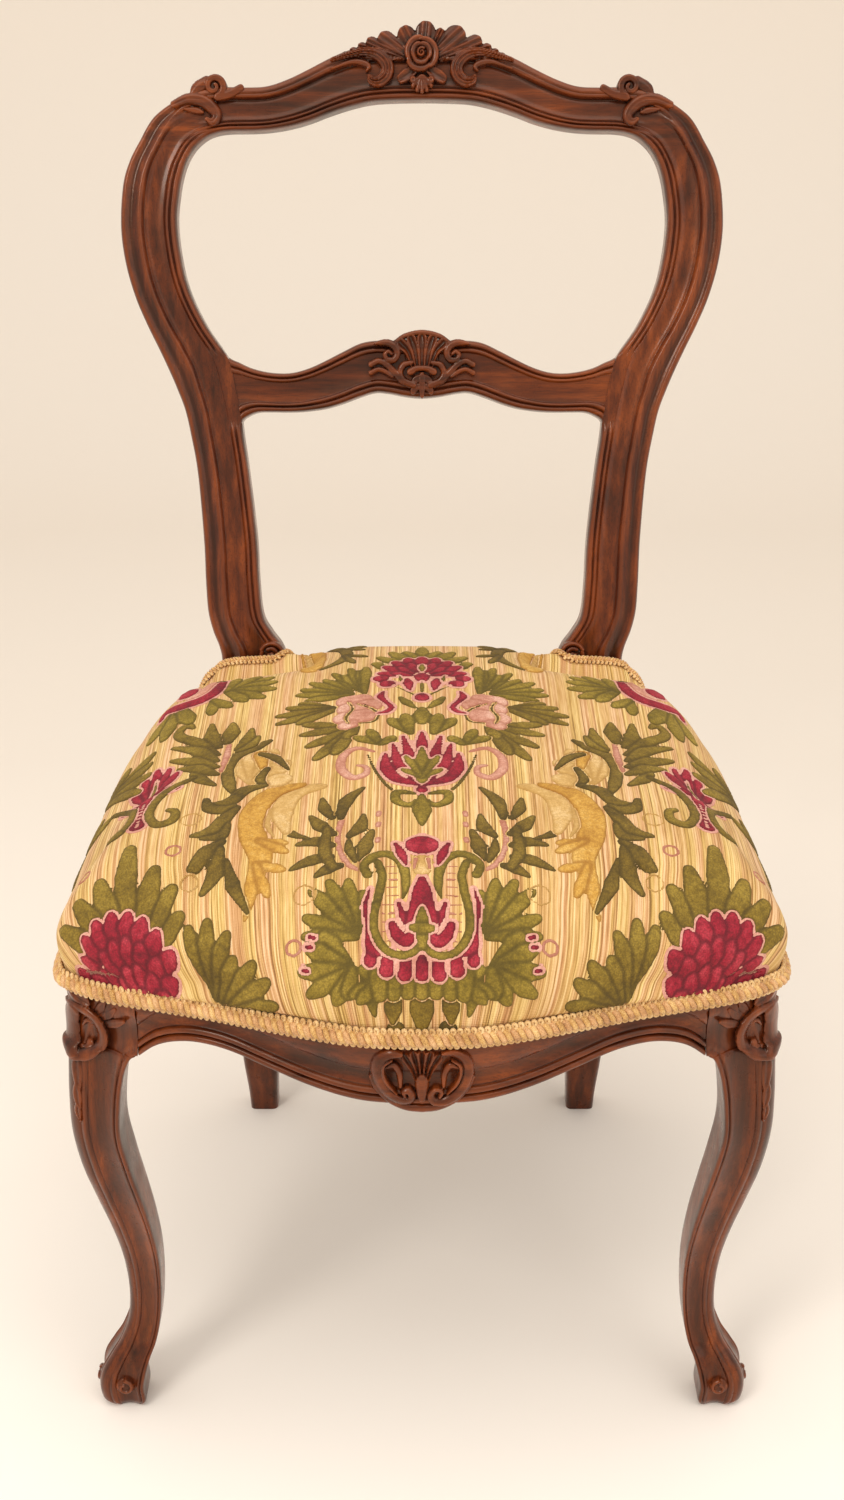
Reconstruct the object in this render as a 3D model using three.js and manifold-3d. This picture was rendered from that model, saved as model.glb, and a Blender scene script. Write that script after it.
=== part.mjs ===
// Balloon back dining chair with a carved walnut frame and a sprung, stuffed seat.
// Millimetres. +X is the sitter's left seen from the front, +Y runs to the back, +Z is up.
// The group is moved at the end so that its origin lies on the floor under the middle of the chair.

import * as THREE from "three";
import { mergeVertices } from "three/addons/utils/BufferGeometryUtils.js";
import Module from "manifold-3d";

const wasm = await Module();
wasm.setup();

// Overall sizes
const overallHeight = 924;
const railTop = 385;
const seatWidth = 464;
const backWidth = seatWidth;
const seatHalf = seatWidth / 2;
const backHalf = backWidth / 2;
const seatDepth = 462;
const frontReachShare = 0.5455;
const frontReach = seatDepth * frontReachShare;
const backEdge = seatDepth - frontReach;

// Clearances and cutting allowances
const fit = 0.3;
const overrun = 4;

// Back frame
const postThickness = 27;
const postFootWidth = 27;
const backFootKick = 16;
const backFootReach = backEdge + backFootKick;
const backInset = 28.5;
const backSetback = backEdge - backInset;
const backRake = 134;
const backBow = 12;

// Seat frame
const railThickness = 24;
const railHeight = 47;
const frontRailDrop = 65;
const showWoodTop = 362;
const rebateDepth = 4;
const webLedgeWidth = 12;
const webLedgeHeight = 346;
const postBlockWidth = 48;
const postBlockDepth = 38;
const postBlockInnerShare = 0.569;
const postBlockInner = seatHalf * postBlockInnerShare;
const postBlockInset = 23;
const postBlockFront = backEdge - postBlockInset;
const legBlockInnerShare = 0.7974;
const legBlockInner = seatHalf * legBlockInnerShare;
const legBlockBackShare = 0.5873;
const legBlockBack = -frontReach * legBlockBackShare;

// Joinery
const tenonThickness = 10;
const tenonHeight = 26;
const tenonLength = 14;
const dowelRadius = 4;
const dowelLength = 34;
const crestDowelSpacing = 17;
const midDowelSpacing = 15;
const cornerBlockHeight = 28;
const cornerBlockReach = 46;
const screwLength = 25;
const screwRadius = 2;
const screwHeadRadius = 4;
const screwHeadHeight = 2.6;
const screwEdge = 13;

// Upholstery
const crownHeight = 485;
const crownBackShare = 0.2857;
const crownBack = backEdge * crownBackShare;
const coverThickness = 3;
const platformThickness = 1.6;
const platformRiseShare = 0.44;
const platformRise = (crownHeight - railTop) * platformRiseShare;
const gimpHeight = 14;
const gimpThickness = 4;
const collarWidth = 9;
const collarThickness = 3.4;
const webWidth = 50;
const webThickness = 1.8;
const springTopRadius = 29;
const springWaistRadius = 19;
const springWire = 3.4;
const springTurns = 4;
const springSideCount = 5;
const bottomClothThickness = 1.2;

const walnut = { color: 0x5a3020, roughness: 0.42, metalness: 0 };
const walnutHidden = { color: 0x6b4a34, roughness: 0.75, metalness: 0 };
const beech = { color: 0xb88a5c, roughness: 0.7, metalness: 0 };
const steel = { color: 0x77787a, roughness: 0.4, metalness: 1 };
const velvet = { color: 0xc9ad72, roughness: 0.9, metalness: 0 };
const braid = { color: 0xd9b26c, roughness: 0.85, metalness: 0 };
const jute = { color: 0x9a7a4e, roughness: 0.95, metalness: 0 };
const horsehair = { color: 0x4a3b30, roughness: 1, metalness: 0 };

const chair = new THREE.Group();
const xAxis = new THREE.Vector3(1, 0, 0);
const yAxis = new THREE.Vector3(0, 1, 0);
const zAxis = new THREE.Vector3(0, 0, 1);

// Solids and booleans

const rodSteps = 8;

function solidFrom(geometry) {
  const bare = geometry.index ? geometry.toNonIndexed() : geometry.clone();
  for (const name of Object.keys(bare.attributes)) {
    if (name !== "position") bare.deleteAttribute(name);
  }
  const merged = mergeVertices(bare, 1e-4);
  const mesh = new wasm.Mesh({
    numProp: 3,
    vertProperties: merged.attributes.position.array,
    triVerts: new Uint32Array(merged.index.array),
  });
  const made = new wasm.Manifold(mesh);
  if (made.volume() > 0) return made;
  mesh.triVerts = mesh.triVerts.slice().reverse();
  return new wasm.Manifold(mesh);
}

function geometryFrom(solid) {
  const mesh = solid.getMesh();
  const positions = new Float32Array(mesh.numVert * 3);
  for (let i = 0; i < mesh.numVert; i += 1) {
    positions.set(mesh.vertProperties.subarray(i * mesh.numProp, i * mesh.numProp + 3), i * 3);
  }
  const geometry = new THREE.BufferGeometry();
  geometry.setAttribute("position", new THREE.BufferAttribute(positions, 3));
  geometry.setIndex(new THREE.BufferAttribute(new Uint32Array(mesh.triVerts), 1));
  geometry.computeVertexNormals();
  return geometry;
}

function add(name, solid, finish) {
  const mesh = new THREE.Mesh(geometryFrom(solid), new THREE.MeshStandardMaterial(finish));
  mesh.name = name;
  chair.add(mesh);
  return solid;
}

function joinAll(solids) {
  return solids.reduce((whole, piece) => whole.add(piece));
}

function cutAll(solid, cutters) {
  return cutters.reduce((rest, cutter) => rest.subtract(cutter), solid);
}

function mirrored(solid) {
  const geometry = geometryFrom(solid);
  geometry.scale(-1, 1, 1);
  return solidFrom(geometry);
}

// A flat polygon's triangles, from any ring of points in space.
function capTriangles(ring) {
  const normal = new THREE.Vector3();
  ring.forEach((p, i) => normal.add(new THREE.Vector3().crossVectors(p, ring[(i + 1) % ring.length])));
  normal.normalize();
  const side = new THREE.Vector3().subVectors(ring[1], ring[0]).normalize();
  const up = new THREE.Vector3().crossVectors(normal, side);
  const flat = ring.map((p) => new THREE.Vector2(p.dot(side), p.dot(up)));
  return THREE.ShapeUtils.triangulateShape(flat, []);
}

// A closed body through rings that all hold the same number of points.
function loft(rings) {
  const count = rings[0].length;
  const positions = rings.flat().flatMap((p) => [p.x, p.y, p.z]);
  const index = [];
  for (let i = 0; i + 1 < rings.length; i += 1) {
    for (let j = 0; j < count; j += 1) {
      const a = i * count + j;
      const b = i * count + ((j + 1) % count);
      index.push(a, b, b + count, a, b + count, a + count);
    }
  }
  const last = (rings.length - 1) * count;
  for (const [a, b, c] of capTriangles(rings[0])) index.push(a, c, b);
  for (const [a, b, c] of capTriangles(rings[rings.length - 1])) index.push(last + a, last + b, last + c);
  const geometry = new THREE.BufferGeometry();
  geometry.setAttribute("position", new THREE.Float32BufferAttribute(positions, 3));
  geometry.setIndex(index);
  return solidFrom(geometry);
}

function box(x0, x1, y0, y1, z0, z1) {
  const geometry = new THREE.BoxGeometry(x1 - x0, y1 - y0, z1 - z0);
  geometry.translate((x0 + x1) / 2, (y0 + y1) / 2, (z0 + z1) / 2);
  return solidFrom(geometry);
}

function rod(start, direction, length, radius) {
  const geometry = new THREE.CylinderGeometry(radius, radius, length, rodSteps);
  geometry.translate(0, length / 2, 0);
  geometry.applyQuaternion(new THREE.Quaternion().setFromUnitVectors(yAxis, direction));
  geometry.translate(start.x, start.y, start.z);
  return solidFrom(geometry);
}

function prism(points, z0, z1) {
  const geometry = new THREE.ExtrudeGeometry(new THREE.Shape(points), {
    depth: z1 - z0,
    bevelEnabled: false,
  });
  geometry.translate(0, 0, z0);
  return solidFrom(geometry);
}

// A lump of carving: an egg with its long axis turned in the plane it lies on.
function lump(centre, halfSizes, basis, turn = 0) {
  const geometry = new THREE.IcosahedronGeometry(1, 1);
  geometry.scale(...halfSizes);
  geometry.rotateZ(turn);
  geometry.applyMatrix4(basis);
  geometry.translate(centre.x, centre.y, centre.z);
  return solidFrom(geometry);
}

function blend(a, b, t) {
  return a + (b - a) * t;
}

function smooth(t) {
  const clamped = THREE.MathUtils.clamp(t, 0, 1);
  return clamped * clamped * (3 - 2 * clamped);
}

// The back frame's front surface

const backRise = overallHeight - railTop;

// How far the front face of the back frame lies behind the seat's middle at height v, at half width u.
function backDepth(u, v) {
  const climb = (v - railTop) / backRise;
  const rake = backRake * climb * (0.55 + 0.29 * climb);
  const bow = backBow * smooth((climb - 0.2) / 0.53) * (1 - Math.min(1, (u / backHalf) ** 2));
  return backSetback + rake + bow;
}

function rakeAngle(u, v) {
  const step = backRise / 100;
  return Math.atan2(backDepth(u, v + step) - backDepth(u, v - step), 2 * step);
}

// The point at width u and height v of the back's front surface, raised w towards the sitter.
function onBack(u, v, w = 0) {
  const angle = rakeAngle(u, v);
  return new THREE.Vector3(u, backDepth(u, v) - w * Math.cos(angle), v + w * Math.sin(angle));
}

// Turns flat carving axes, right, up and proud, into the back's own directions at a point.
function backBasis(u, v) {
  const angle = rakeAngle(u, v);
  const up = new THREE.Vector3(0, Math.sin(angle), Math.cos(angle));
  const proud = new THREE.Vector3(0, -Math.cos(angle), Math.sin(angle));
  return new THREE.Matrix4().makeBasis(xAxis, up, proud);
}

// Outlines are splines through shares of the back's half width and of its rise above the seat rails.
function backCurve(shares) {
  return new THREE.SplineCurve(
    shares.map(([u, v]) => new THREE.Vector2(u * backHalf, railTop + v * backRise)),
  );
}

// Moulded sections. Each point is an edge (0 outer, 1 inner), a distance in from it, and a depth.
const fieldDepth = 4.4;
const beadWidth = 6;
const beadTop = 1.6;
const rollWidth = 19.5;
const crestRollWidth = 8.6;
const arris = 0.8;

const innerBeadPoints = [
  [1, beadWidth * 1.4, -fieldDepth * 0.9],
  [1, beadWidth, -fieldDepth * 0.55],
  [1, beadWidth * 0.45, -beadTop],
  [1, 0, -fieldDepth],
];
const postSection = [
  [0, rollWidth * 0.2, -postThickness],
  [0, 0, -postThickness * 0.75],
  [0, 0, -postThickness * 0.3],
  [0, rollWidth * 0.12, -fieldDepth],
  [0, rollWidth * 0.36, -beadTop],
  [0, rollWidth * 0.75, 0],
  [0, rollWidth, -fieldDepth * 0.8],
  [0.5, 0, -fieldDepth],
  ...innerBeadPoints,
  [1, 0, -postThickness * 0.75],
  [1, rollWidth * 0.2, -postThickness],
];
const crestSection = [
  [0, crestRollWidth * 0.4, -postThickness],
  [0, 0, -postThickness * 0.75],
  [0, 0, -postThickness * 0.25],
  [0, crestRollWidth * 0.1, -fieldDepth * 0.7],
  [0, crestRollWidth * 0.3, -arris],
  [0, crestRollWidth * 0.7, 0],
  [0, crestRollWidth, -fieldDepth],
  [0.5, 0, -fieldDepth * 1.1],
  ...innerBeadPoints,
  [1, 0, -postThickness * 0.75],
  [1, crestRollWidth * 0.4, -postThickness],
];
const midSection = [
  [0, beadWidth * 0.6, -postThickness],
  [0, 0, -postThickness * 0.75],
  [0, 0, -fieldDepth],
  [0, beadWidth * 0.45, -beadTop],
  [0, beadWidth, -fieldDepth * 0.55],
  [0, beadWidth * 1.4, -fieldDepth * 0.9],
  [0.5, 0, -fieldDepth],
  ...innerBeadPoints,
  [1, 0, -postThickness * 0.75],
  [1, beadWidth * 0.6, -postThickness],
];

function blendSections(a, b, t) {
  return a.map(([edge, inset, depth], i) => [edge, blend(inset, b[i][1], t), blend(depth, b[i][2], t)]);
}

// One ring of a moulding that runs between an outer and an inner point of the back's outline.
function sectionRing(section, outer, inner) {
  const across = new THREE.Vector2().subVectors(inner, outer);
  const width = across.length();
  across.normalize();
  return section.map(([edge, inset, depth]) => {
    const along = edge === 0 ? inset : edge === 1 ? width - inset : width * edge;
    return onBack(outer.x + across.x * along, outer.y + across.y * along, depth);
  });
}

function moulding(outerCurve, innerCurve, stations, sectionAt) {
  const rings = [];
  for (let i = 0; i <= stations; i += 1) {
    const t = i / stations;
    rings.push(sectionRing(sectionAt(t), outerCurve.getPoint(t), innerCurve.getPoint(t)));
  }
  return loft(rings);
}

// Joints of the back frame: a point on each joint face, and the direction the face runs in.
const crestJoint = { from: [0.774, 0.8255], to: [0.924, 0.8535], reachShare: 1 };
const midJoint = { from: [0.6133, 0.4705], to: [0.653, 0.5595], reachShare: 0.45 };

function jointFrame(joint) {
  const from = new THREE.Vector2(joint.from[0] * backHalf, railTop + joint.from[1] * backRise);
  const to = new THREE.Vector2(joint.to[0] * backHalf, railTop + joint.to[1] * backRise);
  const middle = new THREE.Vector2().addVectors(from, to).multiplyScalar(0.5);
  const run = new THREE.Vector2().subVectors(to, from).normalize();
  const basis = backBasis(middle.x, middle.y);
  const along = new THREE.Vector3(run.x, run.y, 0).transformDirection(basis);
  const across = new THREE.Vector3(-run.y, run.x, 0).transformDirection(basis);
  const proud = new THREE.Vector3(0, 0, 1).transformDirection(basis);
  const centre = onBack(middle.x, middle.y, -postThickness * 0.55);
  return { centre, along, across, proud };
}

// A block that fills everything on one side of a joint face.
function beyondJoint(joint, side, gap) {
  const { centre, along, across, proud } = jointFrame(joint);
  const size = backWidth * joint.reachShare;
  const geometry = new THREE.BoxGeometry(size, size, size);
  geometry.translate(0, side * (size / 2 + gap), 0);
  geometry.applyMatrix4(new THREE.Matrix4().makeBasis(along, across, proud));
  geometry.translate(centre.x, centre.y, centre.z);
  return solidFrom(geometry);
}

function jointDowels(joint, spacing, radius, length, level = false) {
  const frame = jointFrame(joint);
  const across = level ? xAxis : frame.across;
  const along = level ? zAxis : frame.along;
  const centre = frame.centre;
  return [-1, 1].map((side) => {
    const start = centre
      .clone()
      .addScaledVector(along, (side * spacing) / 2)
      .addScaledVector(across, -length / 2);
    return rod(start, across, length, radius);
  });
}

const crestDowels = jointDowels(crestJoint, crestDowelSpacing, dowelRadius, dowelLength);
const crestDowelHoles = jointDowels(crestJoint, crestDowelSpacing, dowelRadius + fit, dowelLength + 2 * fit);
const midDowels = jointDowels(midJoint, midDowelSpacing, dowelRadius, dowelLength, true);
const midDowelHoles = jointDowels(midJoint, midDowelSpacing, dowelRadius + fit, dowelLength + 2 * fit, true);

// Seat plan

// The outer face of the seat frame, from the middle of the front round to the middle of the back.
const planShares = [
  [0, 1, 0],
  [0.16, 0.989, 0],
  [0.31, 0.952, 0],
  [0.45, 0.907, 0],
  [0.585, 0.862, 0],
  [0.72, 0.824, 0],
  [0.86, 0.784, 0],
  [0.968, 0.733, 0],
  [1.016, 0.672, 0],
  [1.021, 0.5, 0],
  [1.01, 0.22, 0],
  [0.985, 0, 0.08],
  [0.942, 0, 0.3],
  [0.893, 0, 0.52],
  [0.837, 0, 0.74],
  [0.782, 0, 0.9],
  [0.72, 0, 0.97],
  [0.6, 0, 1],
  [0.3, 0, 1.01],
  [0, 0, 1.012],
];
const planCurve = new THREE.SplineCurve(
  planShares.map(([x, front, back]) => new THREE.Vector2(x * seatHalf, back * backEdge - front * frontReach)),
);

// A point on the plan at t from 0 (front) to 1 (back), moved out square to the face.
function planPoint(t, out = 0) {
  const point = planCurve.getPoint(t);
  const tangent = planCurve.getTangent(t);
  return new THREE.Vector2(point.x + tangent.y * out, point.y - tangent.x * out);
}

// All the rings round the seat share the same stations, so that their clearances stay even.
const planSteps = 20;

function planRing(out, steps = planSteps) {
  const right = Array.from({ length: steps + 1 }, (_, i) => planPoint(i / steps, out));
  right[0].x = 0;
  right[steps].x = 0;
  const left = right.slice(1, steps).reverse().map((p) => new THREE.Vector2(-p.x, p.y));
  return [...right, ...left];
}

// The plan parameter where the outline, moved out, reaches a given x on the front or y on the side.
function planAt(reached, low, high, out = 0) {
  let from = low;
  let to = high;
  for (let i = 0; i < 40; i += 1) {
    const middle = (from + to) / 2;
    if (reached(planPoint(middle, out))) to = middle;
    else from = middle;
  }
  return (from + to) / 2;
}

const frontEnd = planAt((p) => p.x > legBlockInner, 0, 0.45);
const sideStart = planAt((p) => p.y > legBlockBack, 0.35, 0.9);
const sideEnd = planAt((p) => p.y > postBlockFront, 0.5, 0.95);

const upholsteryRebate = prism(planRing(overrun * 3), showWoodTop, railTop + overrun * 2).subtract(
  prism(planRing(-rebateDepth), showWoodTop - overrun, railTop + overrun * 3),
);
const webRebate = prism(planRing(-webLedgeWidth), 0, webLedgeHeight);

// Rails: a moulded section swept along the plan, from a bottom edge that rises and falls up to the rail top.

function railSection(bottom, top) {
  const height = top - bottom;
  return [
    [-railThickness, bottom],
    [-arris * 2, bottom],
    [0, bottom + beadWidth * 0.3],
    [0, bottom + beadWidth * 0.7],
    [-arris * 1.5, bottom + beadWidth],
    [-arris * 0.5, bottom + beadWidth * 1.4],
    [-fieldDepth, bottom + Math.max(beadWidth * 2, height * 0.33)],
    [-fieldDepth * 0.6, top - (railTop - showWoodTop) - beadWidth * 0.6],
    [-arris, top - (railTop - showWoodTop)],
    [-arris, top],
    [-railThickness, top],
  ];
}

function rail(from, to, stations, bottomAt) {
  const rings = [];
  for (let i = 0; i <= stations; i += 1) {
    const t = blend(from, to, i / stations);
    const bottom = bottomAt(t, i / stations);
    rings.push(
      railSection(bottom, railTop).map(([out, z]) => {
        const p = planPoint(Math.abs(t), out);
        return new THREE.Vector3(t < 0 ? -p.x : p.x, p.y, z);
      }),
    );
  }
  return loft(rings);
}

const frontDropCurve = new THREE.SplineCurve(
  [
    [0, 1],
    [0.2, 0.985],
    [0.36, 0.92],
    [0.52, 0.8],
    [0.66, 0.69],
    [0.78, 0.66],
    [0.87, 0.7],
    [0.94, 0.79],
    [1, 0.935],
  ].map(([x, drop]) => new THREE.Vector2(x * legBlockInner, railTop - drop * frontRailDrop)),
);

// The height of a spline of points with growing x, at one x.
function heightOn(curve, x) {
  let low = 0;
  let high = 1;
  for (let i = 0; i < 30; i += 1) {
    const middle = (low + high) / 2;
    if (curve.getPoint(middle).x < x) low = middle;
    else high = middle;
  }
  return curve.getPoint((low + high) / 2).y;
}

function frontBottom(t) {
  return heightOn(frontDropCurve, Math.min(legBlockInner, planPoint(Math.abs(t)).x));
}

function sideBottom(_, share) {
  const arch = Math.sin(Math.PI * THREE.MathUtils.clamp(share, 0, 1)) ** 0.5;
  return railTop - railHeight - beadWidth * 1.6 * (1 - arch);
}

// Tenons run square into the leg and post blocks.
const tenonBottom = webLedgeHeight + overrun / 2;
const tenonTop = tenonBottom + tenonHeight;
const frontTenonY = planPoint(frontEnd).y + railThickness * 0.8;
const sideTenonX = planPoint(sideStart).x - railThickness * 0.5;
const rearTenonX = postBlockInner + postBlockWidth * 0.75;
const backTenonY = postBlockFront + postBlockDepth * 0.5;

function tenonBox(x0, x1, y0, y1, gap = 0) {
  return box(x0 - gap, x1 + gap, y0 - gap, y1 + gap, tenonBottom - gap, tenonTop + gap);
}

function frontTenon(gap) {
  const half = tenonThickness / 2;
  return tenonBox(legBlockInner - overrun, legBlockInner + tenonLength, frontTenonY - half, frontTenonY + half, gap);
}

function sideTenon(gap) {
  const half = tenonThickness / 2;
  return tenonBox(sideTenonX - half, sideTenonX + half, legBlockBack - tenonLength, legBlockBack + overrun, gap);
}

function rearTenon(gap) {
  const half = tenonThickness / 2;
  return tenonBox(rearTenonX - half, rearTenonX + half, postBlockFront - overrun, postBlockFront + tenonLength, gap);
}

function backTenon(gap) {
  const half = tenonThickness / 2;
  return tenonBox(postBlockInner - overrun, postBlockInner + tenonLength, backTenonY - half, backTenonY + half, gap);
}

// Rear posts: leg, block and moulded upper post, all one piece of wood.

const rearLegShares = [
  [0, 0.945, 0.93, 1],
  [0.06, 0.945, 1, 0.82],
  [0.17, 0.95, 1.18, 0.48],
  [0.36, 0.965, 1.3, 0.18],
  [0.6, 0.985, 1.42, 0.05],
  [0.8, 1, 1.56, 0],
];

// Height from the rail top in rail heights, narrowing, and how far it has come into the post's lean.
const postBlockShares = [
  [-1.255, 1, 0],
  [0.083, 1, 0],
  [0.913, 0.82, 1],
];

function chamferedRing(x, y, z, halfX, halfY, chamfer) {
  const corners = [
    [1, 1 - chamfer],
    [1 - chamfer, 1],
    [chamfer - 1, 1],
    [-1, 1 - chamfer],
    [-1, chamfer - 1],
    [chamfer - 1, -1],
    [1 - chamfer, -1],
    [1, chamfer - 1],
  ];
  return corners.map(([a, b]) => new THREE.Vector3(x + a * halfX, y + b * halfY, z));
}

function rearLeg() {
  const blockX = postBlockInner + postBlockWidth / 2;
  const blockY = postBlockFront + postBlockDepth / 2;
  const half = postFootWidth / 2;
  const rings = rearLegShares.map(([height, x, size, kick]) =>
    chamferedRing(
      blockX * x,
      blend(blockY, backFootReach, kick),
      height * railTop,
      half * size,
      half * size,
      0.42,
    ),
  );
  for (const [rise, narrowing, lean] of postBlockShares) {
    const z = railTop + rise * railHeight;
    const halfDepth = (postBlockDepth / 2) * blend(1, (postThickness / postBlockDepth) * 0.94, lean);
    const y = blend(blockY, backDepth(backHalf, z) + postThickness / 2, lean);
    const outward = (postBlockWidth / 2) * (1 - narrowing) * 0.1;
    rings.push(chamferedRing(blockX - outward, y, z, (postBlockWidth / 2) * narrowing, halfDepth, 0.1));
  }
  return loft(rings);
}

const postOuterShares = [
  [0.745, 0.008],
  [0.735, 0.065],
  [0.715, 0.105],
  [0.705, 0.125],
  [0.713, 0.145],
  [0.733, 0.169],
  [0.748, 0.1985],
  [0.7525, 0.241],
  [0.755, 0.306],
  [0.769, 0.399],
  [0.79, 0.456],
  [0.806, 0.488],
  [0.828, 0.514],
  [0.852, 0.539],
  [0.886, 0.571],
  [0.924, 0.605],
  [0.961, 0.644],
  [0.989, 0.69],
  [1, 0.738],
  [0.989, 0.791],
  [0.964, 0.824],
  [0.924, 0.8535],
  [0.898, 0.872],
];
const postInnerShares = [
  [0.58, 0.008],
  [0.575, 0.065],
  [0.515, 0.1],
  [0.485, 0.125],
  [0.492, 0.145],
  [0.526, 0.166],
  [0.556, 0.191],
  [0.5665, 0.2375],
  [0.572, 0.306],
  [0.594, 0.399],
  [0.612, 0.45],
  [0.572, 0.484],
  [0.586, 0.515],
  [0.61, 0.549],
  [0.672, 0.569],
  [0.727, 0.603],
  [0.777, 0.647],
  [0.803, 0.689],
  [0.8155, 0.742],
  [0.804, 0.785],
  [0.7885, 0.811],
  [0.774, 0.8255],
  [0.755, 0.842],
];
const voluteRadius = 10.5;
const voluteShares = [0.527, 0.1345];

// The eye of a scroll: a raised disc with a sunk ring round a button.
function volute(u, v, radius, rise) {
  const profile = [
    [0, -fieldDepth * 2],
    [1, -fieldDepth * 2],
    [1, rise * 0.6],
    [0.85, rise],
    [0.66, rise * 0.4],
    [0.4, rise * 1.3],
    [0, rise * 1.6],
  ].map(([share, height]) => new THREE.Vector2(share * radius, height));
  const geometry = new THREE.LatheGeometry(profile, 12);
  geometry.rotateX(Math.PI / 2);
  geometry.applyMatrix4(backBasis(u, v));
  const centre = onBack(u, v, 0);
  geometry.translate(centre.x, centre.y, centre.z);
  return solidFrom(geometry);
}

function rearPost() {
  const upper = moulding(backCurve(postOuterShares), backCurve(postInnerShares), 34, () => postSection);
  const trimmed = upper.subtract(beyondJoint(crestJoint, 1, -fit / 2)).subtract(beyondJoint(midJoint, 1, -fit / 2));
  const scroll = volute(voluteShares[0] * backHalf, railTop + voluteShares[1] * backRise, voluteRadius, beadTop);
  const post = joinAll([rearLeg(), trimmed, scroll]);
  return cutAll(post, [rearTenon(fit), backTenon(fit), ...crestDowelHoles, ...midDowelHoles]);
}

// Crest rail

const crestTopShares = [
  [0.95, 0.828],
  [0.924, 0.8535],
  [0.888, 0.877],
  [0.845, 0.892],
  [0.789, 0.905],
  [0.724, 0.915],
  [0.647, 0.918],
  [0.578, 0.9175],
  [0.509, 0.919],
  [0.44, 0.928],
  [0.371, 0.941],
  [0.302, 0.955],
  [0.233, 0.966],
  [0.164, 0.971],
  [0.086, 0.973],
  [0, 0.973],
];
const crestBottomShares = [
  [0.796, 0.806],
  [0.774, 0.8255],
  [0.748, 0.841],
  [0.713, 0.853],
  [0.675, 0.859],
  [0.634, 0.861],
  [0.591, 0.8612],
  [0.547, 0.8615],
  [0.496, 0.863],
  [0.435, 0.867],
  [0.371, 0.874],
  [0.304, 0.884],
  [0.233, 0.893],
  [0.164, 0.899],
  [0.086, 0.901],
  [0, 0.9015],
];

// Half of a symmetrical rail from its joint to the middle, then the same points mirrored.
function acrossBack(shares) {
  const far = shares.slice(0, -1).reverse().map(([u, v]) => [-u, v]);
  return [...shares, ...far];
}

// How far the foot of a carved scroll is sunk into the face it is carved on.
const scrollSink = fieldDepth * 1.6;

// A tapering scroll that follows points on the back. Each holds u, v, half width and rise.
function scrollOnBack(points, sides = 5) {
  const rings = points.map(([u, v, halfWidth, rise], i) => {
    const next = points[Math.min(i + 1, points.length - 1)];
    const previous = points[Math.max(i - 1, 0)];
    const run = new THREE.Vector2(next[0] - previous[0], next[1] - previous[1]).normalize();
    return Array.from({ length: sides }, (_, j) => {
      const angle = (2 * Math.PI * j) / sides;
      const across = Math.cos(angle) * halfWidth;
      const proud = (1 + Math.sin(angle)) * rise * 0.5 - scrollSink;
      return onBack(u - run.y * across, v + run.x * across, proud);
    });
  });
  return loft(rings);
}

// Points of a spiral that winds in from a start angle, for the carved scrolls.
function spiralPoints(centre, startRadius, endRadius, startAngle, turns, width, rise, steps) {
  return Array.from({ length: steps + 1 }, (_, i) => {
    const t = i / steps;
    const radius = blend(startRadius, endRadius, t);
    const angle = startAngle + turns * 2 * Math.PI * t;
    const taper = blend(0.55, 1, Math.sin(Math.PI * Math.min(1, t * 1.15 + 0.12)));
    return [centre[0] + radius * Math.cos(angle), centre[1] + radius * Math.sin(angle), width * taper, rise];
  });
}

const cartoucheHalf = 56;
const roseRadius = 15;
const crestMiddle = railTop + backRise * 0.944;

// A carved plate with a lobed outline. Each half outline point, from straight down round to straight
// up, holds its radius and the height of its ridge as shares.
function carvedPlate(place, size, halfShares, rise, depth) {
  const far = halfShares.slice(1, -1).reverse();
  const outline = [...halfShares, ...far];
  const ring = (drawn, level) =>
    outline.map(([radius, ridge], i) => {
      const angle = (2 * Math.PI * i) / outline.length - Math.PI / 2;
      const reach = radius * size * drawn;
      return place(Math.cos(angle) * reach, Math.sin(angle) * reach, level(ridge));
    });
  return loft([
    ring(0.96, () => -depth),
    ring(1, () => -depth * 0.2),
    ring(0.86, (ridge) => rise * ridge),
    ring(0.5, (ridge) => rise * blend(1, ridge, 0.6)),
    ring(0.1, () => rise * 0.8),
  ]);
}

const crestLobeShares = [
  [0.36, 0.4],
  [0.37, 0.4],
  [0.42, 0.5],
  [0.5, 0.6],
  [0.62, 0.5],
  [0.78, 0.8],
  [0.93, 1],
  [0.86, 0.35],
  [0.84, 1],
  [0.62, 0.35],
  [0.6, 1],
  [0.51, 0.35],
  [0.54, 1],
];

// The shell lobes that fan out behind the rose.
function crestLobes() {
  const place = (u, v, w) => onBack(u, crestMiddle + v, w - fieldDepth * 0.5);
  return carvedPlate(place, cartoucheHalf, crestLobeShares, fieldDepth, fieldDepth * 2);
}

const roseShares = [
  [0.72, 0.6],
  [0.98, 1],
  [1, 0.9],
  [0.74, 0.55],
  [0.98, 1],
  [1, 0.9],
  [0.76, 0.55],
  [0.98, 1],
  [0.92, 0.9],
];

function rose() {
  const middle = crestMiddle + roseRadius * 0.48;
  const place = (u, v, w) => onBack(u, middle + v, w);
  return carvedPlate(place, roseRadius, roseShares, fieldDepth * 1.1, fieldDepth * 2);
}

const earRadius = 9.4;
const earShares = [0.681, 0.9175];

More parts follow.
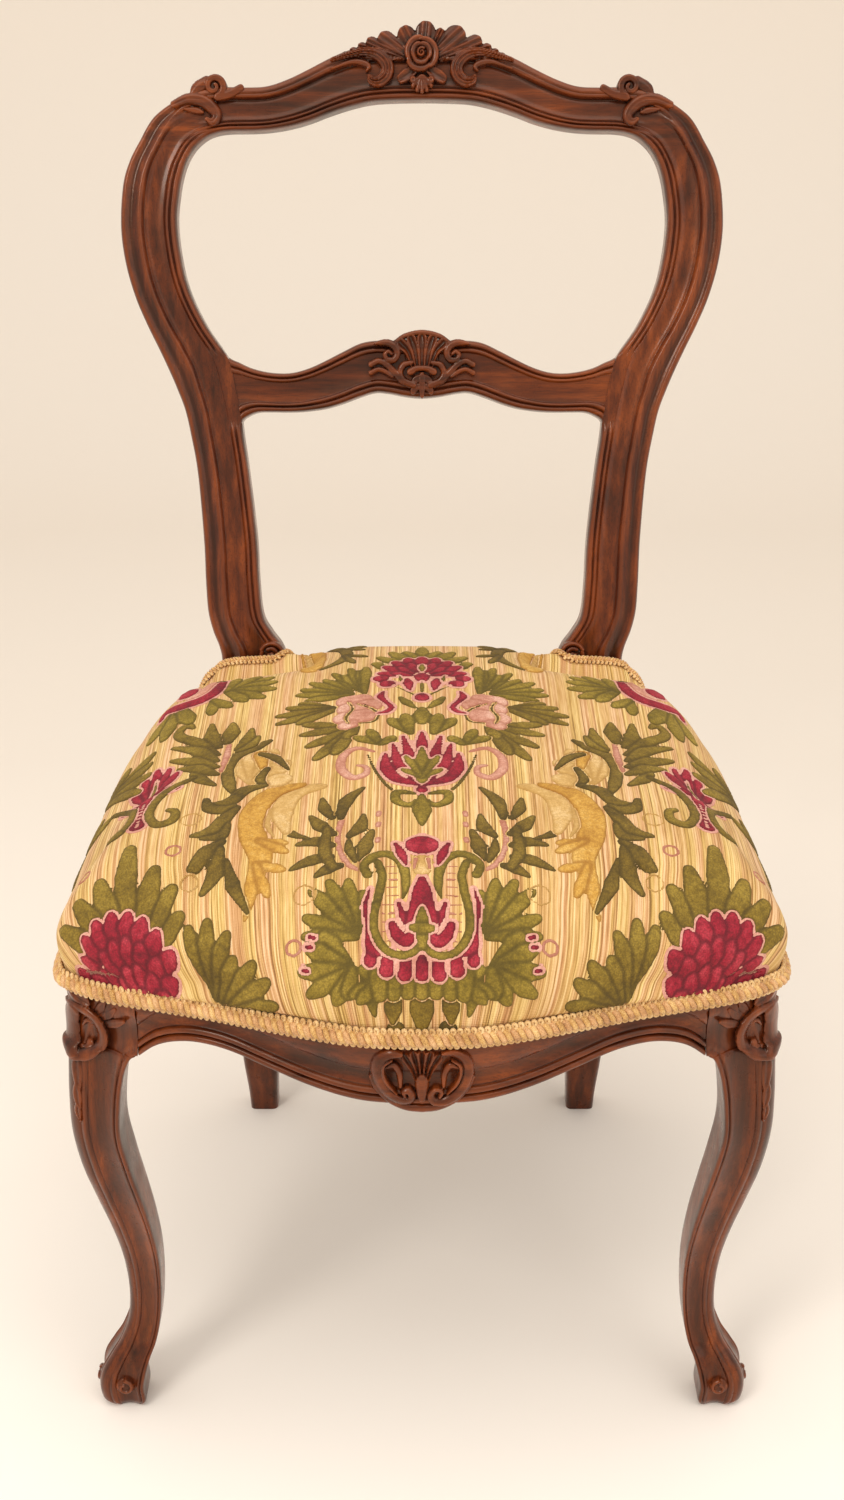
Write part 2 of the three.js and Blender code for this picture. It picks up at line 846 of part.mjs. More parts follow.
// The ear scrolls stand on the crest's shoulders, and C scrolls frame the rose.
function crestScrolls() {
  const ear = [earShares[0] * backHalf, railTop + earShares[1] * backRise];
  const earScroll = spiralPoints(ear, earRadius * 0.8, earRadius * 0.2, -0.3, 1.1, earRadius * 0.42, fieldDepth * 2.3, 8);
  const frame = [cartoucheHalf * 0.59, crestMiddle - roseRadius * 0.2];
  const frameScroll = spiralPoints(frame, roseRadius, roseRadius * 0.5, 1.85, 0.62, roseRadius * 0.3, fieldDepth * 2.6, 8);
  const leaf = [earShares[0] * backHalf + earRadius * 0.5, railTop + backRise * 0.884];
  const leafScroll = spiralPoints(leaf, earRadius * 1.1, earRadius * 0.5, 1.25, 0.55, earRadius * 0.42, fieldDepth * 2.2, 6);
  const right = [scrollOnBack(earScroll), scrollOnBack(frameScroll), scrollOnBack(leafScroll)];
  return [...right, ...right.map(mirrored)];
}

function crestRail() {
  const sectionAt = (t) => {
    const fromEnd = Math.min(t, 1 - t) * 2;
    return blendSections(postSection, crestSection, smooth((fromEnd - 0.06) / 0.22));
  };
  const bar = moulding(backCurve(acrossBack(crestTopShares)), backCurve(acrossBack(crestBottomShares)), 30, sectionAt);
  const below = beyondJoint(crestJoint, -1, -fit / 2);
  const body = joinAll([bar, crestLobes(), rose(), ...crestScrolls()]);
  return cutAll(body, [below, mirrored(below), ...crestDowelHoles, ...crestDowelHoles.map(mirrored)]);
}

// Mid rail

const midTopShares = [
  [0.69, 0.577],
  [0.653, 0.5595],
  [0.6185, 0.5525],
  [0.5775, 0.5447],
  [0.526, 0.5393],
  [0.474, 0.5373],
  [0.427, 0.539],
  [0.375, 0.5455],
  [0.319, 0.556],
  [0.263, 0.5675],
  [0.207, 0.578],
  [0.155, 0.5815],
  [0.108, 0.5805],
  [0.052, 0.581],
  [0, 0.581],
];
const midBottomShares = [
  [0.6175, 0.4515],
  [0.6133, 0.4705],
  [0.588, 0.479],
  [0.556, 0.4835],
  [0.513, 0.484],
  [0.47, 0.4838],
  [0.4245, 0.484],
  [0.379, 0.4855],
  [0.323, 0.489],
  [0.269, 0.4955],
  [0.213, 0.504],
  [0.1595, 0.5105],
  [0.116, 0.5095],
  [0.056, 0.505],
  [0, 0.503],
];
const shellHalf = 27;
const shellMiddleShare = 0.566;
const huskShare = 0.514;
const midShellShares = [
  [0.5, 0.5],
  [0.44, 0.5],
  [0.46, 0.6],
  [0.56, 0.8],
  [0.74, 0.5],
  [0.9, 0.9],
  [0.95, 1],
  [0.84, 0.4],
  [0.92, 1],
  [0.74, 0.4],
  [0.76, 1],
  [0.64, 0.4],
  [0.66, 1],
];

function midRail() {
  const bar = moulding(backCurve(acrossBack(midTopShares)), backCurve(acrossBack(midBottomShares)), 24, () => midSection);
  const middle = railTop + shellMiddleShare * backRise;
  const place = (u, v, w) => onBack(u, middle + v, w - fieldDepth * 0.4);
  const shell = carvedPlate(place, shellHalf, midShellShares, fieldDepth, fieldDepth * 2);
  const huskMiddle = railTop + huskShare * backRise;
  const huskSize = [shellHalf * 0.28, shellHalf * 0.42, fieldDepth];
  const husk = lump(onBack(0, huskMiddle, -fieldDepth), huskSize, backBasis(0, huskMiddle));
  const curlCentre = [shellHalf * 1.05, middle - shellHalf * 0.22];
  const curl = spiralPoints(curlCentre, shellHalf * 0.24, shellHalf * 0.08, 1.9, -0.9, shellHalf * 0.11, fieldDepth * 2.1, 7);
  const scrolls = [scrollOnBack(curl)];
  const body = joinAll([bar, shell, husk, ...scrolls, ...scrolls.map(mirrored)]);
  const outside = beyondJoint(midJoint, -1, -fit / 2);
  return cutAll(body, [outside, mirrored(outside), ...midDowelHoles, ...midDowelHoles.map(mirrored)]);
}

// Front legs: cabriole, in a section that carries a hollow on each show face.

const legSectionShares = [
  [-1, 0.84],
  [-0.9, 1],
  [-0.74, 0.95],
  [-0.3, 0.82],
  [0.1, 0.92],
  [0.25, 1],
  [0.7, 1],
  [1, 0.7],
  [1, 0.25],
  [0.92, 0.1],
  [0.82, -0.3],
  [0.95, -0.74],
  [1, -0.9],
  [0.84, -1],
  [-0.84, -1],
  [-1, -0.84],
];

// Height, inner and outer faces, front at the inner and outer edge, and back, in shares of the rail
// top, the seat's half width and the front reach.
const legShares = [
  [0, 0.888, 1.009, 0.69, 0.69, 0.585],
  [0.02, 0.882, 1.026, 0.704, 0.704, 0.578],
  [0.05, 0.885, 1.031, 0.706, 0.706, 0.574],
  [0.11, 0.862, 0.99, 0.684, 0.682, 0.566],
  [0.14, 0.842, 0.958, 0.662, 0.66, 0.56],
  [0.19, 0.825, 0.929, 0.65, 0.647, 0.551],
  [0.26, 0.814, 0.92, 0.654, 0.65, 0.552],
  [0.42, 0.821, 0.95, 0.699, 0.69, 0.574],
  [0.5, 0.837, 0.98, 0.731, 0.718, 0.594],
  [0.58, 0.856, 1.008, 0.762, 0.744, 0.612],
  [0.66, 0.872, 1.024, 0.785, 0.757, 0.622],
  [0.73, 0.865, 1.024, 0.795, 0.755, 0.624],
  [0.79, 0.848, 1.02, 0.797, 0.74, 0.612],
  [0.83, 0.824, 1.018, 0.804, 0.722, 0.6],
];

function legRing(z, inner, outer, frontInner, frontOuter, back) {
  return legSectionShares.map(([a, b]) => {
    const across = (a + 1) / 2;
    const x = blend(inner, outer, across);
    const front = blend(frontInner, frontOuter, across);
    return new THREE.Vector3(x, blend(back, front, (b + 1) / 2), z);
  });
}

const kneeLeafShares = [
  [0.912, 0.965, 0.735, 0.033],
  [0.868, 0.99, 0.735, 0.036],
  [0.81, 1.0, 0.742, 0.024],
  [0.75, 1.002, 0.745, 0.018],
];
const toeBossRadius = 5.4;

function frontLeg() {
  const rings = legShares.map(([height, inner, outer, frontInner, frontOuter, back]) =>
    legRing(
      height * railTop,
      inner * seatHalf,
      outer * seatHalf,
      -frontInner * frontReach,
      -frontOuter * frontReach,
      -back * frontReach,
    ),
  );
  const corner = planPoint(frontEnd);
  for (const z of [railTop * 0.865, railTop]) {
    rings.push(legRing(z, legBlockInner, seatHalf + arris, corner.y - arris, -frontReach * 0.7, legBlockBack));
  }
  const leaves = kneeLeafShares.map(([height, x, y, size]) =>
    lump(
      new THREE.Vector3(x * seatHalf, -y * frontReach, height * railTop),
      [size * seatHalf, size * seatHalf, size * seatHalf * 1.5],
      new THREE.Matrix4(),
    ),
  );
  const toeHeight = railTop * 0.052;
  const frontToe = new THREE.Vector3(seatHalf * 0.953, -frontReach * 0.7, toeHeight);
  const bosses = [
    lump(frontToe, [toeBossRadius, toeBossRadius * 0.7, toeBossRadius], new THREE.Matrix4()),
    lump(
      new THREE.Vector3(seatHalf * 1.022, -frontReach * 0.64, toeHeight),
      [toeBossRadius * 0.7, toeBossRadius, toeBossRadius],
      new THREE.Matrix4(),
    ),
  ];
  const leg = joinAll([loft(rings), ...leaves, ...bosses]);
  const above = box(0, seatWidth, -seatDepth, 0, railTop, overallHeight);
  return cutAll(leg, [above, upholsteryRebate, frontTenon(fit), sideTenon(fit)]);
}

// Seat rails

const apronShellHalf = 34;
const apronShellShares = [
  [0.64, 0.6],
  [0.66, 0.9],
  [0.62, 0.5],
  [0.74, 0.8],
  [0.86, 1],
  [0.84, 0.5],
  [0.94, 1],
  [0.9, 0.8],
  [0.92, 1],
  [0.76, 0.4],
  [0.72, 1],
  [0.62, 0.4],
  [0.66, 1],
];

// The carved shell hangs on the middle of the front rail.
function apronShell() {
  const face = planPoint(0).y;
  const middle = railTop - frontRailDrop + apronShellHalf * 0.36;
  const place = (u, v, w) => new THREE.Vector3(u, face - w, middle + v);
  return carvedPlate(place, apronShellHalf, apronShellShares, fieldDepth * 0.8, fieldDepth * 2);
}

// Rails are swept a little past their ends and then cut square where they meet the blocks.
const sweepOverrunShare = 0.04;

function frontRail() {
  const sweepEnd = frontEnd + sweepOverrunShare;
  const bar = rail(-sweepEnd, sweepEnd, 30, frontBottom);
  const body = bar.add(apronShell());
  const ends = box(legBlockInner - fit, seatWidth, -seatDepth, 0, 0, overallHeight);
  const trimmed = cutAll(body, [ends, mirrored(ends)]);
  const joined = joinAll([trimmed, frontTenon(0), mirrored(frontTenon(0))]);
  return cutAll(joined, [upholsteryRebate, webRebate]);
}

function sideRail() {
  const bar = rail(sideStart - sweepOverrunShare / 2, sideEnd + sweepOverrunShare / 2, 14, sideBottom);
  const frontCut = box(0, seatWidth, -seatDepth, legBlockBack + fit, 0, overallHeight);
  const backCut = box(0, seatWidth, postBlockFront - fit, seatDepth, 0, overallHeight);
  const joined = joinAll([cutAll(bar, [frontCut, backCut]), sideTenon(0), rearTenon(0)]);
  return cutAll(joined, [upholsteryRebate, webRebate]);
}

const backRailFront = backTenonY - railThickness * 0.45;
const backRailBack = backTenonY + railThickness * 0.45;

function backRail() {
  const end = postBlockInner - fit;
  const bar = box(-end, end, backRailFront, backRailBack, webLedgeHeight, railTop);
  const joined = joinAll([bar, backTenon(0), mirrored(backTenon(0))]);
  return joined.subtract(upholsteryRebate);
}

// Corner blocks and their screws

const blockTop = railTop - overrun;
const blockBottom = blockTop - cornerBlockHeight;

function insidePlan(t) {
  return planPoint(t, -railThickness - fit);
}

function frontBlockOutline() {
  const startT = planAt((p) => p.x > legBlockInner - cornerBlockReach, 0, 0.45);
  const innerEndT = planAt((p) => p.x > legBlockInner - fit, 0, 0.5, -railThickness - fit);
  const sideT = planAt((p) => p.y > legBlockBack + fit, 0.35, 0.9, -railThickness - fit);
  const farT = planAt((p) => p.y > legBlockBack + cornerBlockReach, 0.35, 0.9, -railThickness - fit);
  return [
    insidePlan(startT),
    insidePlan((startT + innerEndT) / 2),
    insidePlan(innerEndT),
    new THREE.Vector2(legBlockInner - fit, legBlockBack + fit),
    insidePlan(sideT),
    insidePlan(farT),
  ];
}

function rearBlockOutline() {
  const sideT = planAt((p) => p.y > postBlockFront - fit, 0.5, 0.95, -railThickness - fit);
  const nearT = planAt((p) => p.y > postBlockFront - cornerBlockReach, 0.5, 0.95, -railThickness - fit);
  return [
    new THREE.Vector2(postBlockInner - cornerBlockReach, backRailFront - fit),
    insidePlan(nearT),
    insidePlan((nearT + sideT) / 2),
    insidePlan(sideT),
    new THREE.Vector2(postBlockInner - fit, postBlockFront - fit),
    new THREE.Vector2(postBlockInner - fit, backRailFront - fit),
  ];
}

const screwSeat = screwHeadHeight + fit;

// A countersunk wood screw lying along a direction, its head at the start.
function screw(start, direction) {
  const head = rod(start, direction, screwHeadHeight, screwHeadRadius);
  const shank = rod(start, direction, screwLength, screwRadius);
  return head.add(shank);
}

// A screw's place on the block's long face, a share of the way from one edge to the other.
function screwPlace(near, far, share, direction) {
  const p = new THREE.Vector2().lerpVectors(near, far, share);
  const start = new THREE.Vector3(p.x, p.y, (blockTop + blockBottom) / 2);
  return start.addScaledVector(direction, fit);
}

const towardsFront = yAxis.clone().negate();
const frontOutline = frontBlockOutline();
const rearOutline = rearBlockOutline();
const frontNear = frontOutline.at(0);
const frontFar = frontOutline.at(-1);
const [rearNear, rearFar] = rearOutline;
const screwRailShare = 0.24;
const screwSideShare = 0.77;
const screwBackShare = (postBlockInner - screwEdge - rearNear.x) / (rearFar.x - rearNear.x);

// The screw into the back rail is let in until its point stops short of the rebate.
function backScrewPlace() {
  const start = screwPlace(rearNear, rearFar, screwBackShare, yAxis);
  start.y = backEdge - rebateDepth - overrun / 2 - screwLength;
  return start;
}

const screwPlaces = {
  front: [
    [screwPlace(frontNear, frontFar, screwRailShare, towardsFront), towardsFront],
    [screwPlace(frontNear, frontFar, screwSideShare, xAxis), xAxis],
  ],
  rear: [
    [backScrewPlace(), yAxis],
    [screwPlace(rearNear, rearFar, screwSideShare, xAxis), xAxis],
  ],
};

// The head is let into the block by boring a pocket as wide as the head.
function screwHole([start, direction]) {
  const mouth = start.clone().addScaledVector(direction, -screwLength);
  const pocket = rod(mouth, direction, screwLength + screwSeat, screwHeadRadius + fit);
  const shank = rod(start, direction, screwLength + fit * 2, screwRadius + fit);
  return pocket.add(shank);
}

const frontScrewHoles = screwPlaces.front.map(screwHole);
const rearScrewHoles = screwPlaces.rear.map(screwHole);
const rightScrewHoles = [...frontScrewHoles, ...rearScrewHoles];
const allScrewHoles = [...rightScrewHoles, ...rightScrewHoles.map(mirrored)];

// Upholstery: rings of the plan drawn in towards the crown.
// Each row holds how far the ring is drawn in, how far it climbs from the braid to the crown, and
// how far it rounds off from the plan to an oval about the crown.
const crownFrontShares = [
  [1, 0, 0],
  [1.016, 0.122, 0],
  [1.02, 0.257, 0],
  [1, 0.414, 0.05],
  [0.935, 0.583, 0.18],
  [0.8, 0.718, 0.4],
  [0.58, 0.837, 0.75],
  [0.3, 0.938, 1],
];
const crownRearShares = [
  [1, 0, 0],
  [1.012, 0.167, 0],
  [1.02, 0.369, 0.02],
  [1.005, 0.583, 0.12],
  [0.94, 0.758, 0.28],
  [0.81, 0.876, 0.5],
  [0.58, 0.955, 0.78],
  [0.3, 0.991, 1],
];
const wallTop = showWoodTop + gimpHeight;

function crownOval(p, out) {
  const run = new THREE.Vector2(p.x, p.y - crownBack).normalize();
  const depth = run.y < 0 ? frontReach + crownBack : backEdge - crownBack;
  const reach = 1 / Math.hypot(run.x / seatHalf, run.y / depth) + out;
  return new THREE.Vector2(run.x * reach, crownBack + run.y * reach);
}

// One dome of the seat: an upright wall on an offset of the plan, then rings that climb to a crown.
function domeRings(out, base, crown) {
  const outline = planRing(out);
  const wall = outline.map((p) => new THREE.Vector3(p.x, p.y, base));
  const climbing = crownFrontShares.map(([frontDraw, frontClimb, frontRound], r) => {
    const [rearDraw, rearClimb, rearRound] = crownRearShares[r];
    return outline.map((p) => {
      const rear = smooth((p.y + frontReach * 0.4) / (frontReach * 1.15));
      const draw = blend(frontDraw, rearDraw, rear);
      const height = blend(wallTop, crown, blend(frontClimb, rearClimb, rear));
      const edge = new THREE.Vector2(p.x, p.y).lerp(crownOval(p, out), blend(frontRound, rearRound, rear));
      return new THREE.Vector3(edge.x * draw, crownBack + (edge.y - crownBack) * draw, height);
    });
  });
  return [wall, ...climbing];
}

// A closed cap over rings, ending in one point on the crown.
function dome(rings, crown, floorRing) {
  const centre = new THREE.Vector3(0, crownBack, crown);
  const all = floorRing ? [floorRing, ...rings] : rings;
  const tip = rings[rings.length - 1].map((p) => new THREE.Vector3().lerpVectors(p, centre, 0.96));
  return loft([...all, tip]);
}

const coverBase = showWoodTop + fit;
const coverOut = fit - rebateDepth + coverThickness;

// The inner skin of the cover, and what it must clear, carried below its lower edge.
function domeBelow(out, crown) {
  const floor = planRing(out).map((p) => new THREE.Vector3(p.x, p.y, coverBase - overrun));
  return dome(domeRings(out, coverBase, crown), crown, floor);
}

function coverShell() {
  const outer = dome(domeRings(coverOut, coverBase, crownHeight), crownHeight);
  return outer.subtract(domeBelow(coverOut - coverThickness, crownHeight - coverThickness));
}

// The upholstery is notched round each post. The notch widens where the post's base scroll begins
// and follows the lean of the back.
const notchInner = backHalf * 0.474;
const scrollBottom = railTop + backRise * 0.06;
const notchTop = crownHeight + overrun;
const scrollStand = 4;

function leaningFront(z) {
  return backDepth(backHalf, z) - scrollStand;
}

function notchPart(inner, bottom, top, bottomFront, topFront, gap) {
  const profile = [
    [bottomFront - gap, bottom],
    [seatDepth, bottom],
    [seatDepth, top],
    [topFront - gap, top],
  ];
  const outer = postBlockInner + postBlockWidth + gap;
  return loft([inner - gap, outer].map((x) => profile.map(([y, z]) => new THREE.Vector3(x, y, z))));
}

function postNotch(gap) {
  const low = railTop - railHeight * 2;
  const middle = scrollBottom + gap;
  return joinAll([
    notchPart(postBlockInner, low, railTop + gap, postBlockFront, postBlockFront, gap),
    notchPart(postBlockInner, railTop, middle, leaningFront(railTop), leaningFront(middle), gap),
    notchPart(notchInner, scrollBottom, notchTop, leaningFront(scrollBottom), leaningFront(notchTop), gap),
  ]);
}

const notches = [postNotch(fit), mirrored(postNotch(fit))];

function cover() {
  return cutAll(coverShell(), notches);
}

// The hessian platform that the springs push up, tacked on the rail tops.
const platformOut = -railThickness * 0.4;
const platformShares = [
  [1, 0],
  [0.93, 0.03],
  [0.8, 0.72],
  [0.7, 1],
  [0.35, 1],
];

const platformSteps = 8;

function platformRings(lift) {
  return platformShares.map(([draw, climb]) =>
    planRing(platformOut, platformSteps).map(
      (p) => new THREE.Vector3(p.x * draw, p.y * draw, railTop + fit + lift + platformRise * climb),
    ),
  );
}

function platformBody(lift, floor) {
  const rings = platformRings(lift);
  const low = rings[0].map((p) => new THREE.Vector3(p.x, p.y, floor));
  return loft([low, ...rings]);
}

// Its tacked border keeps the full thickness; inside that it is a thin cloth.
const borderShare = 0.94;

function platform() {
  const solid = platformBody(platformThickness, railTop + fit);
  const rings = platformRings(0);
  const edge = rings[0].map((p) => new THREE.Vector3(p.x * borderShare, p.y * borderShare, railTop - overrun));
  return cutAll(solid.subtract(loft([edge, ...rings.slice(1)])), notches);
}

function stuffing() {
  const top = crownHeight - coverThickness - fit;
  const whole = dome(domeRings(coverOut - coverThickness - fit, coverBase, top), top);
  const below = box(-seatWidth, seatWidth, -seatDepth, seatDepth, 0, railTop + fit);
  return cutAll(whole, [below, platformBody(platformThickness + fit, 0), ...notches]);
}

// Webbing: straps woven over and under each other below the rails.

const crossStrapShares = [-0.45, 0, 0.42];
const lengthStrapShares = [-0.42, 0, 0.42];
const weave = webThickness / 2 + fit / 2;
const webLevel = webLedgeHeight - fit - webThickness / 2 - weave;
const crossingReach = webWidth / 2 + overrun;

// A strap of webbing between two ends. It is flat where it passes over or under each strap it crosses.
function strap(start, end, crossings, startsOver) {
  const run = new THREE.Vector2().subVectors(end, start).normalize();
  const side = new THREE.Vector2(-run.y, run.x);
  const stations = [[start, weave]];
  crossings.forEach((at, k) => {
    const level = (k % 2 === 0) === startsOver ? weave : -weave;
    stations.push([at.clone().addScaledVector(run, -crossingReach), level]);
    stations.push([at.clone().addScaledVector(run, crossingReach), level]);
  });
  stations.push([end, weave]);
  const corners = [
    [-1, -1],
    [1, -1],
    [1, 1],
    [-1, 1],
  ];
  const rings = stations.map(([p, level]) =>
    corners.map(([a, b]) => {
      const out = (a * webWidth) / 2;
      const z = webLevel + level + (b * webThickness) / 2;
      return new THREE.Vector3(p.x + side.x * out, p.y + side.y * out, z);
    }),
  );
  return loft(rings);
}

const ledgeInset = -webLedgeWidth - fit;
const crossYs = crossStrapShares.map((share) => share * frontReach);
const lengthXs = lengthStrapShares.map((share) => share * seatHalf);

function crossStrap(index) {
  const y = crossYs[index];
  const slack = webWidth / 2;
  const nearFace = planPoint(planAt((p) => p.y > y - slack, 0.38, 0.95, ledgeInset), ledgeInset).x;
  const farFace = planPoint(planAt((p) => p.y > y + slack, 0.38, 0.95, ledgeInset), ledgeInset).x;
  const end = Math.min(nearFace, farFace) - fit * 2;
  const crossings = lengthXs.map((x) => new THREE.Vector2(x, y));
  return strap(new THREE.Vector2(-end, y), new THREE.Vector2(end, y), crossings, index % 2 === 0);
}

function lengthStrap(index) {
  const x = lengthXs[index];
  const far = Math.abs(x) + webWidth / 2;
  const front = planPoint(planAt((p) => p.x > far, 0, 0.4, ledgeInset), ledgeInset).y + fit;
  const back = backRailBack - overrun;
  const crossings = crossYs.map((y) => new THREE.Vector2(x, y));
  return strap(new THREE.Vector2(x, front), new THREE.Vector2(x, back), crossings, index % 2 !== 0);
}

// Waisted coil springs stand on the crossings of the webbing under the platform.
const springBase = webLevel + weave + webThickness / 2 + fit + springWire / 2;
const springTop = railTop + platformRise - springWire / 2;
const springSteps = springTurns * 8;

function spring(x, y) {
  const count = springSteps;
  const points = Array.from({ length: count + 1 }, (_, i) => {
    const t = i / count;
    const waist = Math.sin(Math.PI * t);
    const radius = blend(springTopRadius, springWaistRadius, waist) - springWire / 2;
    const angle = 2 * Math.PI * springTurns * t;
    const rise = smooth((t * springTurns - 0.5) / (springTurns - 1)) * 0.25 + 0.75 * t;
    return new THREE.Vector3(
      x + radius * Math.cos(angle),
      y + radius * Math.sin(angle),
      blend(springBase, springTop, rise),
    );
  });
  const rings = points.map((p, i) => {
    const next = points[Math.min(i + 1, count)];
    const previous = points[Math.max(i - 1, 0)];
    const run = new THREE.Vector3().subVectors(next, previous).normalize();
    const out = new THREE.Vector3(p.x - x, p.y - y, 0).normalize();
    const up = new THREE.Vector3().crossVectors(run, out).normalize();
    const outward = new THREE.Vector3().crossVectors(up, run).normalize();
    return Array.from({ length: springSideCount }, (_, j) => {
      const angle = (2 * Math.PI * j) / springSideCount;
      return p
        .clone()
        .addScaledVector(outward, (Math.cos(angle) * springWire) / 2)
        .addScaledVector(up, (Math.sin(angle) * springWire) / 2);
    });
  });
  return loft(rings);
}

// A cloth that closes the underside inside the rails, notched round the leg and post blocks.
function bottomCloth() {
  const top = webLevel - weave - webThickness / 2 - fit;
  const bottom = top - bottomClothThickness;
  const underBackRail = box(-postBlockInner, postBlockInner, 0, backRailBack - fit, bottom, top);
  const sheet = prism(planRing(ledgeInset), bottom, top).add(underBackRail);
  const legs = box(legBlockInner - fit, seatWidth, -seatDepth, legBlockBack + fit, 0, railTop);
  const posts = box(postBlockInner - fit, seatWidth, postBlockFront - fit, seatDepth, 0, railTop);
  return cutAll(sheet, [legs, mirrored(legs), posts, mirrored(posts)]);
}

// Gimp: a braid along the lower edge of the cover, in one length round the front and sides.
const gimpOut = coverOut + fit;
const gimpBottom = showWoodTop + fit;

function braidRun(ts, sides) {
  const rings = ts.map((t, i) => {
    const side = sides[i];
    const at = (out, z) => {
      const p = planPoint(t, out);
      return new THREE.Vector3(side * p.x, p.y, z);
    };
    return [
      at(gimpOut, gimpBottom),
      at(gimpOut + gimpThickness * 0.7, gimpBottom),
      at(gimpOut + gimpThickness, gimpBottom + gimpHeight * 0.3),
      at(gimpOut + gimpThickness, gimpBottom + gimpHeight * 0.7),
      at(gimpOut + gimpThickness * 0.7, gimpBottom + gimpHeight),
      at(gimpOut, gimpBottom + gimpHeight),
    ];
  });
  return loft(rings);
}

function frontGimp() {
  const end = planAt((p) => p.y > postBlockFront, 0.5, 0.95, gimpOut + gimpThickness);
  const half = Math.ceil(end * planSteps);
  const ts = [];
  const sides = [];
  for (let i = -half; i <= half; i += 1) {
    ts.push(Math.abs(i) / planSteps);
    sides.push(i < 0 ? -1 : 1);
  }
  const behind = box(-seatWidth, seatWidth, postBlockFront - fit, seatDepth, 0, overallHeight);
  return braidRun(ts, sides).subtract(behind);
}

const backGimpSteps = 4;

function backGimp() {
  const reach = postBlockInner - fit;
  const half = backGimpSteps;
  const ts = [];
  const sides = [];
  for (let i = -half; i <= half; i += 1) {
    ts.push(1 - Math.abs(i) / planSteps);
    sides.push(i < 0 ? 1 : -1);
  }
  const ends = box(reach, seatWidth, 0, seatDepth, 0, overallHeight);
  return cutAll(braidRun(ts, sides), [ends, mirrored(ends)]);
}

// Gimp turned round the front and the inner side of each post where it leaves the seat.
const collarLowShare = 0.4;

function postGimp(sided) {
  const gap = fit * 2;
  const band = sided(postNotch(gap + collarWidth).subtract(postNotch(gap)));
  const outerTop = crownHeight + collarThickness + fit;
  const outer = dome(domeRings(coverOut + collarThickness + fit, coverBase, outerTop), outerTop);
  const draped = outer.subtract(domeBelow(coverOut + fit, crownHeight + fit));
  const low = blend(railTop, crownHeight, collarLowShare);
  const outside = postBlockInner + postBlockWidth + collarWidth;
  const keep = box(0, outside, 0, backEdge - collarWidth, low, overallHeight);
  return band.intersect(draped).intersect(sided(keep));
}

// The chair

const post = rearPost();
const leg = frontLeg();
const side = sideRail();
add("crest_rail", crestRail(), walnut);
add("mid_rail", midRail(), walnut);
add("rear_post_left", mirrored(post), walnut);
add("rear_post_right", post, walnut);
add("front_leg_left", mirrored(leg), walnut);
add("front_leg_right", leg, walnut);
add("front_rail", cutAll(frontRail(), allScrewHoles), walnut);
add("side_rail_left", mirrored(cutAll(side, rightScrewHoles)), walnut);
add("side_rail_right", cutAll(side, rightScrewHoles), walnut);
add("back_rail", cutAll(backRail(), allScrewHoles), walnutHidden);

const frontBlock = cutAll(prism(frontOutline, blockBottom, blockTop), frontScrewHoles);
const rearBlock = cutAll(prism(rearOutline, blockBottom, blockTop), rearScrewHoles);
add("corner_block_front_left", mirrored(frontBlock), beech);
add("corner_block_front_right", frontBlock, beech);
add("corner_block_rear_left", mirrored(rearBlock), beech);
add("corner_block_rear_right", rearBlock, beech);

for (const [place, screws] of Object.entries(screwPlaces)) {
  screws.forEach(([start, direction], i) => {
    const made = screw(start, direction);
    add(`corner_screw_${place}_right_${i + 1}`, made, steel);
    add(`corner_screw_${place}_left_${i + 1}`, mirrored(made), steel);
  });
}

crestDowels.forEach((dowel, i) => {
  add(`crest_dowel_right_${i + 1}`, dowel, beech);
  add(`crest_dowel_left_${i + 1}`, mirrored(dowel), beech);
});
midDowels.forEach((dowel, i) => {
  add(`mid_dowel_right_${i + 1}`, dowel, beech);
  add(`mid_dowel_left_${i + 1}`, mirrored(dowel), beech);
});

crossYs.forEach((_, i) => add(`web_strap_cross_${i + 1}`, crossStrap(i), jute));
lengthXs.forEach((_, i) => add(`web_strap_length_${i + 1}`, lengthStrap(i), jute));
const springPlaces = [
  [lengthXs[0], crossYs[0]],
  [lengthXs[2], crossYs[0]],
  [lengthXs[1], crossYs[1]],
  [lengthXs[0], crossYs[2]],
  [lengthXs[2], crossYs[2]],
];
springPlaces.forEach(([x, y], i) => add(`seat_spring_${i + 1}`, spring(x, y), steel));
add("spring_platform", platform(), jute);
add("seat_stuffing", stuffing(), horsehair);
add("seat_cover", cover(), velvet);
add("bottom_cloth", bottomCloth(), jute);
add("gimp_front", frontGimp(), braid);
add("gimp_back", backGimp(), braid);
add("gimp_post_left", postGimp(mirrored), braid);
add("gimp_post_right", postGimp((body) => body), braid);

const bounds = new THREE.Box3().setFromObject(chair);
const middleY = (bounds.min.y + bounds.max.y) / 2;
for (const piece of chair.children) piece.geometry.translate(0, -middleY, -bounds.min.z);

export default chair;
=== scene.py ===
"""A balloon back dining chair: polished walnut, carving, cut velvet and braid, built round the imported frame."""

import math

import bmesh
import bpy
import numpy as np
from bpy.props import FloatProperty, FloatVectorProperty, PointerProperty, StringProperty
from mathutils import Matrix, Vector
from mathutils.bvhtree import BVHTree


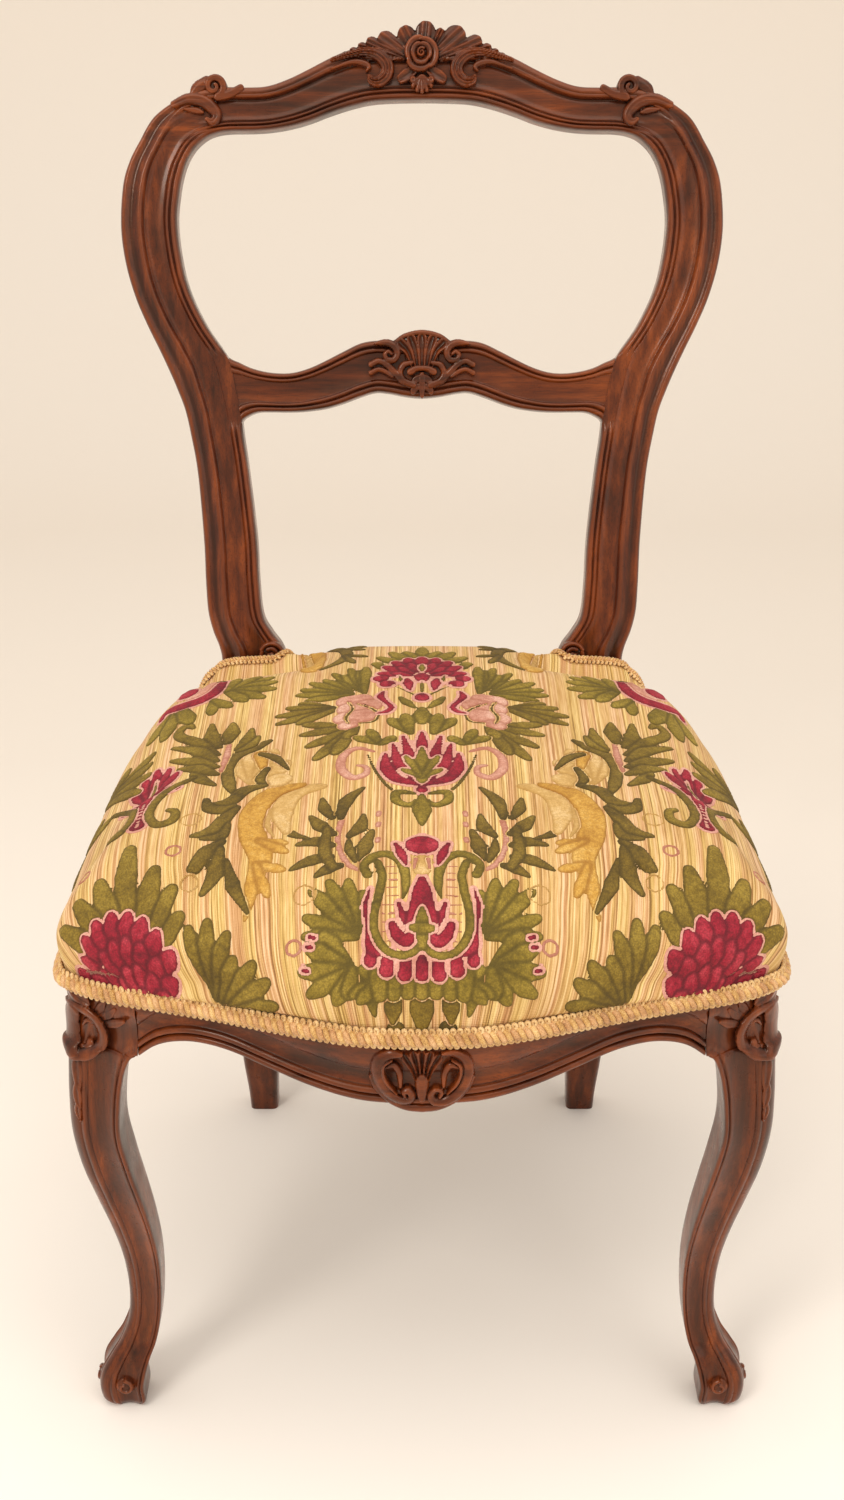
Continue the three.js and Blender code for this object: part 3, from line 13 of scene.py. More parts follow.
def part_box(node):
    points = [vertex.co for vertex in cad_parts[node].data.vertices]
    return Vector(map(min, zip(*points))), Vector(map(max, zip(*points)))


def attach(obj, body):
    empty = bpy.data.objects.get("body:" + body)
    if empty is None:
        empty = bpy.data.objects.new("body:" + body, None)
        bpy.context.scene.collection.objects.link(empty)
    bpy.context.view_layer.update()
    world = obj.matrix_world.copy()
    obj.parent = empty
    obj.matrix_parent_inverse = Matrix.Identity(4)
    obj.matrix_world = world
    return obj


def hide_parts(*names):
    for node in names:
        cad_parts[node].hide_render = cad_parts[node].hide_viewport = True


bl_info = {
    "name": "Balloon back dining chair",
    "version": (1, 0, 0),
    "blender": (4, 5, 0),
    "location": "3D View > Sidebar > Chair",
    "description": "Carved walnut, a sprung seat in cut velvet, and looped braid on the packed chair frame",
    "category": "Add Mesh",
}

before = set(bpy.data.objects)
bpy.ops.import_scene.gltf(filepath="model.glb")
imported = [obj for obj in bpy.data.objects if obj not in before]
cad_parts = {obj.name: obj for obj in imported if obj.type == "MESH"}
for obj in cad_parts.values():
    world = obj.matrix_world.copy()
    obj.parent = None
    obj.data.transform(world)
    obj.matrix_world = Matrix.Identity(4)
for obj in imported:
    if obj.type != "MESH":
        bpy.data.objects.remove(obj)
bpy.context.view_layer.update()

# The chair was set out in millimetres with +Y to the back, and with the seat's middle at Y = 0.
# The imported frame's origin is under the middle of the whole chair, this much further back.
MIDDLE_BACK = 34.8
RAIL_TOP = 385.0
BACK_RISE = 539.0
BACK_HALF = 232.0
SEAT_HALF = 232.0
FRONT_REACH = 252.0
BACK_REACH = 210.0
POST_THICKNESS = 27.0
RAIL_THICKNESS = 24.0
SHOW_WOOD_TOP = 362.0
REBATE = 4.0
CROWN = 485.0
CROWN_BACK = 60.0
BRAID_WIDTH = 14.0
FIT = 0.3
ROOT = "root"

# The room left for each post in the seat, and where the seat rails stop against posts and legs.
SEAT_CORNER_Y = 187.0
NOTCH_INNER = 132.0
NOTCH_INNER_ABOVE = 110.0
NOTCH_OUTER = 180.0
NOTCH_STEP = 417.0
NOTCH_GAP = 4.0


# Numbers and curves


def smooth(t):
    """Eases from 0 to 1 as t does."""
    t = np.clip(t, 0.0, 1.0)
    return t * t * (3 - 2 * t)


def spline(controls, t):
    """Points of an even Catmull-Rom spline through the controls, at shares t of its length in spans."""
    controls = np.asarray(controls, float)
    last = len(controls) - 1
    p = np.clip(t, 0, 1) * last
    i = np.minimum(p.astype(int), last - 1)
    w = (p - i)[:, None]
    p0, p1 = controls[np.maximum(i - 1, 0)], controls[i]
    p2, p3 = controls[i + 1], controls[np.minimum(i + 2, last)]
    v0, v1 = (p2 - p0) / 2, (p3 - p1) / 2
    return ((2 * p1 - 2 * p2 + v0 + v1) * w + (-3 * p1 + 3 * p2 - 2 * v0 - v1)) * w * w + v0 * w + p1


def stations(count, first=0.0, last=1.0):
    """Even places at the ends of so many steps."""
    return np.linspace(first, last, count + 1)


def back_depth(u, v):
    """How far back the back frame's front surface lies at half width u and height v."""
    climb = (v - RAIL_TOP) / BACK_RISE
    rake = 134.0 * climb * (0.55 + 0.29 * climb)
    bow = 12.0 * smooth((climb - 0.2) / 0.53) * (1 - np.minimum(1, (u / BACK_HALF) ** 2))
    return BACK_REACH - 28.5 + rake + bow


def post_front(z):
    """Where a post's front face stands at height z."""
    return float(back_depth(BACK_HALF, np.float64(z)))


def on_back(u, v, w):
    """Points at half width u and height v on the back frame, w proud of it towards the sitter."""
    step = BACK_RISE / 100
    angle = np.arctan2(back_depth(u, v + step) - back_depth(u, v - step), 2 * step)
    return np.stack([u + 0 * w, back_depth(u, v) - w * np.cos(angle), v + w * np.sin(angle)], axis=-1)


def across_back(shares):
    """A line's right half carried on to the left."""
    shares = np.asarray(shares, float)
    far = shares[-2::-1] * [-1, 1]
    return np.concatenate([shares, far])


def back_points(shares, t):
    """Places on the back frame, in mm, along a line of shares."""
    return spline(shares, t) * [BACK_HALF, BACK_RISE] + [0, RAIL_TOP]


# Outlines of the back in shares of its half width and of its rise above the seat rails.
POST_OUTER_SHARES = [
    (0.745, 0.008), (0.735, 0.065), (0.715, 0.105), (0.705, 0.125), (0.713, 0.145), (0.733, 0.169),
    (0.748, 0.1985), (0.7525, 0.241), (0.755, 0.306), (0.769, 0.399), (0.79, 0.456), (0.806, 0.488),
    (0.828, 0.514), (0.852, 0.539), (0.886, 0.571), (0.924, 0.605), (0.961, 0.644), (0.989, 0.69),
    (1, 0.738), (0.989, 0.791), (0.964, 0.824), (0.924, 0.8535), (0.898, 0.872),
]
POST_INNER_SHARES = [
    (0.58, 0.008), (0.575, 0.065), (0.515, 0.1), (0.485, 0.125), (0.492, 0.145), (0.526, 0.166),
    (0.556, 0.191), (0.5665, 0.2375), (0.572, 0.306), (0.594, 0.399), (0.6095, 0.45), (0.6178, 0.484),
    (0.6315, 0.515), (0.6465, 0.549), (0.672, 0.569), (0.727, 0.603), (0.777, 0.647), (0.803, 0.689),
    (0.8155, 0.742), (0.804, 0.785), (0.7885, 0.811), (0.774, 0.8255), (0.755, 0.842),
]
CREST_TOP_SHARES = across_back([
    (0.95, 0.828), (0.924, 0.8535), (0.888, 0.877), (0.845, 0.892), (0.789, 0.905), (0.724, 0.915),
    (0.647, 0.918), (0.578, 0.9175), (0.509, 0.919), (0.44, 0.928), (0.371, 0.941), (0.302, 0.955),
    (0.233, 0.966), (0.164, 0.971), (0.086, 0.973), (0, 0.973),
])
CREST_BOTTOM_SHARES = across_back([
    (0.796, 0.806), (0.774, 0.8255), (0.748, 0.841), (0.713, 0.853), (0.675, 0.859), (0.634, 0.861),
    (0.591, 0.8612), (0.547, 0.8615), (0.496, 0.863), (0.435, 0.867), (0.371, 0.874), (0.304, 0.884),
    (0.233, 0.893), (0.164, 0.899), (0.086, 0.901), (0, 0.9015),
])
MID_TOP_SHARES = across_back([
    (0.69, 0.577), (0.653, 0.5595), (0.6185, 0.5525), (0.5775, 0.5447), (0.526, 0.5393), (0.474, 0.5373),
    (0.427, 0.539), (0.375, 0.5455), (0.319, 0.556), (0.263, 0.5675), (0.207, 0.578), (0.155, 0.5815),
    (0.108, 0.5805), (0.052, 0.581), (0, 0.581),
])
MID_BOTTOM_SHARES = across_back([
    (0.6175, 0.4515), (0.6133, 0.4705), (0.588, 0.479), (0.556, 0.4835), (0.513, 0.484), (0.47, 0.4838),
    (0.4245, 0.484), (0.379, 0.4855), (0.323, 0.489), (0.269, 0.4955), (0.213, 0.504), (0.1595, 0.5105),
    (0.116, 0.5095), (0.056, 0.505), (0, 0.503),
])

# The seat frame's outer face from the middle of the front round to the middle of the back.
PLAN_SHARES = [
    (0, 1, 0), (0.16, 0.989, 0), (0.31, 0.952, 0), (0.45, 0.907, 0), (0.585, 0.862, 0), (0.72, 0.824, 0),
    (0.86, 0.784, 0), (0.968, 0.733, 0), (1.016, 0.672, 0), (1.021, 0.5, 0), (1.01, 0.22, 0), (0.985, 0, 0.08),
    (0.942, 0, 0.3), (0.893, 0, 0.52), (0.837, 0, 0.74), (0.782, 0, 0.9), (0.72, 0, 0.97), (0.6, 0, 1),
    (0.3, 0, 1.01), (0, 0, 1.012),
]
PLAN = np.array([(x * SEAT_HALF, b * BACK_REACH - f * FRONT_REACH) for x, f, b in PLAN_SHARES])


def plan_points(t, out=0.0):
    """Points of the plan at t from -1 (round the left) through 0 (front) to 1 (back), moved out square to it."""
    t = np.asarray(t, float)
    step = 1e-4
    a = spline(PLAN, np.abs(t) - step)
    b = spline(PLAN, np.abs(t) + step)
    run = (b - a) / np.linalg.norm(b - a, axis=1)[:, None]
    p = spline(PLAN, np.abs(t)) + np.stack([run[:, 1], -run[:, 0]], axis=1) * np.reshape(out, (-1, 1))
    p[:, 0] *= np.where(t < 0, -1, 1)
    return p


def plan_at(reached, low, high, out=0.0):
    """Where along the plan, between low and high, its point first meets a condition."""
    for _ in range(40):
        middle = (low + high) / 2
        if reached(plan_points([middle], out)[0]):
            high = middle
        else:
            low = middle
    return (low + high) / 2


# Meshes


def placed(points):
    """Setting-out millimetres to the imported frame's metres."""
    return (np.asarray(points, float).reshape(-1, 3) - [0, MIDDLE_BACK, 0]) / 1000


def linked(name, data):
    """A new object in the scene."""
    obj = bpy.data.objects.new(name, data)
    bpy.context.scene.collection.objects.link(obj)
    return obj


def new_object(name, shells, material):
    """One mesh object from shells of (points, faces, relief), each closed by itself."""
    points, faces, relief, base = [], [], [], 0
    for shell_points, shell_faces, shell_relief in shells:
        flat = placed(shell_points)
        points.append(flat)
        faces.extend([tuple(int(i) + base for i in face) for face in shell_faces])
        relief.append(np.broadcast_to(np.asarray(shell_relief, float).ravel(), (len(flat),)))
        base += len(flat)
    mesh = bpy.data.meshes.new(name)
    mesh.from_pydata(np.concatenate(points).tolist(), [], faces)
    attribute = mesh.attributes.new("relief", "FLOAT", "POINT")
    attribute.data.foreach_set("value", np.concatenate(relief))
    face_outward(mesh)
    mesh.shade_smooth()
    mesh.set_sharp_from_angle(angle=math.radians(50))
    mesh.materials.append(material)
    return linked(name, mesh)


def face_outward(mesh):
    """Turns every face of a closed mesh outward."""
    bm = bmesh.new()
    bm.from_mesh(mesh)
    bmesh.ops.recalc_face_normals(bm, faces=bm.faces)
    bm.to_mesh(mesh)
    bm.free()


def lofted(rings, relief=0.4):
    """A closed shell through rings of equal length, with its two ends capped."""
    rings = np.asarray(rings, float)
    count, size = rings.shape[:2]
    i = np.arange(count - 1)[:, None] * size
    j = np.arange(size)[None, :]
    k = (j + 1) % size
    quads = np.stack([i + j, i + k, i + size + k, i + size + j], axis=-1).reshape(-1, 4)
    faces = [tuple(q) for q in quads]
    faces.append(tuple(range(size))[::-1])
    faces.append(tuple((count - 1) * size + n for n in range(size)))
    relief = np.broadcast_to(relief, (count, size))
    return rings.reshape(-1, 3), faces, relief.ravel()


def mirrored(shell):
    """The same shell on the other side of the chair."""
    points, faces, relief = shell
    return np.asarray(points).reshape(-1, 3) * [-1, 1, 1], [tuple(f)[::-1] for f in faces], relief


# Moulded members of the back. A profile lists shares across the face, from its outer edge, and depths.
POST_PROFILE = np.array([
    (0, -7), (0.012, -4.9), (0.035, -3.2), (0.06, -2.5), (0.09, -2.4), (0.125, -3.2), (0.17, -3.8),
    (0.215, -3.4), (0.255, -2.2), (0.29, -1.1), (0.315, -0.3), (0.345, 0), (0.372, -0.35), (0.395, -1.4),
    (0.415, -2.7), (0.43, -3.3), (0.455, -3.25), (0.5, -3.7), (0.56, -4), (0.62, -4.05), (0.68, -3.85),
    (0.73, -3.4), (0.76, -3.1), (0.775, -3.6), (0.79, -3), (0.81, -2), (0.832, -1.7), (0.853, -2.2),
    (0.868, -3.4), (0.882, -3), (0.9, -2.3), (0.925, -2.1), (0.955, -2.7), (0.98, -4.2), (1, -7),
])
CREST_PROFILE = np.array([
    (0, -7), (0.012, -4), (0.035, -1.9), (0.07, -0.6), (0.11, -0.1), (0.15, 0), (0.178, -0.7), (0.2, -0.4),
    (0.235, -0.5), (0.262, -1.5), (0.285, -3.6), (0.305, -5.2), (0.335, -5.1), (0.39, -4.8), (0.46, -4.75),
    (0.54, -4.8), (0.62, -4.75), (0.69, -4.5), (0.735, -4.1), (0.765, -4), (0.785, -4.8), (0.8, -4.2),
    (0.82, -3.1), (0.84, -2.9), (0.862, -3.5), (0.877, -4.5), (0.892, -3.7), (0.91, -2.8), (0.93, -2.6),
    (0.952, -2.9), (0.968, -3.5), (0.98, -4.2), (0.988, -4.9), (0.995, -5.8), (1, -7),
])
MID_PROFILE = np.array([
    (0, -7), (0.015, -4.4), (0.035, -3), (0.06, -2.3), (0.09, -2.2), (0.115, -2.8), (0.13, -3.8), (0.148, -3),
    (0.17, -2.1), (0.2, -2), (0.225, -2.7), (0.245, -3.9), (0.27, -4.1), (0.32, -4.35), (0.38, -4.6),
    (0.44, -4.75), (0.5, -4.8), (0.56, -4.75), (0.62, -4.6), (0.68, -4.35), (0.73, -4.1), (0.755, -3.9),
    (0.775, -2.7), (0.8, -2), (0.83, -2.1), (0.852, -3), (0.87, -3.8), (0.885, -2.8), (0.91, -2.2),
    (0.94, -2.3), (0.965, -3), (0.98, -3.8), (0.985, -4.4), (0.993, -5.5), (1, -7),
])
FACE_STEPS = 84
EDGE_DEPTH = 7.0
BACK_ROUND = 6.0


def profile_rows(profile):
    """A profile's shares across and depths at even steps of its curve."""
    curve = spline(profile, stations(FACE_STEPS))
    return curve[:, 0], curve[:, 1]


def rim_rows():
    """The rest of a member's section: round its inner edge, back face and outer edge."""
    side = [(0.0, -EDGE_DEPTH - 4), (0.0, -EDGE_DEPTH - 9)]
    side += [(BACK_ROUND * (1 - math.cos(a)), -POST_THICKNESS + BACK_ROUND * (1 - math.sin(a)))
             for a in np.linspace(0, math.pi / 2, 5)]
    rows = [(1.0, inset, depth) for inset, depth in side] + [(0.5, 0.0, -POST_THICKNESS)]
    return rows + [(0.0, inset, depth) for inset, depth in side[::-1]]


def standing(depth):
    """How far each point of a section stands over those near it, from 0 in a cut to 1 on a ridge."""
    # These values set the walnut's painted shade in the cuts and its painted highlight on the ridges.
    near = np.convolve(np.pad(depth, 8, mode="edge"), np.ones(17) / 17, "valid")
    return np.clip(0.44 + (depth - near) * 0.3, 0, 1)


def member(outer, inner, profile_at):
    """A moulded member of the back between an outer and an inner line of points."""
    rings, relief = [], []
    rim = rim_rows()
    for i, (a, b) in enumerate(zip(outer, inner)):
        share, depth = profile_at(i)
        width = np.linalg.norm(b - a)
        run = (b - a) / width
        inward = [edge * width + inset * (1 if edge == 0 else -1) for edge, inset, _ in rim]
        uv = a + run * np.concatenate([share * width, inward])[:, None]
        rings.append(on_back(uv[:, 0], uv[:, 1], np.concatenate([depth, [d for _, _, d in rim]])))
        relief.append(np.concatenate([standing(depth), np.full(len(rim), 0.4)]))
    return lofted(rings, np.array(relief))


def blended(first, second, weight):
    """A profile part of the way from one to another."""
    return first[0] * (1 - weight) + second[0] * weight, first[1] * (1 - weight) + second[1] * weight


def post_shell():
    """The moulded right hand post, from inside the seat to its joint with the crest."""
    spans = len(POST_OUTER_SHARES) - 1
    t = stations(210, 0, (spans - 1) / spans)
    outer, inner = back_points(POST_OUTER_SHARES, t), back_points(POST_INNER_SHARES, t)
    rows = profile_rows(POST_PROFILE)
    flat = np.where(rows[0] > 0.76, -3.6, rows[1])
    place = t * spans

    def profile_at(i):
        """The inner bead stops where the mid rail joins."""
        weight = smooth((place[i] - 10) / 0.7) * smooth((14.3 - place[i]) / 0.8)
        return blended(rows, (rows[0], flat), weight)

    return member(outer, inner, profile_at)


REAR_LEG_SHARES = [
    (0, 0.945, 0.93, 1), (0.06, 0.945, 1, 0.82), (0.17, 0.95, 1.18, 0.48), (0.36, 0.965, 1.3, 0.18),
    (0.6, 0.985, 1.42, 0.05), (0.8, 1, 1.56, 0),
]
BLOCK_MIDDLE = (156.0, 206.0)
BLOCK_HALF = (24.0, 19.0)
REAR_FOOT_HALF = 13.5
REAR_FOOT_Y = 226.0


def rounded_square(x, y, z, half_x, half_y, corner):
    """A ring round a square with its corners cut back and eased."""
    steps = 6
    ring = []
    for quarter, (side_x, side_y) in enumerate(((1, 1), (-1, 1), (-1, -1), (1, -1))):
        for k in range(steps):
            a = math.radians(90 * quarter + 90 * k / (steps - 1))
            ring.append((x + half_x * (side_x * (1 - corner) + math.cos(a) * corner),
                         y + half_y * (side_y * (1 - corner) + math.sin(a) * corner), z))
    return ring


def rear_leg_shell():
    """The right hand rear leg, raked back to its foot, and the square block that the seat rails meet."""
    rings = []
    for height, x, size, kick in spline(REAR_LEG_SHARES, stations(40)):
        centre_y = BLOCK_MIDDLE[1] * (1 - kick) + REAR_FOOT_Y * kick
        half = REAR_FOOT_HALF * size
        rings.append(rounded_square(BLOCK_MIDDLE[0] * x, centre_y, height * RAIL_TOP, half, half, 0.4))
    for z, narrowing, lean in [(326, 1, 0), (389, 1, 0), (428, 0.82, 1)]:
        half_y = BLOCK_HALF[1] * (1 - lean) + POST_THICKNESS / 2 * 0.94 * lean
        lean_y = post_front(z) + POST_THICKNESS / 2
        centre_y = BLOCK_MIDDLE[1] * (1 - lean) + lean_y * lean
        outward = BLOCK_HALF[0] * (1 - narrowing) * 0.1
        rings.append(rounded_square(BLOCK_MIDDLE[0] - outward, centre_y, z, BLOCK_HALF[0] * narrowing, half_y, 0.12))
    return lofted(rings, 0.35)


def crest_shell():
    """The moulded crest rail, whose profile grows out of the posts' at each end."""
    t = stations(300, 1 / 30, 29 / 30)
    outer, inner = back_points(CREST_TOP_SHARES, t), back_points(CREST_BOTTOM_SHARES, t)
    post, crest = profile_rows(POST_PROFILE), profile_rows(CREST_PROFILE)

    def profile_at(i):
        """The posts' profile at the ends, and the crest's own further in."""
        from_end = min(t[i], 1 - t[i]) * 2
        return blended(post, crest, smooth((from_end - 0.1) / 0.22))

    return member(outer, inner, profile_at)


def mid_shell():
    """The moulded mid rail, from post to post."""
    t = stations(220, 1 / 28, 27 / 28)
    outer, inner = back_points(MID_TOP_SHARES, t), back_points(MID_BOTTOM_SHARES, t)
    rows = profile_rows(MID_PROFILE)
    return member(outer, inner, lambda i: rows)


# Carving is drawn as strokes on a fine grid, as a carver sets it in on the flat, and then laid on its surface.
AWAY = 20.0
NOWHERE = -99.0
BLUR_STEPS = 28


def neighbours(field):
    """The eight fields that lie one cell away, the four straight ones first."""
    padded = np.pad(field, 1, mode="edge")
    rows, columns = field.shape
    ways = ((0, 1), (2, 1), (1, 0), (1, 2), (0, 0), (2, 2), (0, 2), (2, 0))
    return [padded[i:i + rows, j:j + columns] for i, j in ways]


def grid_over(low, high, step):
    """The two coordinates of every place of a square grid."""
    return np.meshgrid(np.arange(low[0], high[0], step), np.arange(low[1], high[1], step), indexing="ij")


class Relief:
    """A grid over a patch of wood. Strokes raise it, and what no stroke touches is cut away."""

    def __init__(self, low, high, step):
        self.u, self.v = grid_over(low, high, step)
        self.height = np.full(self.u.shape, -AWAY)
        self.reach = np.full(self.u.shape, AWAY)
        self.drop = 0.9

    def add(self, distance, height, rim=0.6):
        """Adds a form with a signed distance, negative inside, and a height, eased down at its edge."""
        edge = np.clip(-distance / rim, 0, 1)
        eased = height - (1 - np.sqrt(1 - (1 - edge) ** 2)) * 1.1
        self.height = np.where(distance < 0, np.maximum(self.height, eased), self.height)
        self.reach = np.minimum(self.reach, distance)

    def along(self, path, widths):
        """Nearest place on a spline path: distance, distance to its left, and half width there."""
        path = np.asarray(path, float)
        t = stations(12 * (len(path) - 1))
        line = spline(path, t)
        half = spline(np.asarray(widths, float)[:, None], t)[:, 0]
        run = np.gradient(line, axis=0)
        run /= np.linalg.norm(run, axis=1)[:, None] + 1e-9
        best = np.full(self.u.shape, 1e9)
        side, width = np.zeros_like(best), np.ones_like(best)
        for k in range(len(line)):
            du, dv = self.u - line[k, 0], self.v - line[k, 1]
            d = np.hypot(du, dv) - half[k]
            closer = d < best
            best = np.where(closer, d, best)
            side = np.where(closer, -du * run[k, 1] + dv * run[k, 0], side)
            width = np.where(closer, half[k], width)
        return best, side, width

    def stroke(self, path, widths, top, flutes=0, hollow=0.0, groove=0.55, tilt=0.0):
        """A scroll or leaf: round in section, or fluted along its length, or hollowed, or raised at its right edge."""
        distance, side, width = self.along(path, widths)
        q = np.clip(np.abs(side) / width, 0, 1)
        body = top - 2.6 * np.clip(width / 3, 0.9, 1.7) * (1 - np.sqrt(np.clip(1 - q * q, 0, 1)))
        if hollow:
            body = top - hollow * (1 - smooth(q / 0.75)) - 1.4 * smooth((q - 0.82) / 0.18)
        if flutes:
            body = body - groove * (0.5 + 0.5 * np.cos(side / width * math.pi * flutes)) * (1 - 0.5 * q)
        body = body - tilt * side / width
        self.add(distance, body)

    def pair(self, path, widths, top, **section):
        """The same stroke on both sides of the middle."""
        for sign in (1, -1):
            self.stroke(np.asarray(path, float) * [sign, 1], widths, top, **section)

    def disc(self, centre, radius, top, dish=0.0):
        """A round boss, or a dished one."""
        r = np.hypot(self.u - centre[0], self.v - centre[1]) / radius
        dome = top - 2.2 * (1 - np.sqrt(np.clip(1 - r * r, 0, 1))) - dish * (1 - smooth(r / 0.7))
        self.add((r - 1) * radius, dome)

    def shell(self, place, back, depth, shade=None):
        """A closed shell over the raised part. place turns u, v and height into a point."""
        inside = self.reach < 0
        keep = inside[:-1, :-1] | inside[1:, :-1] | inside[:-1, 1:] | inside[1:, 1:]
        near = self.reach < 1.5
        keep &= near[:-1, :-1] & near[1:, :-1] & near[:-1, 1:] & near[1:, 1:]
        du, dv = np.gradient(self.reach, self.u[1, 0] - self.u[0, 0], self.v[0, 1] - self.v[0, 0])
        size = np.clip(du * du + dv * dv, 0.2, None)
        outside = self.reach > 0
        move = np.where(outside, self.reach, 0)
        u, v = self.u - du / size * move, self.v - dv / size * move
        filled = np.where(outside, NOWHERE, self.height)
        for _ in range(3):
            filled = np.where(filled < NOWHERE / 2, np.max(neighbours(filled), axis=0), filled)
        height = np.where(outside, filled - self.drop, self.height)
        # Where a cell lies below its blurred surroundings the walnut gets painted shade along with its patina, and
        # where it stands above them, a painted highlight along with its wear.
        blur = np.where(height < NOWHERE / 2, back, height)
        for _ in range(BLUR_STEPS):
            up, down, left, right = neighbours(blur)[:4]
            blur = (up + down + left + right) / 4
        relief = np.clip(0.4 + (height - blur) * 0.4, 0, 1) if shade is None else shade
        rows, columns = keep.shape
        index = np.arange((rows + 1) * (columns + 1)).reshape(rows + 1, columns + 1)
        a, b, c, d = index[:-1, :-1][keep], index[1:, :-1][keep], index[1:, 1:][keep], index[:-1, 1:][keep]
        front = np.stack([a, b, c, d], axis=1)
        shift = index.size
        edges = np.concatenate([front[:, [0, 1]], front[:, [1, 2]], front[:, [2, 3]], front[:, [3, 0]]])
        key = edges[:, 0] * index.size + edges[:, 1]
        twin = edges[:, 1] * index.size + edges[:, 0]
        rim = edges[~np.isin(key, twin)]
        walls = np.stack([rim[:, 1], rim[:, 0], rim[:, 0] + shift, rim[:, 1] + shift], axis=1)
        faces = np.concatenate([front, front[:, ::-1] + shift, walls])
        used = np.unique(faces)
        renumber = np.zeros(index.size * 2, int)
        renumber[used] = np.arange(len(used))
        self.spot = used % shift
        level = np.where(used < shift, height.ravel()[self.spot], back - depth)
        points = place(u.ravel()[self.spot], v.ravel()[self.spot], level)
        # The shell's walls and back take a low value, so the materials paint them in shade.
        shown = np.where(used < shift, relief.ravel()[self.spot], 0.15)
        return points, renumber[faces].tolist(), shown


def arc(centre, radius, first, last, count, end_radius):
    """Points round a spiral from one radius to another, in degrees."""
    a = np.radians(np.linspace(first, last, count))
    r = np.linspace(radius, end_radius, count)
    return np.stack([centre[0] + r * np.cos(a), centre[1] + r * np.sin(a)], axis=1)


# How deep a carving's back lies under the ground it stands on.
BEDDED = 9.0
CREST_MIDDLE = 893.8
CREST_GROUND = -4.6
ROSE = (-0.5, 7.6)
# The lobes of the crest's shell: middle, top and half width of each.
SHELL_LOBES = [
    (-59.5, 9.6, 2.8), (-53, 12.6, 3.2), (-46.2, 16, 3.6), (-38.6, 20, 4.6), (-27.5, 23.9, 6.9),
    (-11.9, 27.4, 7.2), (2.7, 30.4, 7.8), (13.8, 25.6, 3.8), (25.4, 27.8, 8.6), (40.6, 21.4, 6),
    (50, 15.4, 4), (56.5, 11.8, 3), (62, 8.9, 2.6),
]


def crest_cartouche():
    """A rose in front of a ribbed shell, between two fluted C scrolls that flow out of the rail's roll."""
    relief = Relief((-74, -34), (74, 34), 0.55)
    for u, v, half in SHELL_LOBES:
        root, top = np.array([u * 0.36, 3 + v * 0.12]), np.array([u * 0.98, v - half])
        relief.stroke([root, root * 0.5 + top * 0.5, top], [half * 0.6, half * 0.85, half], 1.2, flutes=3, groove=1.5)
    relief.pair([(68, 3.4), (55, 6.9), (43, 8.9), (33, 6.8), (26.8, 0.4), (27.2, -6.4), (32.4, -11), (38, -11),
                 (40, -8.2)],
                [1.8, 2.6, 3.5, 4.8, 5.4, 5.2, 4.4, 3.2, 1.6], 3.0, flutes=4, groove=1.3)
    relief.pair([(68, -2.4), (54, 2), (45.5, 1.6), (40.4, -1), (42, -4)], [1.2, 2, 2.4, 2, 1], 1.6)
    relief.pair([(5, -3), (11, -6.6), (15.4, -9.2)], [3, 4.6, 3.6], 1.4, hollow=1.6)
    for u, v in ((-6.6, -14.2), (-3.5, -17), (0, -18), (3.5, -17), (6.6, -14.2)):
        relief.stroke([(u * 0.2, -8), (u * 0.7, v * 0.7 - 2), (u, v)], [1.2, 2, 1.8], 2.8)
    for u in (-6.8, 6.8):
        relief.disc((u, -10.6), 2.7, 3.6, dish=1.4)
    rose_petals(relief)
    return relief.shell(lambda u, v, w: on_back(u, CREST_MIDDLE + v, w), CREST_GROUND, BEDDED)


def rose_petals(relief):
    """An open rose: three broad outer petals, three that wrap the heart, and a bud wound in a spiral."""
    relief.disc(ROSE, 12.4, 1.4)
    outer, inner = ((-66, 96), (84, 214), (200, 306)), ((-40, 110), (92, 226), (204, 330))
    swell = np.array([0.35, 0.75, 0.95, 1, 1, 1, 0.9, 0.7, 0.3])
    for radius, half, top, sweeps in ((10.2, 3.7, 4.0, outer), (6, 2.7, 5.4, inner)):
        for first, last in sweeps:
            path = arc(ROSE, radius, first, last, len(swell), radius * 0.88)
            relief.stroke(path, half * swell, top, tilt=1.5)
    relief.disc(ROSE, 4.2, 4.4)
    relief.stroke(arc(ROSE, 3.2, 60, 560, 20, 0.5), np.linspace(1.2, 0.8, 20), 6.8)


EAR = np.array([158.0, 879.5])


def crest_ears():
    """At each shoulder the upper roll winds into an eye, and the post's roll ends in a leaf hook."""
    relief = Relief(EAR - [24, 30], EAR + [34, 15], 0.5)
    eye = arc(EAR, 8, 250, -220, 20, 1.6)
    lead = EAR + [(-20, -1.5), (-12, -5.5)]
    relief.stroke(np.concatenate([lead, eye]), np.concatenate([[2.8, 3.2], np.linspace(3, 1.5, 20)]), 1.6, flutes=1)
    relief.disc(EAR, 7.5, -1.4)
    relief.stroke(EAR + [(6, 3), (12.5, -1), (17, -6)], [4.4, 4.6, 1.4], 0.4)
    hook = [(30, -12.5), (20, -9), (10, -9.5), (2.5, -14), (-1.5, -20), (1.5, -24.5), (5.5, -23)]
    relief.stroke(EAR + hook, [3, 4.4, 5, 5, 4.2, 3.2, 1.8], 1.8, flutes=2)
    relief.stroke(EAR + [(22, -15.5), (14, -16.5), (9, -18)], [1.2, 2.6, 1.2], 0)
    return relief.shell(on_back, CREST_GROUND, BEDDED)


MID_MIDDLE = 690.0
MID_GROUND = -4.8


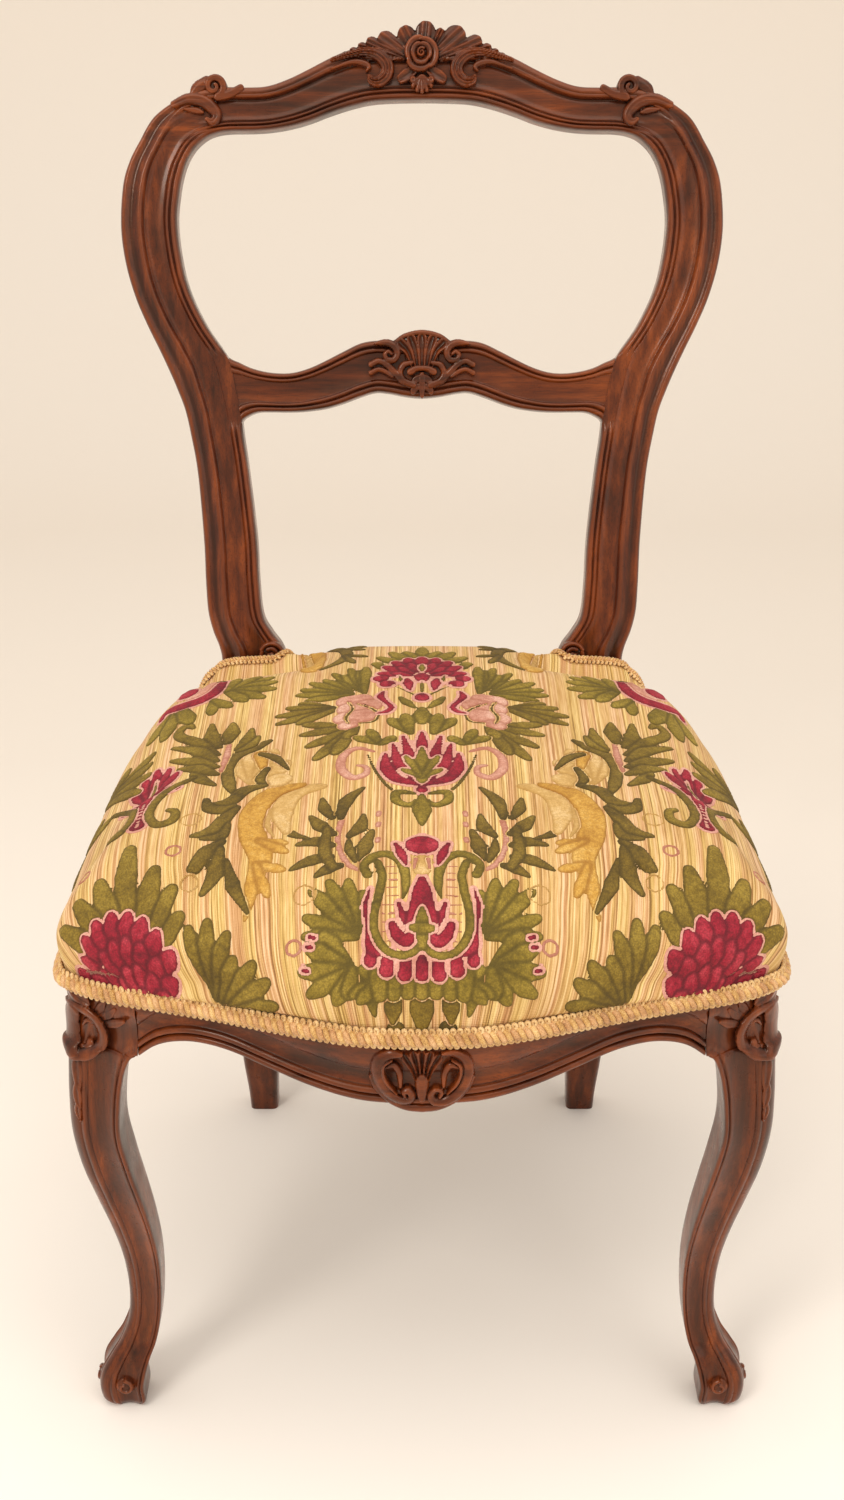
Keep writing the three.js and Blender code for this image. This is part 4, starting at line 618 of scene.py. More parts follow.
def mid_cartouche():
    """A five-fluted shell under an arched bead, over a knot and a hanging leaf, with rolls and tendrils beside it."""
    relief = Relief((-54, -44), (54, 22), 0.5)
    relief.stroke([(-22, 6), (-13, 11.4), (0, 13.8), (13, 11.4), (22, 6)], [1.6, 2, 2.1, 2, 1.6], 1.2)
    relief.disc((0, -1), 14, 0.6)
    for u, v in [(0, 12), (8, 11), (-8, 11), (15.4, 8), (-15.4, 8)]:
        relief.stroke([(u * 0.44, -11), (u * 0.68, v * 0.3 - 3), (u, v - 3.2)], [2.1, 3.1, 4.3], 2.0, hollow=2.4)
    relief.pair([(37, 5.6), (32, 6.2), (26.6, 6), (21.3, 3.4), (19.5, -1.4), (22.1, -6), (26.8, -6), (28.9, -2.6),
                 (26.6, 0), (24, -1.7)], [0.8, 2.2, 2.9, 3.1, 2.9, 2.6, 2.3, 2, 1.7, 1.4], 2.6)
    relief.pair([(8.4, -8.4), (14.8, -10.2), (17.2, -16), (13.8, -21.6), (7.4, -24.4)], [1.8, 2.6, 2.5, 2.7, 3], 2.2)
    relief.pair([(39.6, -9.4), (34, -7.1), (27.6, -9.6), (21.3, -15.4), (15.6, -21.2), (9.6, -24.6)],
                [2.5, 2.4, 2.6, 2.8, 2.8, 2.4], 1.8)
    relief.pair([(39.8, -15.4), (34.5, -13.1), (29.2, -14.4), (23.6, -18)], [2.3, 2.1, 2.1, 1.6], 1.1)
    relief.stroke([(-8.8, -14.8), (-5, -12.8), (0, -12.3), (5, -12.8), (8.8, -14.8)], [3, 2.4, 2.1, 2.4, 3], 3.6)
    relief.stroke([(0, -17), (0, -25), (0, -32.6)], [2, 3, 1.8], 2.0, flutes=1, groove=0.9)
    for root, tip in (((1.4, -18.5), (6.2, -23)), ((1.4, -25), (7, -29.6))):
        bend = (tip[0] * 0.8, (root[1] + tip[1]) / 2)
        relief.pair([root, bend, tip], [2, 3.2, 2.1], 1.6, flutes=1, groove=0.7)
    return relief.shell(lambda u, v, w: on_back(u, MID_MIDDLE + v, w), MID_GROUND, BEDDED)


POST_SCROLL = np.array([122.3, 457.5])


def post_scroll():
    """The eye at the foot of each post: a raised rim, a sunk ring and a button with a curl."""
    relief = Relief(POST_SCROLL - 14, POST_SCROLL + [34, 30], 0.45)
    relief.disc(POST_SCROLL, 10.6, -1)
    relief.stroke(arc(POST_SCROLL, 9.2, 30, 375, 22, 8.4), np.full(22, 1.9), 1.6)
    relief.stroke(arc(POST_SCROLL, 5.2, 60, 360, 14, 2.6), np.linspace(2.2, 1.5, 14), 1.1)
    relief.disc(POST_SCROLL, 2.6, 0.9)
    return relief.shell(on_back, -4.4, BEDDED + 1)


APRON_MIDDLE = 332.0
APRON_BOW = 0.45


def front_face(u, v, w):
    """Points on the front rail's face, bowed in plan, at height v and w proud of it."""
    bow = FRONT_REACH * (APRON_BOW * (u / SEAT_HALF) ** 2)
    return np.stack([u, -FRONT_REACH + bow - w, v], axis=-1)


def apron_cartouche():
    """A narrow shell over a smooth pendant, between two broad C lobes that roll into eyes."""
    relief = Relief((-44, -24), (44, 34), 0.5)
    relief.pair([(32, 8), (28, 0), (20, -8.4), (10, -13.4), (0, -14.6)], [1.6, 2.4, 2.8, 2.8, 2.8], 0.8)
    relief.pair([(13.6, 26.8), (20, 26.4), (26.2, 21.6), (28.2, 13), (25.6, 3.4), (20, -4), (13.6, -7.8), (8, -7.6),
                 (6, -3.6), (8.6, 0.2), (12, -1), (11, -4)],
                [1.8, 3.4, 4.2, 4.5, 4.3, 3.8, 3.3, 3, 2.7, 2.3, 1.8, 1.4], 2.8, tilt=-1.2)
    relief.pair([(19, 22.4), (23.6, 18.4), (24.2, 12), (21.4, 4.6), (16, -1.6)], [0.8, 1.2, 1.3, 1.2, 0.8], 3.8)
    relief.pair([(21.6, 16.6), (17.6, 17.8), (14.2, 12), (13.6, 3)], [1.4, 2.3, 2.2, 1.5], 1.8)
    for u, v in [(0, 28.6), (5, 28.2), (-5, 28.2), (10, 26.4), (-10, 26.4)]:
        relief.stroke([(u * 0.36, 8), (u * 0.55, v * 0.5 + 2), (u, v - 2.6)], [1.2, 2.1, 3.1], 2.2, hollow=2.2)
    relief.stroke([(0, 10), (0, 4), (0, -5)], [2.8, 4.7, 2.8], 3.0)
    return relief.shell(lambda u, v, w: front_face(u, APRON_MIDDLE + v, w), -4.4, BEDDED)


# The cabriole leg at shares of the rail's height: inner and outer edge, front at each edge, and back.
LEG_ROWS = [
    (0, 0.9, 1.0, 0.685, 0.685, 0.59), (0.008, 0.888, 1.013, 0.697, 0.697, 0.581),
    (0.02, 0.882, 1.026, 0.704, 0.704, 0.578), (0.05, 0.885, 1.031, 0.706, 0.706, 0.574),
    (0.08, 0.876, 1.02, 0.7, 0.7, 0.571), (0.11, 0.862, 0.99, 0.684, 0.682, 0.566),
    (0.14, 0.842, 0.958, 0.662, 0.66, 0.56), (0.19, 0.825, 0.929, 0.65, 0.647, 0.551),
    (0.26, 0.814, 0.92, 0.654, 0.65, 0.552), (0.34, 0.812, 0.928, 0.67, 0.664, 0.559),
    (0.42, 0.821, 0.95, 0.699, 0.69, 0.574), (0.5, 0.837, 0.98, 0.731, 0.718, 0.594),
    (0.58, 0.856, 1.008, 0.762, 0.744, 0.612), (0.66, 0.872, 1.024, 0.785, 0.757, 0.622),
    (0.73, 0.865, 1.024, 0.795, 0.755, 0.624), (0.79, 0.848, 1.02, 0.797, 0.74, 0.612),
    (0.83, 0.824, 1.018, 0.804, 0.722, 0.6),
]
LEG_INNER = 185.0
LEG_BACK = 148.0
# Height of the rail's lower edge at the leg, below which the moulding follows the leg's own inner edge.
LEG_JOINT = 324.0
LEG_FACE = np.array([
    (-1, 0.8), (-0.99, 0.88), (-0.965, 0.945), (-0.93, 0.985), (-0.89, 1), (-0.85, 0.985), (-0.82, 0.95),
    (-0.8, 0.925), (-0.775, 0.945), (-0.74, 0.955), (-0.7, 0.94), (-0.64, 0.905), (-0.5, 0.865), (-0.34, 0.84),
    (-0.18, 0.835), (-0.04, 0.85), (0.08, 0.885), (0.14, 0.91), (0.175, 0.915), (0.2, 0.895), (0.23, 0.93),
    (0.28, 0.975), (0.34, 0.995), (0.4, 0.985), (0.45, 0.955), (0.48, 0.94), (0.52, 0.955), (0.6, 0.95),
    (0.7, 0.915), (0.79, 0.86),
])
LEG_REST = [
    (0.86, -0.97), (0.6, -1), (0.0, -1), (-0.6, -1), (-0.86, -0.98), (-0.98, -0.86), (-1, -0.6), (-1, 0), (-1, 0.5),
]


def leg_surface(rows):
    """Rings of the right hand leg, and how each point stands, for rows as in leg_rows."""
    face = spline(LEG_FACE, stations(74))
    count = len(face)
    proud = standing(face[:, 1] * (SEAT_HALF - LEG_INNER) / 2)
    section = np.concatenate([face, face[::-1, ::-1], LEG_REST])
    below = rows[rows[:, 0] < LEG_JOINT]
    under_rail = [(x, LEG_JOINT) for x in np.arange(LEG_INNER, LEG_INNER - 40, -2.0)]
    edge = np.concatenate([below[:, [1, 0]], under_rail])
    rings, relief = [], []
    for z, inner, outer, front_inner, front_outer, rear in rows:
        across, forward = (section[:, 0] + 1) / 2, (section[:, 1] + 1) / 2
        x = inner + (outer - inner) * across
        away = np.hypot(x[:count, None] - edge[:, 0], z - edge[:, 1]).min(axis=1)
        turned = np.clip(away / (outer - inner) * 2 - 1, -1, face[-1, 0])
        turning = smooth((z - 270) / 40) * smooth((1 - across[:count]) / 0.3)
        share = face[:, 0] + (turned - face[:, 0]) * turning
        forward[:count] = (np.interp(share, face[:, 0], face[:, 1]) + 1) / 2
        y = rear + (front_inner + (front_outer - front_inner) * across - rear) * forward
        rings.append(np.column_stack([x, y, np.full(len(x), z)]))
        plain = np.full(len(LEG_REST), 0.4)
        relief.append(np.concatenate([np.interp(share, face[:, 0], proud), proud[::-1], plain]))
    return np.array(rings), np.array(relief)


def leg_rows():
    """Rows of height, inner and outer edge, front at each edge and back, in mm, from the floor to the rail's top."""
    table = np.array(LEG_ROWS) * [RAIL_TOP, SEAT_HALF, SEAT_HALF, -FRONT_REACH, -FRONT_REACH, -FRONT_REACH]
    joint = plan_points([plan_at(lambda p: p[0] > LEG_INNER, 0, 0.45)])[0, 1]
    bend = [RAIL_TOP * 0.8395, 187.1, SEAT_HALF * 1.015, joint - 1.2, -180.4, -LEG_BACK]
    shoulder = [RAIL_TOP * 0.852, LEG_INNER, SEAT_HALF + 0.8, joint - 1, -177.6, -LEG_BACK]
    top = [SHOW_WOOD_TOP, LEG_INNER, SEAT_HALF + 0.8, joint - 0.4, -176.4, -LEG_BACK]
    return spline(np.concatenate([table, [bend, shoulder, top]]), stations(170))


def leg_shell():
    """The right hand front leg up to the show wood's top."""
    points, faces, relief = lofted(*leg_surface(leg_rows()))
    points[:, 2] = np.minimum(points[:, 2], SHOW_WOOD_TOP - 0.2)
    return points, faces, relief


def leg_stub():
    """The head of the leg inside the upholstery, cut back to the rebate."""
    plan = [(LEG_INNER, -LEG_BACK), (SEAT_HALF - REBATE - 0.4, -LEG_BACK), (SEAT_HALF - REBATE - 0.9, -160.0),
            (219.0, -172.0), (LEG_INNER, -188.0)]
    return lofted([[(x, y, z) for x, y in plan] for z in (SHOW_WOOD_TOP - 12, RAIL_TOP)], 0.3)


KNEE_EYE = 332.0
KNEE_ROUND = 8.0
KNEE_SUNK = 2.0
TOE_EYE = np.array([219.0, 162.0, 21.0])
TOE_SUNK = 0.6


def knee_carving():
    """A bud with a curled rim under a cup leaf, leaflets beside it and husks below, round the knee's outer corner."""
    relief = Relief((-42, -66), (36, 32), 0.6)
    relief.stroke([(12, 30), (4, 26), (-4, 21), (-12, 20)], [5, 6.4, 5.6, 2], 4.4, flutes=2, groove=1)
    relief.stroke([(-1, 31), (-8, 27), (-13, 22.5)], [4, 4.6, 1.6], 3.4, flutes=1, groove=0.9)
    relief.stroke([(-1, 13), (3, 6), (3, -4), (-2, -12)], [5.5, 8.4, 8.6, 5.4], 6.6)
    relief.stroke([(4, 16.5), (-6, 17.4), (-16, 13.4), (-21.4, 4), (-20.4, -6), (-14, -13), (-5, -15.6)],
                  [2.6, 3.6, 4, 4.1, 4, 4, 3.8], 5.6, tilt=0.8)
    relief.stroke([(-16, 8.6), (-11, 9.6), (-8, 5.6)], [1.4, 1.8, 1], 3.8)
    relief.disc((-12.6, -7), 3, 4.2)
    for root, tip in (((-18, 17), (-25, 27)), ((-22, 14), (-32, 23.5)), ((-24, 9.6), (-37.5, 16)),
                      ((10, 14), (17, 26)), ((12, 9), (24, 18)), ((12, 2), (26, 7))):
        middle = (root[0] * 0.5 + tip[0] * 0.5, root[1] * 0.6 + tip[1] * 0.4)
        relief.stroke([root, middle, tip], [2, 3.3, 1.3], 2.6, flutes=1, groove=0.9)
    for top, low, half in ((-17, -41, 5.8), (-38, -54, 4.4), (-52, -64, 3)):
        husk = [(-6, top), (-6, top * 0.6 + low * 0.4), (-7.5, low)]
        relief.stroke(husk, [half * 0.6, half, half * 0.25], 3.4, flutes=2, groove=1.1)
    return relief.shell(on_knee, -2.5, 5)


def on_knee(u, v, w):
    """u round the leg's corner from its middle towards the side, v up from the bud's eye, and w proud of the leg."""
    z = KNEE_EYE + v
    rows = leg_rows()
    inner, outer, front_inner, front = (np.interp(z, rows[:, 0], np.abs(rows[:, k])) for k in (1, 2, 3, 4))
    slope = (front_inner - front) / (outer - inner)
    quarter = KNEE_ROUND * math.pi / 4
    angle = np.clip(math.pi / 4 - u / KNEE_ROUND, 0, math.pi / 2)
    reach = KNEE_ROUND + w - KNEE_SUNK
    inward, back = np.maximum(-u - quarter, 0), np.maximum(u - quarter, 0)
    x = outer - KNEE_ROUND + reach * np.cos(angle) - inward
    y = front - KNEE_ROUND + reach * np.sin(angle) - back + slope * (outer - x)
    return np.stack([x, -y, z], axis=-1)


def toe_scrolls():
    """The eye carved on each show face of the toe."""
    eye = Relief((-9, -9), (9, 9), 0.5)
    eye.disc((0, 0), 7, 1.2)
    eye.stroke(arc((0, 0), 5.6, 100, 430, 18, 2.2), np.linspace(1.7, 1.2, 18), 2.6)
    rows = leg_rows()

    def on_front(u, v, w):
        """Points on the toe's front."""
        z = TOE_EYE[2] + v
        return np.stack([TOE_EYE[0] + u, np.interp(z, rows[:, 0], rows[:, 3]) - w + TOE_SUNK, z], axis=-1)

    def on_side(u, v, w):
        """Points on the toe's outer side."""
        z = TOE_EYE[2] + v
        return np.stack([np.interp(z, rows[:, 0], rows[:, 2]) + w - TOE_SUNK, -TOE_EYE[1] - u, z], axis=-1)

    return [eye.shell(place, -1.5, 3) for place in (on_front, on_side)]


# Seat rails: a hollow face over a bead and a fillet, swept along the plan.
# Each row: how far out the face stands, then its height in the hollow, or its height over the rail's lower edge.
RAIL_FACE = [
    (-0.9, 362, 0), (-1.1, 358, 0), (-2, 352, 0), (-3.2, 345, 0), (-3.9, 0, 22), (-4, 0, 18), (-3.5, 0, 15),
    (-2.9, 0, 13), (-2.6, 0, 12.2), (-3.4, 0, 11.6), (-2.9, 0, 11), (-1.4, 0, 10.2), (-0.5, 0, 9), (-0.3, 0, 7.8),
    (-0.9, 0, 6.7), (-2.2, 0, 6), (-3, 0, 5.6), (-2.2, 0, 5), (-0.8, 0, 4.2), (-0.2, 0, 3), (-0.3, 0, 1.8),
    (-1, 0, 0.6), (-2.2, 0, 0),
]
FRONT_RAIL_DEPTH = 65.0
FRONT_DROP = np.array([
    (0, 1), (0.2, 0.985), (0.36, 0.92), (0.52, 0.8), (0.66, 0.69), (0.78, 0.66), (0.87, 0.7), (0.94, 0.79), (1, 0.935),
])
SIDE_RAIL_DEPTH = 47.0
SIDE_RAIL_ARCH = 9.6


def rail_rings(ts, bottoms):
    """Sections of a moulded rail along the plan, each over its own lower edge, and how each point stands."""
    rings, relief = [], []
    for t, bottom in zip(ts, bottoms):
        face = np.array([(out, z if z else bottom + up) for out, z, up in RAIL_FACE])
        ceiling = SHOW_WOOD_TOP - np.linspace(0, 4, 5)
        face[:5, 1] = np.maximum(np.minimum(face[:5, 1], ceiling), bottom + 22 + np.arange(5)[::-1])
        face[:, 1] = np.minimum(face[:, 1], SHOW_WOOD_TOP - np.linspace(0, 1, len(face)))
        curve = spline(face, stations(70))
        body = [(-5, bottom - 0.2), (-RAIL_THICKNESS + 3, bottom), (-RAIL_THICKNESS, bottom + 3),
                (-RAIL_THICKNESS, RAIL_TOP - 2), (-RAIL_THICKNESS + 2, RAIL_TOP), (-REBATE - 1, RAIL_TOP),
                (-REBATE - 0.3, RAIL_TOP - 1), (-REBATE - 0.3, SHOW_WOOD_TOP + 0.1)]
        section = np.concatenate([curve, body])
        p = plan_points(np.full(len(section), t), section[:, 0])
        rings.append(np.column_stack([p, section[:, 1]]))
        relief.append(np.concatenate([standing(curve[:, 0]), np.full(len(body), 0.3)]))
    return np.array(rings), np.array(relief)


def front_bottom(x):
    """Height of the front rail's shaped lower edge."""
    curve = spline(FRONT_DROP, stations(200))
    return RAIL_TOP - FRONT_RAIL_DEPTH * np.interp(np.abs(x) / LEG_INNER, curve[:, 0], curve[:, 1])


def front_rail_shell():
    """The front rail from leg to leg."""
    end = plan_at(lambda p: p[0] > LEG_INNER - FIT, 0, 0.45)
    ts = stations(170, -end - 0.03, end + 0.03)
    x = plan_points(ts)[:, 0]
    rings, relief = rail_rings(ts, front_bottom(np.clip(x, -LEG_INNER, LEG_INNER)))
    rings[:, :, 0] = np.clip(rings[:, :, 0], -LEG_INNER + FIT, LEG_INNER - FIT)
    return lofted(rings, relief)


def side_rail_shell():
    """The right hand side rail from leg to post, its lower edge a flat arch."""
    start = plan_at(lambda p: p[1] > -LEG_BACK + FIT, 0.35, 0.9)
    end = plan_at(lambda p: p[1] > SEAT_CORNER_Y - FIT, 0.5, 0.95)
    ts = stations(90, start - 0.012, end + 0.012)
    share = np.clip((ts - start) / (end - start), 0, 1)
    arch = np.sqrt(np.sin(math.pi * share))
    rings, relief = rail_rings(ts, RAIL_TOP - SIDE_RAIL_DEPTH - SIDE_RAIL_ARCH * (1 - arch))
    rings[:, :, 1] = np.clip(rings[:, :, 1], -LEG_BACK + FIT, SEAT_CORNER_Y - FIT)
    return lofted(rings, relief)


# The seat: a domed pad over springs, in one cover drawn down to the show wood.
# Each row: share of the way out from the crown, share of the climb, share of the wall, share of roundness.
PAD_ROWS = np.array([
    (1, 0, 0, 0), (1, 0, 0.5, 0), (1.0, 0, 1, 0), (1.016, 0.122, 1, 0), (1.02, 0.257, 1, 0), (1, 0.414, 1, 0.05),
    (0.935, 0.583, 1, 0.18), (0.8, 0.718, 1, 0.4), (0.58, 0.837, 1, 0.75), (0.3, 0.938, 1, 1), (0.1, 0.99, 1, 1),
])
PAD_REAR_ROWS = np.array([
    (1, 0, 0, 0), (1, 0, 0.5, 0), (1.0, 0, 1, 0), (1.012, 0.167, 1, 0), (1.02, 0.369, 1, 0.02), (1.005, 0.583, 1, 0.12),
    (0.94, 0.758, 1, 0.28), (0.81, 0.876, 1, 0.5), (0.58, 0.955, 1, 0.78), (0.3, 0.991, 1, 1), (0.1, 1, 1, 1),
])
COVER_OUT = -0.7
COVER_BASE = 362.3
WALL_TOP = 376.0
PAD_ROUND = 240
PAD_RINGS = 60


def even_outline(out, count):
    """Points spaced evenly round the seat's plan, anticlockwise from the middle of the back."""
    t = np.linspace(-1, 1, 4001)
    p = plan_points(t, np.full(len(t), out))
    run = np.concatenate([[0], np.cumsum(np.linalg.norm(np.diff(p, axis=0), axis=1))])
    want = np.arange(count) / count * run[-1]
    return np.column_stack([np.interp(want, run, p[:, 0]), np.interp(want, run, p[:, 1])])


def pad_grid(out, crown):
    """Rings from the cover's lower edge up to near the crown, as an array of ring, place and coordinate."""
    outline = even_outline(out, PAD_ROUND)
    t = stations(PAD_RINGS)
    front, rear = spline(PAD_ROWS, t), spline(PAD_REAR_ROWS, t)
    weight = smooth((outline[:, 1] + FRONT_REACH * 0.4) / (FRONT_REACH * 1.15))
    rows = front[:, None] * (1 - weight[None, :, None]) + rear[:, None] * weight[None, :, None]
    run = outline - [0, CROWN_BACK]
    run /= np.linalg.norm(run, axis=1)[:, None]
    depth = np.where(run[:, 1] < 0, FRONT_REACH + CROWN_BACK, BACK_REACH - CROWN_BACK)
    oval = run * (1 / np.hypot(run[:, 0] / SEAT_HALF, run[:, 1] / depth) + out)[:, None] + [0, CROWN_BACK]
    edge = outline[None] * (1 - rows[..., 3:]) + oval[None] * rows[..., 3:]
    x = edge[..., 0] * rows[..., 0]
    y = CROWN_BACK + (edge[..., 1] - CROWN_BACK) * rows[..., 0]
    wall = COVER_BASE + (WALL_TOP - COVER_BASE) * rows[..., 2]
    z = wall + (crown - WALL_TOP) * rows[..., 1]
    return np.stack([x, y, z - post_dip(x, y, z)], axis=-1)


def post_dip(x, y, z):
    """How far the pad is drawn down round the posts, most at their fronts."""
    wide = np.abs(x)
    aside = np.maximum(np.maximum(106 - wide, wide - 184), 0) / 26
    before = np.maximum(146 - y, 0) / 34
    level = 437 + 18 * smooth((y - 152) / 45) - 9 * smooth((wide - 150) / 34) + 8 * smooth((122 - wide) / 18)
    return np.maximum(z - level, 0) * np.exp(-aside ** 2 - before ** 2)


def grid_faces(rings, around, base=0):
    """Faces of closed rings of points, one over the other."""
    i = np.arange(rings - 1)[:, None] * around
    j = np.arange(around)[None, :]
    k = (j + 1) % around
    return (base + np.stack([i + j, i + k, i + around + k, i + around + j], axis=-1).reshape(-1, 4)).tolist()


def pad_faces(rings, around):
    """Faces of the pad's rings, closed over the crown round one last point."""
    last, tip = (rings - 1) * around, rings * around
    return grid_faces(rings, around) + [(last + j, last + (j + 1) % around, tip) for j in range(around)]


TACKED_RINGS = 9
FILL_STEPS = 20
FILL_PRESSURE = 4.0
FILL_CAP = 6.0


def filled_pad(start):
    """The pad's top swells as it is stuffed: Cloth under pressure, held at its lower edge."""
    rings, around = start.shape[:2]
    centre = np.array([0.0, CROWN_BACK, start[-1, :, 2].mean() + 0.6])
    points = np.concatenate([start.reshape(-1, 3), [centre]])
    mesh = bpy.data.meshes.new("pad_filling")
    mesh.from_pydata(placed(points).tolist(), [], pad_faces(rings, around))
    face_outward(mesh)
    obj = linked("pad_filling", mesh)
    held = obj.vertex_groups.new(name="tacked")
    held.add(list(range(around * TACKED_RINGS)), 1.0, "REPLACE")
    cloth = obj.modifiers.new("stuffing", "CLOTH")
    cloth.settings.use_pressure = True
    cloth.settings.uniform_pressure_force = FILL_PRESSURE
    cloth.settings.effector_weights.gravity = 0
    cloth.settings.vertex_group_mass = held.name
    cloth.settings.tension_stiffness = 30
    cloth.settings.bending_stiffness = 2
    cloth.point_cache.frame_start, cloth.point_cache.frame_end = 1, FILL_STEPS
    scene = bpy.context.scene
    for step in range(1, FILL_STEPS + 1):
        scene.frame_set(step)
    shaped = obj.evaluated_get(bpy.context.evaluated_depsgraph_get()).to_mesh()
    moved = np.empty(len(points) * 3)
    shaped.vertices.foreach_get("co", moved)
    moved = moved.reshape(-1, 3) * 1000 + [0, MIDDLE_BACK, 0]
    scene.frame_set(1)
    bpy.data.objects.remove(obj)
    bpy.data.meshes.remove(mesh)
    shift = moved - points
    far = np.linalg.norm(shift, axis=1)[:, None]
    capped = points + shift * np.minimum(1, FILL_CAP / np.maximum(far, 1e-9))
    return capped[:-1].reshape(start.shape), capped[-1]


def from_tip(grid, tip):
    """The pad's points by ring, from the crown outwards."""
    return np.concatenate([np.broadcast_to(tip, (1,) + grid.shape[1:]), grid[::-1]])


def fabric_lengths(grid, tip):
    """For each place round the pad, the length of cloth from the crown out to each ring."""
    steps = np.linalg.norm(np.diff(from_tip(grid, tip), axis=0), axis=2)
    return np.cumsum(steps, axis=0)[::-1]


class Cover:
    """The finished surface of the seat, with places on it given in millimetres of flat cloth from the crown."""

    def __init__(self):
        self.grid, self.tip = filled_pad(pad_grid(COVER_OUT - 0.3, CROWN - FILL_CAP * 0.75))
        self.lengths = fabric_lengths(self.grid, self.tip)
        outline = self.grid[0]
        angle = np.unwrap(np.arctan2(outline[:, 1] - CROWN_BACK, outline[:, 0]))
        if angle[-1] < angle[0]:
            self.grid, self.lengths, angle = self.grid[:, ::-1], self.lengths[:, ::-1], angle[::-1]
        self.angle = angle

    def cloth(self):
        """Flat cloth coordinates of every grid point."""
        return np.stack([np.cos(self.angle) * self.lengths, np.sin(self.angle) * self.lengths], axis=-1)

    def place(self, x, y):
        """Points and outward normals for flat cloth coordinates, and whether each is on the seat."""
        here, on = self.surface(x, y)
        step = 1.5
        along, _ = self.surface(x + step, y)
        up, _ = self.surface(x, y + step)
        normal = np.cross(along - here, up - here)
        normal /= np.linalg.norm(normal, axis=-1, keepdims=True) + 1e-12
        normal *= np.where(normal[..., 2:3] < -0.4, -1, 1)
        return here, normal, on

    def lift(self, x, y, height):
        """Points at a height over the cover, each followed by its place on the flat cloth."""
        here, normal, _ = self.place(x, y)
        return np.column_stack([here + normal * height[:, None], x, y])

    def surface(self, x, y):
        """Points for flat cloth coordinates, and whether each is on the seat."""
        a = np.arctan2(y, x)
        first = self.angle[0]
        a = first + np.mod(a - first, 2 * math.pi)
        knots = np.append(self.angle, first + 2 * math.pi)
        around = np.interp(a, knots, np.arange(len(knots)))
        j = np.minimum(around.astype(int), len(self.angle) - 1)
        w = (around - j)[..., None]
        k = (j + 1) % len(self.angle)
        s = np.hypot(x, y)
        first_column, second_column = self.along(j, s), self.along(k, s)
        on = (s < self.lengths[0][j] * (1 - w[..., 0]) + self.lengths[0][k] * w[..., 0])
        return first_column * (1 - w) + second_column * w, on

    def along(self, column, s):
        """Points that lie a length of cloth from the crown, each on its column of the grid."""
        rings = len(self.grid)
        table = np.concatenate([np.zeros((1, len(self.angle))), self.lengths[::-1]])
        points = from_tip(self.grid, self.tip)
        flat_column, flat_s = column.ravel(), s.ravel()
        low = np.zeros(len(flat_s), int)
        high = np.full(len(flat_s), rings)
        for _ in range(8):
            middle = (low + high) // 2
            before = table[middle, flat_column] <= flat_s
            low, high = np.where(before, middle, low), np.where(before, high, middle)
        low = np.clip(low, 0, rings - 1)
        a, b = table[low, flat_column], table[low + 1, flat_column]
        w = np.clip((flat_s - a) / np.maximum(b - a, 1e-9), 0, 1)[:, None]
        found = points[low, flat_column] * (1 - w) + points[low + 1, flat_column] * w
        return found.reshape(s.shape + (3,))


# The figured pattern. Places are in millimetres of flat cloth from the crown. It is drawn for one half and mirrored.
PILE_LOW = np.array([0.0, -384.0])
PILE_HIGH = np.array([262.0, 150.0])
PILE_LINE = 0.7
# The leaves are set down by the thickness of their middles, and their pile spreads to this many times that.
LEAF_FULL = 1.35
RING = [(0, -1), (0.87, -0.5), (0.87, 0.5), (0, 1), (-0.87, 0.5), (-0.87, -0.5), (0, -1)]


